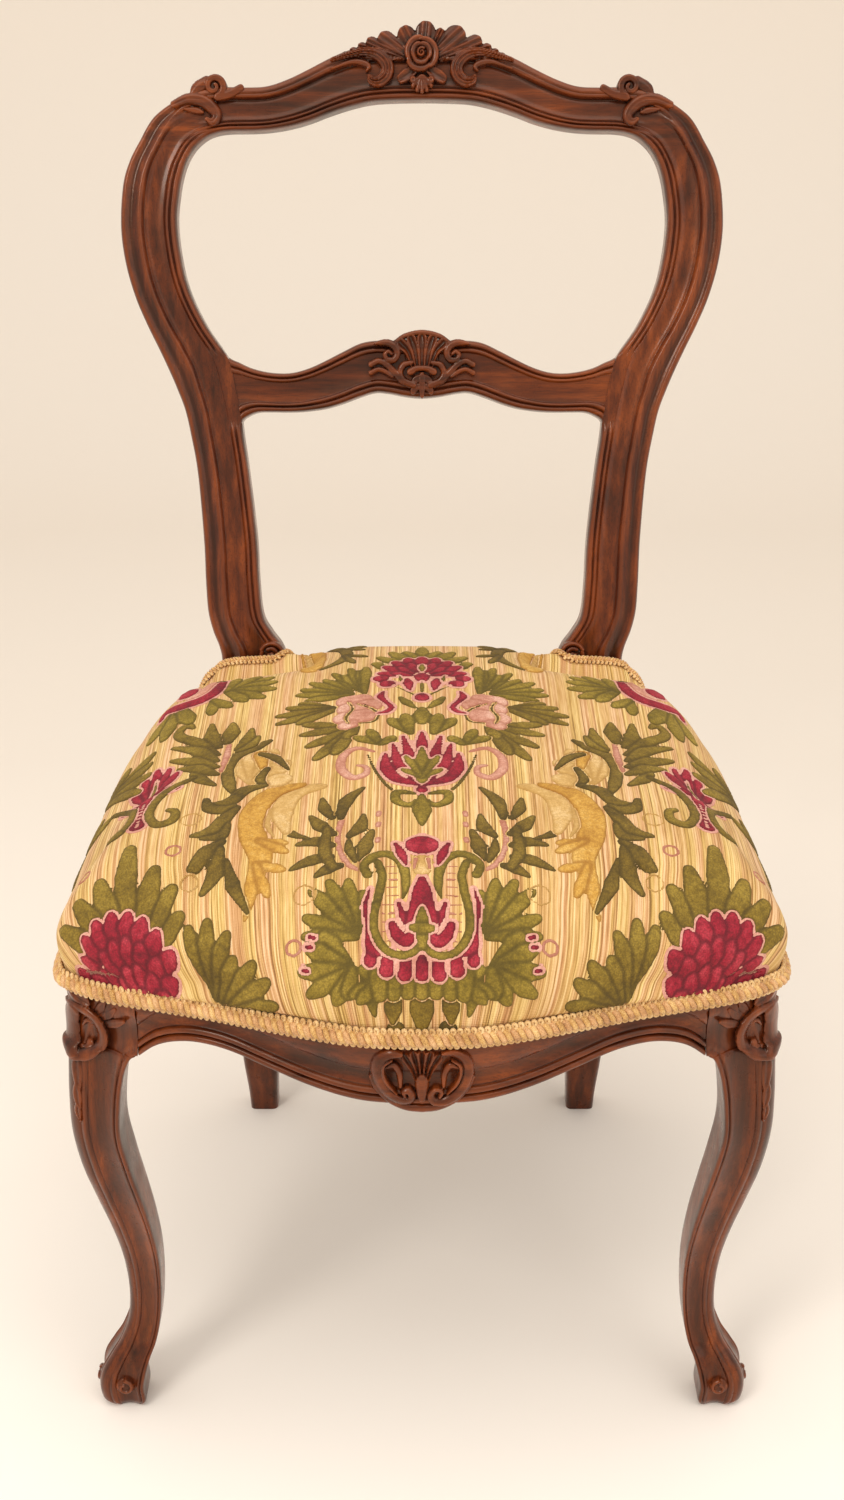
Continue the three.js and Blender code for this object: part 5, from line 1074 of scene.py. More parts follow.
class Pattern:
    """Regions of pile by colour. A later form lies over those before it, with a fine line of ground round it."""

    def __init__(self, step):
        self.step = step
        self.x, self.y = grid_over(PILE_LOW, PILE_HIGH, step)
        self.regions = {}
        self.depth = np.full(self.x.shape, AWAY)
        self.tint = np.full(self.x.shape, 0.5)

    def form(self, colour, path, widths):
        """A petal, leaf, stem or curl: a spline path with a half width at each of its points."""
        path = np.asarray(path, float)
        widths = np.broadcast_to(np.asarray(widths, float), len(path))
        reach = widths.max() + 4
        first = ((path.min(axis=0) - reach - PILE_LOW) / self.step).astype(int).clip(0)
        last = ((path.max(axis=0) + reach - PILE_LOW) / self.step).astype(int).clip(0) + 1
        window = (slice(first[0], last[0]), slice(first[1], last[1]))
        t = stations(8 * (len(path) - 1))
        line = spline(path, t)
        half = np.interp(t, stations(len(path) - 1), widths)
        away = np.hypot(self.x[window][..., None] - line[:, 0], self.y[window][..., None] - line[:, 1]) - half
        share = t[away.argmin(axis=-1)]
        away = away.min(axis=-1)
        own = self.regions.setdefault(colour, np.full(self.x.shape, AWAY))
        for region in self.regions.values():
            if region is not own:
                region[window] = np.maximum(region[window], PILE_LINE - away)
        own[window] = np.minimum(own[window], away)
        self.depth[window] = np.where(away < 0, -away, np.minimum(self.depth[window], away))
        self.tint[window] = np.where(away < 0, share, self.tint[window])

    def petals(self, colour, base, tips, width):
        """Fingers that spread from one base, fullest past their middle."""
        base = np.asarray(base, float)
        widths = [width * 0.5, width * 0.8, width * 1.06, width * 0.6]
        for tip in np.asarray(tips, float):
            self.form(colour, [base, base * 0.65 + tip * 0.35, base * 0.25 + tip * 0.75, tip], widths)

    def leaves(self, colour, *rows):
        """Several leaves of one colour, each given by its path and half widths."""
        for path, widths in rows:
            self.form(colour, path, np.array(widths) * LEAF_FULL)

    def fan(self, colour, centre, inner, outer, angles, width):
        """Petals round a centre, between two ellipses given by their half width and half height."""
        for a in np.radians(angles):
            way = np.array([math.cos(a), math.sin(a)])
            low, high = centre + way * inner, centre + way * outer
            self.form(colour, [low, low * 0.4 + high * 0.6, high], [width * 0.55, width, width * 0.55])

    def ring(self, colour, centre, radius, width):
        """A round eyelet."""
        self.form(colour, np.asarray(centre, float) + np.array(RING) * radius, width)


def draw_peony(p):
    """The full flower at the crown, its crown of leaves, its bud, and the leaves and shells beside it."""
    p.petals("olive", (0, 20), [(0, 79), (12, 66), (23, 65), (32, 52)], 6)
    p.form("olive", [(30, 28), (34, 36)], [5, 5])
    p.fan("crimson", (0, 6), (18, 24), (31, 44), (10, 30, 50, 70, 90), 6.4)
    p.fan("crimson", (0, 6), (9, 12), (21, 31), (14, 40, 66), 4.8)
    for centre in ((30, 4), (25, -6)):
        p.form("crimson", [centre, (centre[0] + 1, centre[1])], 6)
    p.form("olive", [(0, 33), (0, 26), (0, 19)], [1.6, 3.2, 1.6])
    p.form("olive", [(17, 9), (15.5, 2), (14, -6)], [1, 1.7, 0.9])
    p.form("crimson", [(0, 12), (0, 6), (0, 1)], [3, 6.6, 5])
    p.form("crimson", [(11, 2), (10, -6), (9, -19)], [2, 4.6, 1.6])
    p.form("olive", [(0, -2), (0, -13), (0, -26)], [0.9, 1.8, 1])
    p.form("olive", [(21, -9), (14, -17), (6, -27)], [0.6, 1, 1.2])
    p.form("crimson", [(0, -30), (0, -33)], [5, 6])
    p.petals("olive", (42, -19), [(66, 17), (58, 12), (54, 25), (46, 20), (42, 27)], 4.6)
    p.petals("olive", (50, -22), [(62, 0), (72, 6), (82, 3), (88, -7), (91, -15), (84, -25)], 4.6)
    p.petals("leaf", (60, -42), [(88, -29), (97, -34), (104, -45), (103, -57), (88, -60)], 5)
    p.petals("leaf", (46, -75), [(83, -64), (84, -80), (79, -99), (73, -118), (60, -112), (52, -90)], 5.4)
    for path, width in (([(44, -30), (54, -32)], 9), ([(38, -42), (52, -45)], 10),
                        ([(40, -58), (54, -60)], 10), ([(50, -70), (54, -72)], 6)):
        p.form("rose", path, width)
    p.form("leaf", [(53, -33), (50, -45), (54, -58), (52, -69)], [0.7, 1.1, 1.2, 0.6])
    p.form("leaf", [(47, -37), (36, -47), (31, -58), (34, -68), (44, -70)], [0.7, 1.1, 1.2, 1.1, 0.7])
    p.form("crimson", [(28, -20), (30, -28), (26, -38), (22, -47), (25, -54), (31, -56)],
           [1.5, 3.6, 2.4, 2.6, 2.8, 1.6])
    p.form("olive", [(16, -31), (11, -40), (5, -49)], [1.6, 4.2, 1.4])
    p.form("olive", [(0, -50), (0, -60), (0, -72)], [2.6, 6.6, 3.6])
    p.petals("olive", (8, -88), [(22, -67), (12, -61)], 5.6)
    p.petals("olive", (28, -103), [(46, -91), (37, -82), (20, -94)], 4.6)


def draw_lotus(p):
    """The open flower in front of the peony, cupped by a bracket, with its dot, drop leaves and pink curls."""
    p.form("leaf", [(37, -118), (32, -138), (24, -158), (16, -170)], [1, 1.5, 1.6, 1.4])
    p.form("crimson", [(3, -158), (17, -151), (24, -136), (25, -117)], [3, 5, 5.4, 1.6])
    p.form("crimson", [(4, -150), (15, -132), (20, -104)], [4, 5.4, 1.6])
    p.form("crimson", [(3, -140), (9, -118), (13, -93)], [4, 4.8, 1.4])
    p.form("crimson", [(0, -130), (0, -106), (0, -87)], [4, 5, 1.4])
    p.form("olive", [(0, -109), (0, -126), (0, -142), (0, -155)], [1.4, 5.4, 7.4, 3])
    p.petals("olive", (0, -150), [(13, -139), (11, -122)], 3.4)
    p.form("crimson", [(0, -164), (0, -167)], 4)
    p.form("olive", [(4, -170), (16, -168), (17, -178), (9, -184), (4, -178)], [1.4, 3.6, 3.8, 2.8, 1.4])
    p.form("olive", [(0, -172), (0, -190), (0, -207)], [2, 6.8, 1.4])
    p.form("rose", [(33, -113), (45, -107), (54, -117), (55, -134), (47, -147), (38, -143), (38, -134), (44, -131)],
           [1.4, 2.6, 3.4, 3.8, 3.6, 2.8, 2.2, 1.4])
    for y in (-192, -204, -221):
        p.form("rose", [(28, y), (28.5, y - 3)], 2)


def draw_lyre(p):
    """The lyre shaped frame near the front, its flame, its lattice and the leaves that hang to the braid."""
    p.form("dark", [(19, -366), (19, -372)], [7, 8])
    p.form("leaf", [(0, -336), (0, -352), (0, -369)], [8, 9, 2])
    p.form("leaf", [(19, -338), (20, -350), (21, -361)], [6, 6.4, 1.6])
    p.form("olive", [(35, -326), (34, -342), (33, -354)], [5, 4.6, 1.6])
    p.petals("olive", (26, -329), [(46, -338), (42, -343), (38, -322)], 4.6)
    for x in (0, 9.5, 19, 28):
        p.form("olive", [(x, -327), (x, -340)], [6, 4.8])
    for x, y, r in ((0, -327, 4.7), (11, -327, 4.9), (22.5, -324, 5.2), (32.5, -317.5, 4.6)):
        p.form("crimson", [(x * 0.94, y + 9), (x, y)], [r * 0.8, r])
    p.form("crimson", [(32, -269), (35, -281), (33.5, -297), (33, -308), (27, -314)], [0.9, 2.1, 1.8, 3.1, 2])
    for y in np.arange(-250, -309, -6.2):
        p.form("rose", [(24.5, y), (15, y)], 0.75)
    for x in (16.2, 19.8):
        p.form("rose", [(x, -247), (x + 1.2, -309)], 0.6)
    p.form("olive",
           [(34, -257), (36.4, -248), (31, -240), (23, -237.5), (15, -243), (11, -254), (10, -267), (12, -277)],
           [3.4, 3.2, 3.6, 3.4, 3.5, 3.6, 3, 0.9])
    p.form("olive", [(28, -246), (25, -258), (26.5, -272), (29.5, -286), (29.5, -299), (24, -310), (14.5, -315),
                     (5, -313), (0, -307)],
           [3, 3.1, 3, 3, 3, 3, 2.9, 2.8, 3])
    p.form("crimson", [(14.5, -280), (12, -289), (9, -297)], [1.3, 2.9, 2])
    p.form("crimson", [(0, -259), (0, -272), (4, -290), (8, -299)], [1.4, 6.4, 6, 2.6])
    p.form("crimson", [(18.5, -295), (15.5, -302), (10, -306), (5.5, -302)], [2.8, 4.4, 4.6, 3])
    p.form("olive", [(0, -284), (0, -294), (0, -309)], [1.4, 5, 3.4])
    p.form("olive", [(1, -298), (6, -297.5)], [4, 3])
    p.form("crimson", [(17, -227), (13, -238), (10, -249)], [1.5, 3.8, 1.2])
    p.form("crimson", [(0, -229), (3, -229)], [10, 8.4])
    p.form("cream", [(0, -247), (0, -253)], [8, 6])
    p.form("rose", [(4, -243), (5, -252)], [1.6, 1])


def draw_sprays(p):
    """Leaf sprays and scrolls between the middle and the sides."""
    p.petals("olive", (41, -302), [(36, -272), (46, -262), (58, -261), (69, -266), (73, -284), (74, -296)], 5)
    p.petals("olive", (44, -322), [(62, -298), (72, -304), (78, -318), (75, -333), (58, -341), (48, -338)], 6)
    for spot in ((73, -303), (77, -317), (71, -297)):
        p.form("crimson", [spot, (spot[0] - 3, spot[1] - 1)], 1.8)
    p.form("rose", [(44, -170), (52, -198), (54, -222), (48, -244), (40, -252)], [1.4, 2.6, 2.2, 2.4, 1.6])
    p.leaves(
        "dark",
        ([(53, -196), (50, -177), (39, -161)], [2, 4, 1.2]), ([(59, -196), (64, -184), (66, -172)], [1.6, 3.6, 1.2]),
        ([(57, -214), (66, -204), (73, -192)], [2, 4.2, 1.2]), ([(58, -226), (68, -221), (80, -223)], [2.4, 4, 1.4]),
        ([(58, -238), (70, -240), (83, -247)], [2.4, 4, 1.2]), ([(52, -247), (60, -250), (67, -255)], [2.4, 3.4, 1.2]),
        ([(47, -217), (40, -208), (38, -194)], [1.8, 4, 1.2]), ([(38, -243), (36, -228), (32, -212)], [1.6, 4.2, 1.4]),
        ([(47, -222), (46, -232), (42, -244)], [1.4, 2.8, 1.2]),
        ([(61, -208), (62, -232), (56, -248)], [2.4, 3.4, 2.4]),
        ([(92, -195), (85, -210), (73, -217)], [1, 2.8, 1]))
    p.form("cream", [(66, -156), (86, -162), (92, -185), (88, -208)], [3, 9, 8, 3])
    p.form("gold", [(80, -152), (100, -160), (111, -182), (110, -208), (103, -234), (108, -256), (114, -277)],
           [3, 7.5, 9.5, 9.5, 8, 5.6, 1.4])
    p.petals("gold", (106, -215), [(88, -220), (87, -229)], 4)
    p.petals("gold", (106, -238), [(88, -246), (98, -263)], 4)
    p.form("cream", [(100, -180), (101, -198), (96, -212)], [1.4, 2.4, 1])
    p.petals("cream", (112, -148), [(128, -112), (118, -100), (104, -102), (94, -120), (92, -142)], 8)
    p.form("gold", [(112, -104), (109, -124)], [6, 3])
    p.form("gold", [(94, 146), (88, 104), (86, 70), (84, 34)], [8, 11, 11, 9])
    p.form("cream", [(96, 136), (92, 100), (90, 66), (87, 44)], [2, 3, 3.6, 1.6])
    p.form("dark", [(78, 146), (70, 104), (61, 82), (58, 62), (64, 44), (77, 29)], [5, 5, 5, 5.4, 4.4, 1.6])
    p.petals("dark", (60, 62), [(43, 57), (52, 41)], 3.6)
    p.petals("dark", (62, 86), [(45, 90), (46, 78)], 4)


def draw_stems(p):
    """The waved stem, the acanthus fan, and the small flower with its curled brackets at the side."""
    p.leaves(
        "dark",
        ([(107, -83), (117, -91), (130, -101), (134, -120), (131, -142), (126, -157)], [1.6, 4.4, 4.4, 3.6, 3.8, 1.4]),
        ([(112, -103), (101, -112), (91, -130)], [2, 3, 1]), ([(106, -126), (110, -140), (105, -149)], [2, 3, 1.2]),
        ([(105, -149), (119, -153), (128, -166), (140, -168)], [1.4, 4, 4.2, 2]),
        ([(145, -161), (142, -172), (133, -176), (124, -172)], [2, 3.8, 3.8, 1.6]),
        ([(122, -174), (131, -188), (138, -200), (151, -203)], [1.6, 4.4, 4.4, 1.4]),
        ([(127, -193), (131, -206), (144, -207)], [1.4, 3.6, 1.4]),
        ([(129, -212), (139, -221), (147, -232), (152, -234)], [1.8, 5, 3.6, 1]),
        ([(130, -218), (133, -236), (142, -252)], [1.6, 5, 1.8]),
        ([(126, -229), (121, -250), (112, -272)], [1.2, 4, 1.2]))
    p.form("rose", [(139, -122), (137, -98), (137, -72)], [2, 3.2, 1.6])
    p.leaves(
        "leaf",
        ([(138, -76), (137, -62), (137, -48)], [2.4, 5.2, 1.6]),
        ([(143, -82), (151, -64), (153, -44)], [1.6, 4.8, 1.4]),
        ([(143, -94), (160, -70), (174, -56), (178, -46), (172, -38), (167, -44)], [1.6, 4.2, 3.6, 3.2, 3.2, 1.6]),
        ([(143, -104), (158, -84), (180, -68)], [1.8, 4.6, 1.6]),
        ([(142, -114), (160, -98), (179, -87)], [1.8, 4.8, 1.6]),
        ([(141, -126), (156, -112), (172, -103)], [1.8, 4.8, 1.6]),
        ([(141, -142), (152, -130), (160, -118)], [1.4, 4, 1.6]),
        ([(131, -90), (124, -76), (122, -60)], [1.6, 4.4, 1.4]),
        ([(130, -94), (120, -86), (116, -73)], [1.4, 3.4, 1.2]))
    p.form("crimson", [(190, -182), (190, -160), (190, -138)], [6.4, 5.4, 6])
    p.fan("crimson", (190, -136), (6, 6), (22, 42), (0, 38, 64, 90, 116, 142, 180), 6)
    p.form("olive", [(190, -140), (190, -122), (190, -104)], [1, 2.4, 0.8])
    p.form("olive", [(190, -183), (190, -150)], [0.7, 0.6])
    curl = [(32, -126), (16, -137), (8, -154), (7, -172), (14, -185), (24, -182), (25, -172), (20, -168)]
    for side in (-1, 1):
        p.form("leaf", np.array(curl) * [side, 1] + [190, 0], [3, 4.4, 4, 3.8, 4, 4.2, 3.4, 2.6])
    for centre, radius in (((162, -216), 5), ((226, -216), 5), ((153, -184), 7), ((151, -243), 6), ((74, -268), 7),
                           ((82, -302), 5)):
        p.ring("rose" if radius == 5 else "cream", centre, radius, 1.1 if radius == 5 else 0.8)


def draw_corners(p):
    """The great flower cut by the front corner, its leaves, and the flower and leaves beside the post."""
    p.petals("leaf", (198, -300),
             [(158, -266), (163, -246), (174, -231), (192, -208), (212, -231), (228, -241), (243, -254)], 8)
    p.form("crimson", [(205, -318), (222, -308), (250, -286)], [6, 8, 8])
    for inner, outer, angles in (((32, 48), (44, 66), range(14, 162, 15)), ((20, 31), (32, 49), range(7, 170, 19)),
                                 ((8, 12), (20, 32), range(0, 175, 27)), ((0, 0), (8, 14), (30, 90, 150))):
        p.fan("crimson", (205, -322), inner, outer, angles, 7)
    p.petals("leaf", (146, -322), [(152, -275), (139, -273), (127, -284)], 6)
    p.petals("leaf", (146, -334), [(125, -301), (112, -307), (105, -320), (104, -336), (118, -343)], 6.6)
    p.form("dark", [(137, -342), (120, -349), (104, -353)], [1.4, 3.4, 1.4])
    p.form("dark", [(200, -316), (188, -319), (176, -321)], [1.4, 2.6, 1.2])
    p.form("rose", [(176, -325), (160, -330), (146, -336)], [1.6, 3, 1.4])
    p.petals("olive", (182, -2), [(204, -36), (190, -46), (171, -33)], 7)
    p.petals("olive", (156, -4), [(155, -27), (142, -20)], 5)
    p.petals("olive", (147, 6), [(114, 22), (111, 12), (111, 0), (118, -12), (131, -14), (124, 28), (140, 30)], 5.4)
    p.form("crimson", [(151, 30), (155, 10), (166, -1), (182, -2), (196, 3), (198, -8)], [4, 6, 6.4, 6.4, 5, 3])
    p.form("rose", [(160, 32), (166, 14), (176, 8)], [4, 5, 3])
    p.form("crimson", [(182, 32), (178, 20)], [6, 9])
    p.form("dark", [(150, 30), (162, 44), (178, 42)], [1.6, 2, 1.4])
    p.petals("leaf", (240, -92), [(198, -62), (199, -76), (198, -92), (205, -108), (222, -60)], 6.4)
    p.petals("leaf", (248, -150), [(226, -128), (236, -118)], 5)
    p.form("dark", [(246, -20), (250, -60), (256, -110), (252, -160), (244, -205)], [4, 5, 5, 5, 2])
    p.form("leaf", [(238, 100), (236, 84), (242, 66)], [5, 7, 3])
    p.form("crimson", [(222, 102), (224, 80), (230, 60)], [3, 2.6, 1.4])


def draw_pattern(cover, step):
    """The whole pattern, without what falls off the seat or into the posts' notches."""
    pattern = Pattern(step)
    for part in (draw_sprays, draw_stems, draw_corners, draw_peony, draw_lotus, draw_lyre):
        part(pattern)
    here, _, on = cover.place(pattern.x, pattern.y)
    pattern.off = ~on | in_notch(here, 1.0)
    return pattern


def both_halves(field):
    """A field of the half that is drawn, with its mirror image."""
    return np.concatenate([field[:0:-1], field])


def pile_relief(pattern, region, height, drop):
    """A relief of one region of the pattern, both halves, at its height."""
    reach = (len(pattern.x) - 1) * pattern.step
    relief = Relief((-reach, PILE_LOW[1]), (reach + pattern.step / 2, PILE_HIGH[1]), pattern.step)
    relief.reach = both_halves(np.where(pattern.off, AWAY, region))
    relief.height = both_halves(height)
    relief.drop = drop
    return relief


def in_notch(points, grow):
    """Where a point of the seat lies in the room left for a post, or within a little of it."""
    x, y, z = np.abs(points[..., 0]), points[..., 1], points[..., 2]
    inner = np.where(z > NOTCH_STEP, NOTCH_INNER_ABOVE, NOTCH_INNER) - grow
    front = np.where(z > RAIL_TOP, back_depth(BACK_HALF, z) - NOTCH_GAP, SEAT_CORNER_Y) - grow
    return (x > inner) & (x < NOTCH_OUTER + grow) & (y > front)


# The pad's underside: share of the way out, share of the platform's rise, and lift.
PLATFORM_FLOOR = [(1, 0, 1.6), (0.93, 0.03, 1.6), (0.8, 0.72, 1.6), (0.7, 1, 1.6), (0.35, 1, 1.6)]
PLATFORM_RISE = 44.0


def pad_floor():
    """Rings of the pad's underside, from inside the cover's edge over the rail tops and the platform."""
    around = even_outline(COVER_OUT - 3, PAD_ROUND)
    rings = [np.column_stack([around, np.full(PAD_ROUND, z)]) for z in (COVER_BASE, RAIL_TOP + 1)]
    inner = even_outline(-RAIL_THICKNESS * 0.4, PAD_ROUND)
    for draw, climb, lift in PLATFORM_FLOOR:
        z = RAIL_TOP + 0.9 + lift + PLATFORM_RISE * climb
        rings.append(np.column_stack([inner * draw, np.full(PAD_ROUND, z)]))
    return np.array(rings)


# Materials


def linear(hex_colour):
    """sRGB hex to linear colour."""
    channels = [int(hex_colour[i:i + 2], 16) / 255 for i in (1, 3, 5)]
    return tuple(c / 12.92 if c <= 0.04045 else ((c + 0.055) / 1.055) ** 2.4 for c in channels) + (1.0,)


def feed(tree, sockets, values):
    """Sets or links input sockets, by name or by number."""
    for key, value in values.items():
        if isinstance(value, bpy.types.NodeSocket):
            tree.links.new(value, sockets[key])
        else:
            sockets[key].default_value = value


def add_node(tree, kind, values=None, **settings):
    """Adds a node, sets its own settings, and sets or links its inputs."""
    made = tree.nodes.new(kind)
    for name, value in settings.items():
        setattr(made, name, value)
    feed(tree, made.inputs, values or {})
    return made


def maths(tree, operation, first, second=0.0):
    """The result of one operation on one or two values."""
    return add_node(tree, "ShaderNodeMath", {0: first, 1: second}, operation=operation).outputs[0]


def colour_ramp(tree, factor, stops):
    """A colour that follows a value through stops of place and colour."""
    ramp = add_node(tree, "ShaderNodeValToRGB", {"Fac": factor})
    elements = ramp.color_ramp.elements
    while len(elements) < len(stops):
        elements.new(0.5)
    for element, (place, colour) in zip(elements, stops):
        element.position = place
        element.color = linear(colour)
    return ramp.outputs["Color"]


def span(tree, value, low, high, to_low=0.0, to_high=1.0):
    """Spreads a value from one range to another, and holds it there."""
    made = add_node(tree, "ShaderNodeMapRange", {"Value": value, "From Min": low, "From Max": high,
                                                 "To Min": to_low, "To Max": to_high})
    return made.outputs["Result"]


def mix_colour(tree, factor, first, second):
    """A colour between two others."""
    return add_node(tree, "ShaderNodeMix", {0: factor, 6: first, 7: second}, data_type="RGBA").outputs[2]


def noise(tree, vector, scale, detail, roughness=0.5):
    """Soft noise, about 0.5."""
    values = {"Vector": vector, "Scale": scale, "Detail": detail, "Roughness": roughness}
    return add_node(tree, "ShaderNodeTexNoise", values).outputs["Fac"]


def new_material(name):
    """An empty material, its tree and its shader."""
    material = bpy.data.materials.new(name)
    material.use_nodes = True
    tree = material.node_tree
    tree.nodes.clear()
    shader = add_node(tree, "ShaderNodeBsdfPrincipled")
    add_node(tree, "ShaderNodeOutputMaterial", {"Surface": shader.outputs["BSDF"]})
    return material, tree, shader


def object_mapping(tree, scale=(1, 1, 1)):
    """Object coordinates, stretched along one axis for grain."""
    place = add_node(tree, "ShaderNodeTexCoord")
    return add_node(tree, "ShaderNodeMapping", {"Vector": place.outputs["Object"], "Scale": scale}).outputs["Vector"]


def cloth_mapping(tree, scale=(1, 1, 1)):
    """Places on the flat cloth, in metres."""
    place = add_node(tree, "ShaderNodeUVMap", uv_map="cloth")
    return add_node(tree, "ShaderNodeMapping", {"Vector": place.outputs["UV"], "Scale": scale}).outputs["Vector"]


def value_of(tree, name):
    """A piece's own attribute."""
    return add_node(tree, "ShaderNodeAttribute", attribute_name=name).outputs["Fac"]


def ribs(tree, vector, scale, distortion, axis):
    """Ribs of a weave, across one axis."""
    values = {"Vector": vector, "Scale": scale, "Distortion": distortion, "Detail": 1.0}
    return add_node(tree, "ShaderNodeTexWave", values, bands_direction=axis).outputs["Fac"]


def bump(tree, height, distance, strength, under=None):
    """A surface normal pushed by a height, over another bump if one is given."""
    values = {"Height": height, "Distance": distance, "Strength": strength}
    if under is not None:
        values["Normal"] = under
    return add_node(tree, "ShaderNodeBump", values).outputs["Normal"]


GRAIN = {"X": (0.05, 1, 1), "Y": (1, 0.05, 1), "Z": (1, 1, 0.05)}


def walnut(name, axis, dark, mid, light, polished=True):
    """Old walnut. Long grain with dark pores. Polished wood also has wax patina with painted shade in its cuts, rubbed
    ridges with a painted highlight, and a gloss.
    """
    material, tree, shader = new_material(name)
    along = object_mapping(tree, GRAIN[axis])
    figure = noise(tree, along, 130.0, 5.0, 0.6)
    pores = noise(tree, along, 1500.0, 3.0, 0.6)
    tone = noise(tree, object_mapping(tree), 9.0, 3.0)
    streaks = maths(tree, "ADD", figure, span(tree, tone, 0.3, 0.7, -0.12, 0.12))
    colour = colour_ramp(tree, streaks, [(0.28, dark), (0.5, mid), (0.74, light)])
    pore_dark = span(tree, pores, 0.3, 0.5, 0.55, 0.0)
    colour = mix_colour(tree, pore_dark, colour, linear("#1c0a07"))
    smears = noise(tree, object_mapping(tree), 60.0, 4.0)
    rough = span(tree, smears, 0.3, 0.7, 0.24, 0.4) if polished else span(tree, smears, 0.3, 0.7, 0.5, 0.7)
    if polished:
        proud = value_of(tree, "relief")
        # Wax patina and painted shade: the wood goes towards near black where the relief value is low, in cuts, hollows
        # and the sides of carvings.
        patina_and_painted_shade = span(tree, proud, 0.0, 0.36, 0.9, 0.0)
        colour = mix_colour(tree, patina_and_painted_shade, colour, linear("#1d0a06"))
        # Wear and a painted highlight: the ridges, where the relief value is high, are lightened towards orange-brown.
        wear_and_painted_highlight = span(tree, proud, 0.56, 0.95, 0.0, 0.5)
        colour = mix_colour(tree, wear_and_painted_highlight, colour, linear("#8a431f"))
    dents = bump(tree, noise(tree, object_mapping(tree), 220.0, 3.0), 0.0004, 0.35)
    grain = bump(tree, pores, 0.00012, 0.5, dents)
    feed(tree, shader.inputs, {
        "Base Color": colour, "Roughness": rough, "Normal": grain, "Specular IOR Level": 0.35,
        "Specular Tint": linear("#ffc79c"), "Coat Weight": 0.45 if polished else 0.0, "Coat Roughness": 0.14,
        "Coat IOR": 1.4,
    })
    return material


def beech(name):
    """Plain beech of the glued blocks: pale, close grained, unpolished."""
    material, tree, shader = new_material(name)
    along = object_mapping(tree, GRAIN["X"])
    grain = noise(tree, along, 300.0, 4.0, 0.6)
    fleck = noise(tree, along, 1800.0, 2.0)
    colour = colour_ramp(tree, grain, [(0.3, "#8a5c38"), (0.5, "#a87648"), (0.72, "#bd8e5e")])
    colour = mix_colour(tree, span(tree, fleck, 0.3, 0.45, 0.5, 0.0), colour, linear("#6d4426"))
    feed(tree, shader.inputs, {"Base Color": colour, "Roughness": 0.62, "Normal": bump(tree, fleck, 0.0002, 0.4)})
    return material


def old_steel(name):
    """Iron wire and screws dulled with age, with brown specks of rust."""
    material, tree, shader = new_material(name)
    place = object_mapping(tree)
    specks = noise(tree, place, 700.0, 4.0, 0.65)
    rust = span(tree, specks, 0.55, 0.7)
    colour = mix_colour(tree, rust, linear("#6f6a64"), linear("#5a3320"))
    metal = span(tree, specks, 0.55, 0.7, 1.0, 0.1)
    rough = span(tree, specks, 0.3, 0.7, 0.35, 0.75)
    pits = bump(tree, specks, 0.0001, 0.5)
    feed(tree, shader.inputs, {"Base Color": colour, "Metallic": metal, "Roughness": rough, "Normal": pits})
    return material


def striped_ground(name):
    """The flat ground of the cover: fine warp stripes of cream, gold and dusty rose under a weft rib."""
    material, tree, shader = new_material(name)
    warp = noise(tree, cloth_mapping(tree, (1, 0.0015, 1)), 620.0, 3.0, 0.75)
    bands = noise(tree, cloth_mapping(tree, (1, 0.003, 1)), 95.0, 2.0, 0.6)
    slubs = noise(tree, cloth_mapping(tree, (1, 0.05, 1)), 900.0, 2.0, 0.6)
    mixed = maths(tree, "ADD", span(tree, warp, 0.3, 0.7, 0.1, 0.9), span(tree, slubs, 0.3, 0.7, -0.1, 0.1))
    cool = colour_ramp(tree, mixed, [(0.14, "#7a5a28"), (0.34, "#b08944"), (0.5, "#d3ac63"), (0.7, "#ecce8c")])
    warm = colour_ramp(tree, mixed, [(0.14, "#85582d"), (0.34, "#b88450"), (0.5, "#d1a06d"), (0.7, "#e8c294")])
    colour = mix_colour(tree, span(tree, bands, 0.42, 0.58), cool, warm)
    soil = noise(tree, cloth_mapping(tree), 14.0, 4.0)
    colour = mix_colour(tree, span(tree, soil, 0.4, 0.7, 0.0, 0.25), colour, linear("#a8793e"))
    rib = ribs(tree, cloth_mapping(tree), 160.0, 0.4, "Y")
    woven = maths(tree, "ADD", warp, span(tree, rib, 0.0, 1.0, 0.0, 0.25))
    feed(tree, shader.inputs, {
        "Base Color": colour, "Roughness": 0.7, "Specular IOR Level": 0.3, "Sheen Weight": 0.05, "Sheen Roughness": 0.5,
        "Normal": bump(tree, woven, 0.0006, 0.7),
    })
    return material


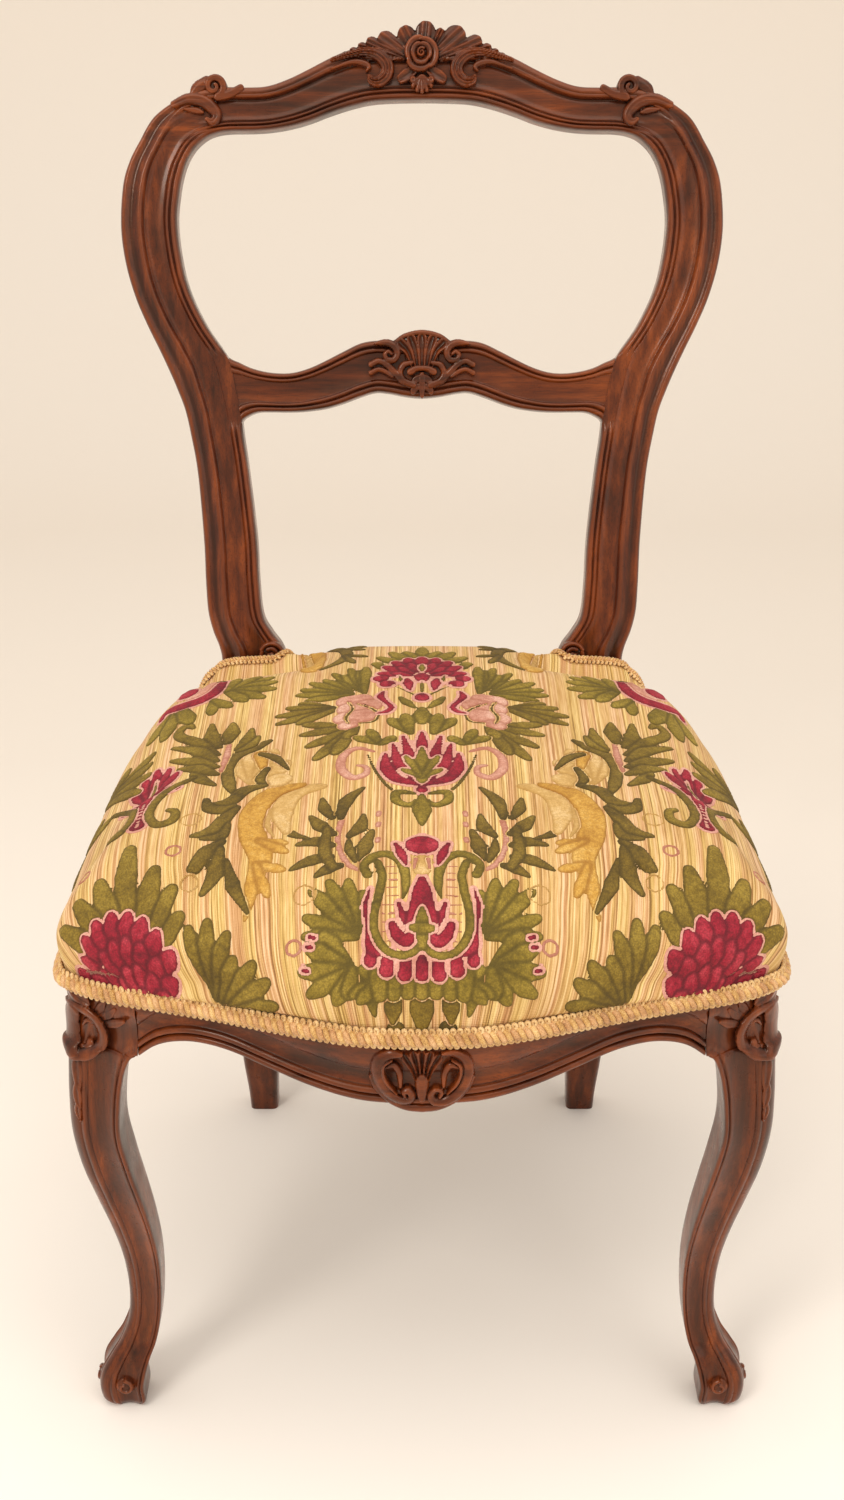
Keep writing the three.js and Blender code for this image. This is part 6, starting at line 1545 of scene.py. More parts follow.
def cut_pile(name, deep, middle, bright):
    """Looped and cut pile: short dense tufts that catch the light along their tips, with painted shade between the
    tufts and towards the edges of each form.
    """
    material, tree, shader = new_material(name)
    place = cloth_mapping(tree)
    tufts = add_node(tree, "ShaderNodeTexVoronoi", {"Vector": place, "Scale": 850.0, "Randomness": 0.85})
    shade = noise(tree, place, 260.0, 4.0, 0.6)
    shift = span(tree, value_of(tree, "tint"), 0.0, 1.0, -0.15, 0.15)
    drift = maths(tree, "ADD", noise(tree, place, 45.0, 3.0), shift)
    value = maths(tree, "ADD", span(tree, shade, 0.3, 0.7, 0.42, 0.58), span(tree, drift, 0.25, 0.75, -0.12, 0.12))
    colour = colour_ramp(tree, value, [(0.32, deep), (0.5, middle), (0.68, bright)])
    # Painted shade between the tufts: the colour goes towards the deep colour in the gaps between Voronoi cells.
    tuft_gap_shade = span(tree, tufts.outputs["Distance"], 0.3, 0.8, 0.0, 0.5)
    colour = mix_colour(tree, tuft_gap_shade, colour, linear(deep))
    # Near each form's edges and in the grooves between its fingers the colour goes towards the deep colour: partly the
    # woven line between forms, partly painted shade where the pile drops.
    rim = span(tree, value_of(tree, "relief"), 0.05, 0.8, 0.75, 0.0)
    colour = mix_colour(tree, rim, colour, linear(deep))
    feed(tree, shader.inputs, {
        "Base Color": colour, "Roughness": 0.85, "Sheen Weight": 0.1, "Sheen Roughness": 0.4,
        "Sheen Tint": linear(bright), "Normal": bump(tree, tufts.outputs["Distance"], 0.0006, 0.6),
    })
    return material


def braid_yarn(name, deep, middle, bright):
    """Silk and cotton yarn of the braid, twisted, a little dirty between its plies."""
    material, tree, shader = new_material(name)
    place = object_mapping(tree)
    plies = noise(tree, place, 1600.0, 3.0, 0.6)
    drift = noise(tree, place, 90.0, 2.0)
    value = maths(tree, "ADD", plies, span(tree, drift, 0.3, 0.7, -0.12, 0.12))
    colour = colour_ramp(tree, value, [(0.3, deep), (0.5, middle), (0.7, bright)])
    feed(tree, shader.inputs, {
        "Base Color": colour, "Roughness": 0.6, "Sheen Weight": 0.25, "Sheen Roughness": 0.4,
        "Normal": bump(tree, plies, 0.0003, 0.6),
    })
    return material


def woven_jute(name, deep, bright, pitch=420.0):
    """Coarse plain weave of jute, as in webbing and hessian."""
    material, tree, shader = new_material(name)
    place = object_mapping(tree)
    cross = maths(tree, "ADD", ribs(tree, place, pitch / 2, 1.2, "X"), ribs(tree, place, pitch / 2, 1.2, "Y"))
    value = maths(tree, "ADD", span(tree, cross, 0, 2, -0.2, 0.2), noise(tree, place, 320.0, 3.0))
    colour = colour_ramp(tree, value, [(0.25, deep), (0.75, bright)])
    feed(tree, shader.inputs, {"Base Color": colour, "Roughness": 0.9, "Normal": bump(tree, cross, 0.0004, 0.7)})
    return material


# Node trees for what follows a path


def new_tree(name, inputs):
    """A geometry node tree that takes a path and named inputs, and the sockets of its inputs."""
    tree = bpy.data.node_groups.new(name, "GeometryNodeTree")
    tree.interface.new_socket("Path", in_out="INPUT", socket_type="NodeSocketGeometry")
    kinds = {float: "NodeSocketFloat", int: "NodeSocketInt", type(None): "NodeSocketMaterial"}
    for label, default in inputs.items():
        socket = tree.interface.new_socket(label, in_out="INPUT", socket_type=kinds[type(default)])
        if default is not None:
            socket.default_value = default
    tree.interface.new_socket("Geometry", in_out="OUTPUT", socket_type="NodeSocketGeometry")
    return tree, add_node(tree, "NodeGroupInput").outputs


def scaled(tree, vector, factor):
    """A vector made longer or shorter."""
    return add_node(tree, "ShaderNodeVectorMath", {0: vector, "Scale": factor}, operation="SCALE").outputs[0]


def vector_sum(tree, first, second):
    """Two vectors added."""
    return add_node(tree, "ShaderNodeVectorMath", {0: first, 1: second}, operation="ADD").outputs[0]


def direction(tree, name):
    """A direction kept on the path's points."""
    named = add_node(tree, "GeometryNodeInputNamedAttribute", {"Name": name}, data_type="FLOAT_VECTOR")
    return named.outputs["Attribute"]


def yarn(tree, path, offset, radius, sides, material):
    """Moves a path's points by an offset and gives it a round yarn of one material."""
    moved = add_node(tree, "GeometryNodeSetPosition", {"Geometry": path, "Offset": offset}).outputs["Geometry"]
    ring = add_node(tree, "GeometryNodeCurvePrimitiveCircle", {"Resolution": sides, "Radius": radius}).outputs["Curve"]
    round_yarn = {"Curve": moved, "Profile Curve": ring, "Fill Caps": True}
    tube = add_node(tree, "GeometryNodeCurveToMesh", round_yarn).outputs["Mesh"]
    tube = add_node(tree, "GeometryNodeSetShadeSmooth", {"Geometry": tube, "Shade Smooth": True}).outputs["Geometry"]
    whole = add_node(tree, "GeometryNodeRealizeInstances", {"Geometry": tube}).outputs["Geometry"]
    return add_node(tree, "GeometryNodeSetMaterial", {"Geometry": whole, "Material": material}).outputs["Geometry"]


def braid_tree():
    """Looped braid: a row of loops above and below a cord of two twisted plies, on a path with its own directions."""
    tree, inputs = new_tree("Looped braid", {
        "Loop pitch": 0.005, "Loop reach": 0.0042, "Loop width": 0.0021, "Cord radius": 0.0014, "Cord pitch": 0.0058,
        "Yarn radius": 0.00085, "Steps": 14, "Loop yarn": None, "Edge yarn": None, "Cord yarn": None,
    })
    line = add_node(tree, "GeometryNodeMeshToCurve", {"Mesh": inputs["Path"]}).outputs["Curve"]
    step = maths(tree, "DIVIDE", inputs["Loop pitch"], inputs["Steps"])
    fine = add_node(tree, "GeometryNodeResampleCurve", {"Curve": line, "Length": step}, mode="LENGTH").outputs["Curve"]
    length = add_node(tree, "GeometryNodeSplineParameter").outputs["Length"]
    tangent = add_node(tree, "GeometryNodeInputTangent").outputs["Tangent"]
    across, outward = direction(tree, "across"), direction(tree, "outward")
    turn = maths(tree, "MULTIPLY", maths(tree, "DIVIDE", length, inputs["Loop pitch"]), 2 * math.pi)
    parts = []
    for sign, phase in ((1, 0.0), (-1, math.pi)):
        angle = maths(tree, "ADD", turn, phase)
        along = maths(tree, "MULTIPLY", maths(tree, "SINE", angle), inputs["Loop width"])
        swing = maths(tree, "MULTIPLY", inputs["Loop reach"], -0.45)
        reach = maths(tree, "MULTIPLY", maths(tree, "COSINE", angle), swing)
        middle = maths(tree, "MULTIPLY", inputs["Loop reach"], 0.92)
        side = maths(tree, "MULTIPLY", maths(tree, "ADD", reach, middle), sign)
        raised = maths(tree, "MULTIPLY", maths(tree, "SINE", maths(tree, "ADD", angle, 0.6)), 0.0007)
        offset = vector_sum(tree, scaled(tree, tangent, along), scaled(tree, across, side))
        offset = vector_sum(tree, offset, scaled(tree, outward, raised))
        parts.append(yarn(tree, fine, offset, inputs["Yarn radius"], 6, inputs["Loop yarn"]))
    cord_turn = maths(tree, "MULTIPLY", maths(tree, "DIVIDE", length, inputs["Cord pitch"]), 2 * math.pi)
    for phase, material in ((0.0, "Cord yarn"), (math.pi, "Edge yarn")):
        angle = maths(tree, "ADD", cord_turn, phase)
        side = maths(tree, "MULTIPLY", maths(tree, "COSINE", angle), inputs["Cord radius"])
        raised = maths(tree, "ADD", maths(tree, "MULTIPLY", maths(tree, "SINE", angle), inputs["Cord radius"]), 0.0008)
        offset = vector_sum(tree, scaled(tree, across, side), scaled(tree, outward, raised))
        ply = maths(tree, "MULTIPLY", inputs["Cord radius"], 0.85)
        parts.append(yarn(tree, fine, offset, ply, 6, inputs[material]))
    joined = add_node(tree, "GeometryNodeJoinGeometry")
    for part in parts:
        tree.links.new(part, joined.inputs["Geometry"])
    add_node(tree, "NodeGroupOutput", {"Geometry": joined.outputs["Geometry"]})
    return tree


def wire_tree():
    """Round wire along a path."""
    tree, inputs = new_tree("Coiled wire", {"Wire radius": 0.0017, "Material": None})
    line = add_node(tree, "GeometryNodeMeshToCurve", {"Mesh": inputs["Path"]}).outputs["Curve"]
    wire = yarn(tree, line, (0, 0, 0), inputs["Wire radius"], 10, inputs["Material"])
    add_node(tree, "NodeGroupOutput", {"Geometry": wire})
    return tree


def along_path(name, tree, points, values, across=None, outward=None):
    """Runs a tree on a path of setting-out points and returns its result as a plain mesh object."""
    mesh = bpy.data.meshes.new(name + "_path")
    count = len(points)
    mesh.from_pydata(placed(points).tolist(), [(i, i + 1) for i in range(count - 1)], [])
    for label, vectors in (("across", across), ("outward", outward)):
        if vectors is not None:
            attribute = mesh.attributes.new(label, "FLOAT_VECTOR", "POINT")
            attribute.data.foreach_set("vector", np.ascontiguousarray(vectors, dtype=float).ravel())
    guide = linked(name + "_path", mesh)
    modifier = guide.modifiers.new(name, "NODES")
    modifier.node_group = tree
    sockets = {item.name: item.identifier for item in tree.interface.items_tree if item.in_out == "INPUT"}
    for label, value in values.items():
        modifier[sockets[label]] = value
    graph = bpy.context.evaluated_depsgraph_get()
    made = bpy.data.meshes.new_from_object(guide.evaluated_get(graph))
    guide.modifiers.remove(modifier)
    bpy.data.objects.remove(guide)
    bpy.data.meshes.remove(mesh)
    if not made.vertices:
        raise RuntimeError(name + " came out empty")
    made.name = name
    return linked(name, made)


def settle(obj, slot, *nodes):
    """The piece rides on the chair's one body and stands for CAD nodes, which it hides; slot is not used."""
    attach(obj, ROOT)
    if nodes:
        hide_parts(*nodes)
    return obj


SIDES = (("left", True), ("right", False))


def sided(shells, is_left):
    """Shells made for the right, or their mirror images for the left."""
    return [mirrored(shell) for shell in shells] if is_left else shells


# Sizes and colours a user may change


class ChairWoodSettings(bpy.types.PropertyGroup):
    """Colours of the wood"""
    dark: StringProperty(name="Dark grain", description="Colour of the walnut's dark streaks", default="#2c0f06")
    middle: StringProperty(name="Walnut", description="Main colour of the polished walnut", default="#55220b")
    light: StringProperty(name="Light grain", description="Colour of the walnut's light streaks", default="#7e3a14")
    inner: StringProperty(name="Unpolished wood", description="Main colour of wood inside the seat", default="#5d3a22")


class ChairSeatSettings(bpy.types.PropertyGroup):
    """Sizes of the seat's pile"""
    pile_height: FloatProperty(name="Pile height", description="How proud the pile stands", default=0.0011, min=0.0,
                               unit="LENGTH")
    pile_step: FloatProperty(name="Pile step", description="Size of one cell of the pile's drawing", default=0.0013,
                             min=0.0008, unit="LENGTH")


class ChairBraidSettings(bpy.types.PropertyGroup):
    """Sizes of the braid"""
    loop_pitch: FloatProperty(name="Loop pitch", description="Distance from loop to loop", default=0.0043,
                              unit="LENGTH")
    loop_reach: FloatProperty(name="Loop reach", description="How far loops reach from the middle", default=0.0048,
                              unit="LENGTH")
    yarn_radius: FloatProperty(name="Yarn radius", description="Half the thickness of the loop yarn", default=0.00115,
                               unit="LENGTH")
    cord_radius: FloatProperty(name="Cord radius", description="Half the width of the cord's twist", default=0.0025,
                               unit="LENGTH")


class ChairStageSettings(bpy.types.PropertyGroup):
    """The camera and the paper behind the chair"""
    camera_place: FloatVectorProperty(name="Camera", description="Where the camera stands",
                                      default=(0.0, -1.2398, 0.968), subtype="TRANSLATION")
    camera_tilt: FloatProperty(name="Tilt", description="Camera tilt from straight down", default=math.radians(63.8),
                               subtype="ANGLE")
    lens: FloatProperty(name="Lens", description="Focal length on a sensor 36 mm high", default=43.61)
    shift: FloatProperty(name="Shift", description="Upward shift of the frame", default=0.0667)
    # The floor colour is the paper's own. The backdrop colour is the same paper with painted shade, darker where it
    # rises behind the chair.
    floor: StringProperty(name="Floor", description="Colour of the paper on the floor", default="#fbf2e7")
    backdrop: StringProperty(name="Backdrop", description="Colour of the paper behind the chair", default="#e9dfd2")


def walnuts(context):
    """The polished walnut with its grain along each axis, made once."""
    wood = context.scene.chair_wood
    found = {}
    for axis in GRAIN:
        name = "walnut_" + axis.lower()
        found[axis] = bpy.data.materials.get(name) or walnut(name, axis, wood.dark, wood.middle, wood.light)
    return found


class ChairPosts(bpy.types.Operator):
    """Makes the two rear posts, each one piece with its leg"""
    bl_idname = "chair.posts"
    bl_label = "Rear posts"

    def execute(self, context):
        shells = [post_shell(), rear_leg_shell(), post_scroll()]
        for side, is_left in SIDES:
            post = new_object("post_" + side, sided(shells, is_left), walnuts(context)["Z"])
            settle(post, "walnut_frame", "rear_post_" + side)
        return {"FINISHED"}


class ChairCrest(bpy.types.Operator):
    """Makes the crest rail with its cartouche and the scrolls at its shoulders"""
    bl_idname = "chair.crest"
    bl_label = "Crest rail"

    def execute(self, context):
        ear = crest_ears()
        shells = [crest_shell(), crest_cartouche(), ear, mirrored(ear)]
        settle(new_object("crest", shells, walnuts(context)["X"]), "walnut_frame", "crest_rail")
        return {"FINISHED"}


class ChairMidRail(bpy.types.Operator):
    """Makes the mid rail with its shell and hanging leaf"""
    bl_idname = "chair.mid_rail"
    bl_label = "Mid rail"

    def execute(self, context):
        shells = [mid_shell(), mid_cartouche()]
        settle(new_object("mid_rail_carved", shells, walnuts(context)["X"]), "walnut_frame", "mid_rail")
        return {"FINISHED"}


class ChairFrontLegs(bpy.types.Operator):
    """Makes the two cabriole front legs"""
    bl_idname = "chair.front_legs"
    bl_label = "Front legs"

    def execute(self, context):
        shells = [leg_shell(), leg_stub(), knee_carving()] + toe_scrolls()
        for side, is_left in SIDES:
            leg = new_object("cabriole_leg_" + side, sided(shells, is_left), walnuts(context)["Z"])
            settle(leg, "walnut_frame", "front_leg_" + side)
        return {"FINISHED"}


class ChairSeatRails(bpy.types.Operator):
    """Makes the moulded seat rails and finishes the plain one at the back"""
    bl_idname = "chair.seat_rails"
    bl_label = "Seat rails"

    def execute(self, context):
        wood = walnuts(context)
        front = new_object("apron", [front_rail_shell(), apron_cartouche()], wood["X"])
        settle(front, "walnut_frame", "front_rail")
        side_shell = side_rail_shell()
        for side, is_left in SIDES:
            rail = new_object("side_apron_" + side, sided([side_shell], is_left), wood["Y"])
            settle(rail, "walnut_frame", "side_rail_" + side)
        colours = context.scene.chair_wood
        plain = walnut("walnut_plain", "X", "#2f1a10", colours.inner, "#6f4a2e", polished=False)
        repaint(["back_rail"], plain)
        return {"FINISHED"}


def repaint(names, material):
    """Gives CAD nodes whose shape is right a finish of their own."""
    for name in names:
        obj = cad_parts[name]
        obj.data.materials.clear()
        obj.data.materials.append(material)


class ChairBlocks(bpy.types.Operator):
    """Finishes the corner blocks, the dowels and the screws"""
    bl_idname = "chair.blocks"
    bl_label = "Blocks, dowels and screws"

    def execute(self, context):
        names = list(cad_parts)
        repaint([n for n in names if n.startswith("corner_block") or "dowel" in n], beech("beech_wood"))
        repaint([n for n in names if n.startswith("corner_screw")], old_steel("screw_steel"))
        return {"FINISHED"}


STRAP_THICKNESS = 1.6
# A strap is level this near to the middle of one that it crosses, and eases off over the next STRAP_EASE.
STRAP_LEVEL = 28.0
STRAP_EASE = 16.0
STRAP_END = 12.0


def node_box(name):
    """A CAD node's box in setting-out millimetres."""
    low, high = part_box(name)
    return [np.array(corner) * 1000 + [0, MIDDLE_BACK, 0] for corner in (low, high)]


def strap_mesh(name, low, high, runs_x, others, starts_over, material):
    """A strap of webbing, woven over and under the straps it crosses, flat at each."""
    ends = (low[0], high[0]) if runs_x else (low[1], high[1])
    width = (low[1], high[1]) if runs_x else (low[0], high[0])
    middle_z, lift = (low[2] + high[2]) / 2, (high[2] - low[2] - STRAP_THICKNESS) / 2
    along = np.linspace(ends[0], ends[1], 121)
    level = np.zeros_like(along)
    for k, place in enumerate(others):
        over = 1 if (k % 2 == 0) == starts_over else -1
        level += over * smooth((STRAP_LEVEL + STRAP_EASE - np.abs(along - place)) / STRAP_EASE)
    for place in ends:
        near = np.abs(along - place)
        level = np.where(near < STRAP_END, 1 - (1 - level) * smooth(near / STRAP_END), level)
    across = np.linspace(width[0], width[1], 13)
    points = []
    for up in (1, -1):
        for s, l in zip(along, level):
            for w in across:
                z = middle_z + l * lift + up * (STRAP_THICKNESS / 2 - 0.05)
                points.append((s, w, z) if runs_x else (w, s, z))
    m, n = len(along), len(across)
    faces = []
    for i in range(m - 1):
        for j in range(n - 1):
            a = i * n + j
            faces.append((a, a + 1, a + n + 1, a + n))
            faces.append((a + m * n, a + n + m * n, a + n + 1 + m * n, a + 1 + m * n))
    border = [i * n for i in range(m)] + [(m - 1) * n + j for j in range(1, n)]
    border += [i * n + n - 1 for i in range(m - 2, -1, -1)] + [j for j in range(n - 2, 0, -1)]
    for a, b in zip(border, border[1:] + border[:1]):
        faces.append((a, b, b + m * n, a + m * n))
    return new_object(name, [(np.array(points), faces, 0.4)], material)


class ChairWebbing(bpy.types.Operator):
    """Weaves the jute webbing and lays the cloths over and under it"""
    bl_idname = "chair.webbing"
    bl_label = "Webbing and cloths"

    def execute(self, context):
        jute = woven_jute("jute_webbing", "#6f5836", "#a98d5e")
        hessian = woven_jute("hessian_cloth", "#7a6442", "#b39a6c", 700.0)
        dust = woven_jute("dust_cloth", "#2c2723", "#4a423a", 1100.0)
        cross = [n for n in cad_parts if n.startswith("web_strap_cross")]
        length = [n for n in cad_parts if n.startswith("web_strap_length")]
        for runs_x, names, others in ((True, cross, length), (False, length, cross)):
            places = []
            for other in others:
                low, high = node_box(other)
                places.append((low[0] + high[0]) / 2 if runs_x else (low[1] + high[1]) / 2)
            for i, name in enumerate(sorted(names)):
                low, high = node_box(name)
                starts_over = (i % 2 == 0) if runs_x else (i % 2 != 0)
                piece = name.replace("web_strap", "webbing")
                strap = strap_mesh(piece, low, high, runs_x, sorted(places), starts_over, jute)
                settle(strap, "jute", name)
        self.lay_cloth("underside_cloth", "bottom_cloth", dust)
        self.lay_cloth("spring_hessian", "spring_platform", hessian)
        return {"FINISHED"}

    def lay_cloth(self, name, node, material):
        """A cloth that keeps its solid's shape, with its corners joined and its faces turned outwards."""
        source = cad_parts[node]
        mesh = source.data.copy()
        mesh.name = name
        bm = bmesh.new()
        bm.from_mesh(mesh)
        bmesh.ops.remove_doubles(bm, verts=bm.verts, dist=1e-6)
        bmesh.ops.recalc_face_normals(bm, faces=bm.faces)
        bm.to_mesh(mesh)
        bm.free()
        mesh.materials.clear()
        mesh.materials.append(material)
        obj = linked(name, mesh)
        settle(obj, "jute", node)


SPRING_WIRE = 1.65
SPRING_TURNS = 4
SPRING_RADIUS = 29
SPRING_WAIST = 10


class ChairSprings(bpy.types.Operator):
    """Winds the five waisted coil springs"""
    bl_idname = "chair.springs"
    bl_label = "Springs"

    def execute(self, context):
        tree, steel = wire_tree(), old_steel("spring_wire")
        for i in range(1, 6):
            node = "seat_spring_%d" % i
            low, high = node_box(node)
            x, y = (low[0] + high[0]) / 2, (low[1] + high[1]) / 2
            t = stations(SPRING_TURNS * 26)
            radius = SPRING_RADIUS - SPRING_WAIST * np.sin(math.pi * t) - SPRING_WIRE
            rise = smooth((t * SPRING_TURNS - 0.5) / 3) * 0.25 + 0.75 * t
            turn = 2 * math.pi * SPRING_TURNS * t
            z = low[2] + SPRING_WIRE + (high[2] - low[2] - 2 * SPRING_WIRE) * rise
            points = np.column_stack([x + radius * np.cos(turn), y + radius * np.sin(turn), z])
            values = {"Wire radius": SPRING_WIRE / 1000, "Material": steel}
            spring = along_path("coil_spring_%d" % i, tree, points, values)
            settle(spring, "steel", node)
        return {"FINISHED"}


cover_surface = {}


def seat_surface():
    """The cover's surface, filled once and kept for the pieces that lie on it."""
    if "cover" not in cover_surface:
        cover_surface["cover"] = Cover()
    return cover_surface["cover"]


def notch_cutter(is_left):
    """The room for a post, as closed shells to cut from the pad: beside the rail, over it, and over the step."""
    shells = []
    for low, high, inner in ((RAIL_TOP - 94, RAIL_TOP + 0.5, NOTCH_INNER), (RAIL_TOP, NOTCH_STEP + 1, NOTCH_INNER),
                             (NOTCH_STEP, CROWN + 30, NOTCH_INNER_ABOVE)):
        near, far, back = inner - FIT, NOTCH_OUTER + FIT, 300
        rings = []
        for z in (low, high):
            front = (post_front(z) - NOTCH_GAP if low >= RAIL_TOP else SEAT_CORNER_Y) - FIT
            rings.append([(near, front, z), (far, front, z), (far, back, z), (near, back, z)])
        shells.append(lofted(rings))
    return sided(shells, is_left)


def cut_away(obj, cutters):
    """Takes closed shells away from a piece, and leaves no modifier on it."""
    for i, shell in enumerate(cutters):
        cutter = new_object("cutter_%d" % i, [shell], obj.data.materials[0])
        modifier = obj.modifiers.new("cut", "BOOLEAN")
        modifier.operation = "DIFFERENCE"
        modifier.solver = "EXACT"
        modifier.object = cutter
        graph = bpy.context.evaluated_depsgraph_get()
        result = bpy.data.meshes.new_from_object(obj.evaluated_get(graph))
        obj.modifiers.remove(modifier)
        old = obj.data
        obj.data = result
        bpy.data.meshes.remove(old)
        bpy.data.objects.remove(cutter)


def lay_flat(obj, flat):
    """Gives a piece of cloth its places on the flat cloth, in metres, as its UV map."""
    layer = obj.data.uv_layers.new(name="cloth")
    loops = np.empty(len(obj.data.loops), int)
    obj.data.loops.foreach_get("vertex_index", loops)
    layer.data.foreach_set("uv", (flat[loops] / 1000).ravel())


class ChairCover(bpy.types.Operator):
    """Fills the seat and draws its cover down over it"""
    bl_idname = "chair.cover"
    bl_label = "Seat and cover"

    def execute(self, context):
        cover = seat_surface()
        rings, around = cover.grid.shape[:2]
        top = rings * around
        floor = pad_floor()
        edge, under = cover.grid[0, 5], floor[0, 5]
        if edge[1] * under[1] < 0 or abs(edge[0] - under[0]) > AWAY:
            floor = floor[:, ::-1]
        points = np.concatenate([cover.grid.reshape(-1, 3), [cover.tip], floor.reshape(-1, 3)])
        base = top + 1
        faces = pad_faces(rings, around)
        faces += [(j, (j + 1) % around, base + (j + 1) % around, base + j) for j in range(around)]
        faces += grid_faces(len(floor), around, base)
        end = base + (len(floor) - 1) * around
        faces.append(tuple(range(end, end + around)))
        velvet = striped_ground("striped_ground")
        pad = new_object("seat_pad", [(points, faces, 0.5)], velvet)
        flat = np.zeros((len(points), 2))
        flat[:top] = cover.cloth().reshape(-1, 2)
        flat[base:] = points[base:, :2]
        lay_flat(pad, flat)
        for is_left in (True, False):
            cut_away(pad, notch_cutter(is_left))
        settle(pad, "velvet_cover", "seat_cover", "seat_stuffing")
        return {"FINISHED"}


# Each colour: deep, middle and bright. The deep one is also the painted shade between the tufts and at the forms'
# edges.
PILE_COLOURS = {
    "olive": ("#504006", "#88701c", "#aa8e34"),
    "leaf": ("#4a3806", "#806616", "#a0842e"),
    "dark": ("#443406", "#765c16", "#927628"),
    "crimson": ("#540814", "#9c1428", "#c23c48"),
    "rose": ("#a4644a", "#d0967e", "#e8bca4"),
    "gold": ("#98661e", "#cc993e", "#e4ba66"),
    "cream": ("#ac8240", "#d0a764", "#e8c68e"),
}
# The crimson forms have an edging this much wider than they are, at a share of the pile's height.
EDGING = 1.7
EDGING_HEIGHT = 0.35


class ChairPile(bpy.types.Operator):
    """Lays the figured pattern on the cover as low pile, one piece for each colour"""
    bl_idname = "chair.pile"
    bl_label = "Figured pile"

    def execute(self, context):
        seat = context.scene.chair_seat
        cover = seat_surface()
        pattern = draw_pattern(cover, seat.pile_step * 1000)
        full = seat.pile_height * 1000
        # body sets the pile's height, and as its relief value it also sets the painted shade towards each form's edges.
        body = smooth((pattern.depth - 0.2) / 2.4)
        height = full * (0.4 + 0.6 * body)
        tint = both_halves(pattern.tint)
        for colour, shades in PILE_COLOURS.items():
            relief = pile_relief(pattern, pattern.regions[colour], height, full * 0.7)
            pile = cut_pile("pile_" + colour, *shades)
            self.lay(cover, "seat_pile_" + colour, relief, both_halves(body), tint, pile)
        low = np.full(body.shape, full * EDGING_HEIGHT)
        halo = pile_relief(pattern, pattern.regions["crimson"] - EDGING, low, 0.1)
        edging = cut_pile("pile_edging", "#b97a66", "#d79c88", "#e2b19c")
        self.lay(cover, "seat_pile_edging", halo, both_halves(np.ones(body.shape)), tint, edging)
        return {"FINISHED"}

    def lay(self, cover, name, relief, body, tint, material):
        """Makes one colour's pile on the cover, with its own shading and places on the flat cloth."""
        points, faces, shade = relief.shell(cover.lift, 0.0, 0.3, body)
        obj = new_object(name, [(points[:, :3], faces, shade)], material)
        lay_flat(obj, points[:, 3:])
        obj.data.attributes.new("tint", "FLOAT", "POINT").data.foreach_set("value", tint.ravel()[relief.spot])
        settle(obj, "velvet_cover")


BRAID_OUT = 1.4
COLLAR_GAP = 3.6
COLLAR_TURN = 8
COLLAR_PROUD = 1.9


def wall_path(t, out, z):
    """A path along the seat's wall, with its directions across and away from the wall."""
    count = len(t)
    a, b = plan_points(t, np.full(count, out)), plan_points(t, np.full(count, out + 1.0))
    points = np.column_stack([a, np.full(count, z)])
    outward = np.column_stack([b - a, np.zeros(count)])
    across = np.tile([0.0, 0.0, 1.0], (count, 1))
    return points, across, outward


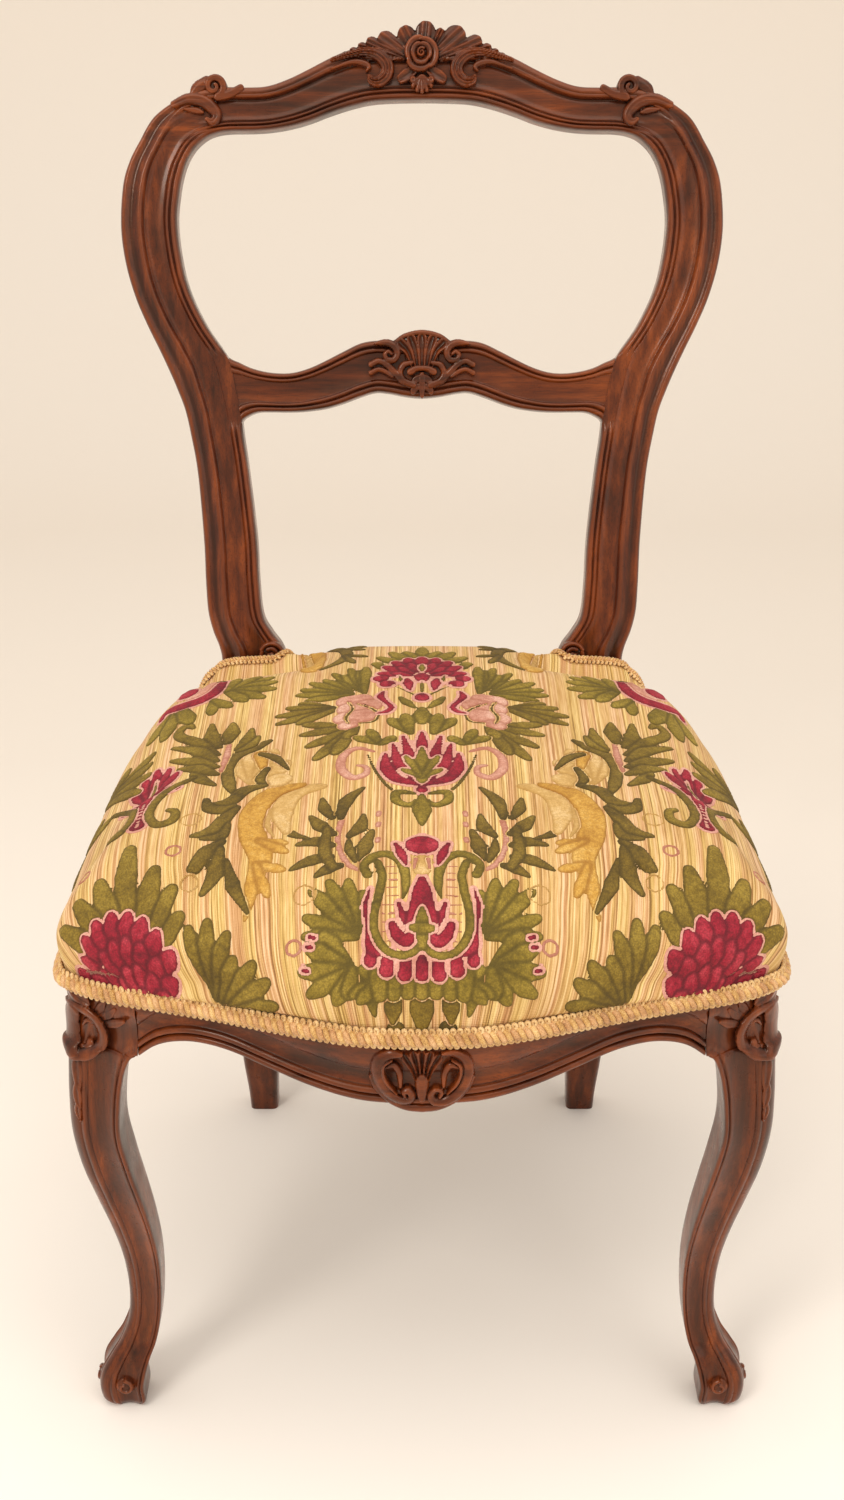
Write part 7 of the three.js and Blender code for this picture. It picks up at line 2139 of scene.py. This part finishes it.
class ChairBraid(bpy.types.Operator):
    """Lays looped braid along the show wood and round the posts"""
    bl_idname = "chair.braid"
    bl_label = "Braid"

    def execute(self, context):
        sizes = context.scene.chair_braid
        gold = braid_yarn("braid_gold", "#996a2c", "#d0a05a", "#e8c486")
        rose = braid_yarn("braid_rose", "#99683c", "#cc9860", "#e4ba86")
        cream = braid_yarn("braid_cream", "#a97a40", "#d9ae70", "#efd09a")
        tree = braid_tree()
        values = {
            "Loop pitch": sizes.loop_pitch, "Loop reach": sizes.loop_reach, "Cord radius": sizes.cord_radius,
            "Yarn radius": sizes.yarn_radius, "Cord pitch": 0.0086,
            "Loop yarn": cream, "Edge yarn": rose, "Cord yarn": gold,
        }
        middle = COVER_BASE + BRAID_WIDTH / 2 + 0.2
        end = plan_at(lambda p: p[1] > SEAT_CORNER_Y - 1.5, 0.5, 0.95, 1.5)
        points, across, outward = wall_path(np.linspace(-end, end, 900), BRAID_OUT, middle)
        front = along_path("braid_front", tree, points, values, across, outward)
        settle(front, "braid", "gimp_front")
        start = plan_at(lambda p: p[0] < NOTCH_INNER - 2.5, 0.7, 1.0, BRAID_OUT)
        right, left = np.linspace(start, 1, 60), -np.linspace(1, start, 60)[1:]
        points, across, outward = wall_path(np.concatenate([right, left]), BRAID_OUT, middle)
        back = along_path("braid_back", tree, points, values, across, outward)
        settle(back, "braid", "gimp_back")
        narrow = {
            **values, "Loop pitch": sizes.loop_pitch * 0.8, "Loop reach": sizes.loop_reach * 0.55,
            "Cord radius": sizes.cord_radius * 0.5, "Yarn radius": sizes.yarn_radius * 0.75, "Loop width": 0.0013,
            "Cord pitch": 0.0044,
        }
        pad = bpy.data.objects["seat_pad"]
        surface = BVHTree.FromObject(pad, bpy.context.evaluated_depsgraph_get())
        for side, is_left in SIDES:
            points, across, outward = self.collar(surface, -1 if is_left else 1)
            piece = along_path("braid_post_" + side, tree, points, narrow, across, outward)
            settle(piece, "braid", "gimp_post_" + side)
        return {"FINISHED"}

    def collar(self, surface, sign):
        """The braid's line on the pad, round the inner side and the front of a post."""
        inner, front = NOTCH_INNER_ABOVE - COLLAR_GAP, post_front(440.0) - NOTCH_GAP - COLLAR_GAP
        plan = [(inner, y) for y in np.linspace(222, front + COLLAR_TURN, 16)]
        plan += [(inner + COLLAR_TURN * (1 - math.cos(a)), front + COLLAR_TURN * (1 - math.sin(a)))
                 for a in np.linspace(0.2, 1.4, 6)]
        plan += [(x, front) for x in np.linspace(113, 188, 28)]
        points, across, outward = [], [], []
        post = np.array([140.0, 214.0])
        for x, y in plan:
            origin = Vector(placed([(sign * x, y, 600.0)])[0])
            hit, normal, _, _ = surface.ray_cast(origin, Vector((0, 0, -1)))
            if hit is None or normal.z < 0.05:
                continue
            here = np.array(hit) * 1000 + [0, MIDDLE_BACK, 0]
            if here[2] < 412:
                continue
            n = np.array(normal)
            away = np.array([sign * (x - post[0]), y - post[1], 0.0])
            away -= n * away.dot(n)
            points.append(here + n * COLLAR_PROUD)
            across.append(away / np.linalg.norm(away))
            outward.append(n)
        points = np.array(points)
        run = np.gradient(points, axis=0)
        run /= np.linalg.norm(run, axis=1)[:, None]
        outward = np.array(outward)
        side = np.cross(run, outward)
        side *= np.sign((side * np.array(across)).sum(axis=1))[:, None]
        return points, side, outward


# The stage, in metres: half the paper's width, where it starts and ends, its height and the bend where it rises.
PAPER_HALF, PAPER_NEAR, PAPER_FAR, PAPER_TOP, PAPER_BEND = 4.0, -4.0, 3.1, 4.0, 1.0
LIT_POINT = (0.0, 0.0, 0.45)
# Each lamp: name, place, size, power and colour.
LAMPS = [
    ("key_light", (-1.5, -2.2, 2.6), 1.0, 34.0, (1.0, 0.98, 0.95)),
    ("fill_light", (1.9, -1.8, 1.7), 2.2, 12.0, (1.0, 0.985, 0.97)),
    ("top_light", (0.0, -0.7, 3.0), 2.4, 29.0, (1.0, 0.985, 0.96)),
]


def paper_profile():
    """The paper's line from the front along the floor and up behind the chair."""
    turn = [(PAPER_FAR - PAPER_BEND + PAPER_BEND * math.sin(a), PAPER_BEND * (1 - math.cos(a)))
            for a in np.linspace(0, math.pi / 2, 12)]
    return [(PAPER_NEAR, 0.0)] + turn + [(PAPER_FAR, PAPER_TOP)]


class ChairStage(bpy.types.Operator):
    """Sets the floor, the backdrop, the lights and the camera"""
    bl_idname = "chair.stage"
    bl_label = "Stage"

    def execute(self, context):
        settings = context.scene.chair_stage
        material, tree, shader = new_material("studio_paper")
        speck = noise(tree, object_mapping(tree), 3.0, 2.0)
        place = add_node(tree, "ShaderNodeSeparateXYZ", {"Vector": object_mapping(tree)})
        # Painted shade: the paper goes from the floor colour to the darker backdrop colour as it runs back and rises
        # behind the chair, in place of the light falling off there.
        rear = span(tree, place.outputs["Y"], -0.3, 1.0)
        paper = mix_colour(tree, rear, linear(settings.floor), linear(settings.backdrop))
        colour = mix_colour(tree, span(tree, speck, 0.3, 0.7, 0.0, 0.05), paper, linear("#efdcc4"))
        feed(tree, shader.inputs, {"Base Color": colour, "Roughness": 0.9, "Specular IOR Level": 0.1})
        points = [(x, y, z) for y, z in paper_profile() for x in (-PAPER_HALF, PAPER_HALF)]
        faces = [(i, i + 1, i + 3, i + 2) for i in range(0, len(points) - 2, 2)]
        mesh = bpy.data.meshes.new("studio_floor")
        mesh.from_pydata(points, [], faces)
        mesh.shade_smooth()
        mesh.materials.append(material)
        linked("studio_floor", mesh)
        for name, place, size, power, tint in LAMPS:
            light = bpy.data.lights.new(name, "AREA")
            light.shape, light.size, light.energy, light.color = "SQUARE", size, power, tint
            lamp = linked(name, light)
            lamp.location = place
            lamp.rotation_euler = (Vector(LIT_POINT) - Vector(place)).to_track_quat("-Z", "Y").to_euler()
        world = bpy.data.worlds.new("studio_air")
        world.use_nodes = True
        air = world.node_tree.nodes["Background"]
        air.inputs["Color"].default_value = linear("#fffaf5")
        air.inputs["Strength"].default_value = 0.86
        context.scene.world = world
        lens = bpy.data.cameras.new("studio_camera")
        lens.sensor_fit, lens.sensor_height, lens.clip_start = "VERTICAL", 36.0, 0.05
        lens.lens, lens.shift_y = settings.lens, settings.shift
        camera = linked("studio_camera", lens)
        camera.location = settings.camera_place
        camera.rotation_euler = (settings.camera_tilt, 0, 0)
        context.scene.camera = camera
        context.scene.view_settings.view_transform = "Standard"
        return {"FINISHED"}


SETTINGS = {"chair_wood": ChairWoodSettings, "chair_seat": ChairSeatSettings, "chair_braid": ChairBraidSettings,
            "chair_stage": ChairStageSettings}
OPERATORS = [ChairPosts, ChairCrest, ChairMidRail, ChairFrontLegs, ChairSeatRails, ChairBlocks, ChairWebbing,
             ChairSprings, ChairCover, ChairPile, ChairBraid, ChairStage]


class ChairPanel(bpy.types.Panel):
    """Lists the chair's settings and the steps that make it"""
    bl_idname = "VIEW3D_PT_chair"
    bl_label = "Balloon back chair"
    bl_space_type = "VIEW_3D"
    bl_region_type = "UI"
    bl_category = "Chair"

    def draw(self, context):
        """Shows each group of settings in a box, and a button for each step."""
        for group in SETTINGS:
            settings = getattr(context.scene, group)
            box = self.layout.box()
            for name in settings.__annotations__:
                box.prop(settings, name)
        for operator in OPERATORS:
            self.layout.operator(operator.bl_idname)


def register():
    """Makes the settings, the operators and the panel known to Blender."""
    for settings in SETTINGS.values():
        bpy.utils.register_class(settings)
    for name, settings in SETTINGS.items():
        setattr(bpy.types.Scene, name, PointerProperty(type=settings))
    for operator in OPERATORS:
        bpy.utils.register_class(operator)
    bpy.utils.register_class(ChairPanel)


def unregister():
    """Takes them out again."""
    bpy.utils.unregister_class(ChairPanel)
    for operator in reversed(OPERATORS):
        bpy.utils.unregister_class(operator)
    for name in SETTINGS:
        delattr(bpy.types.Scene, name)
    for settings in SETTINGS.values():
        bpy.utils.unregister_class(settings)


def main():
    """Makes the chair and its stage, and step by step."""
    register()
    for operator in OPERATORS:
        group, name = operator.bl_idname.split(".")
        getattr(getattr(bpy.ops, group), name)()


if __name__ == "__main__":
    main()
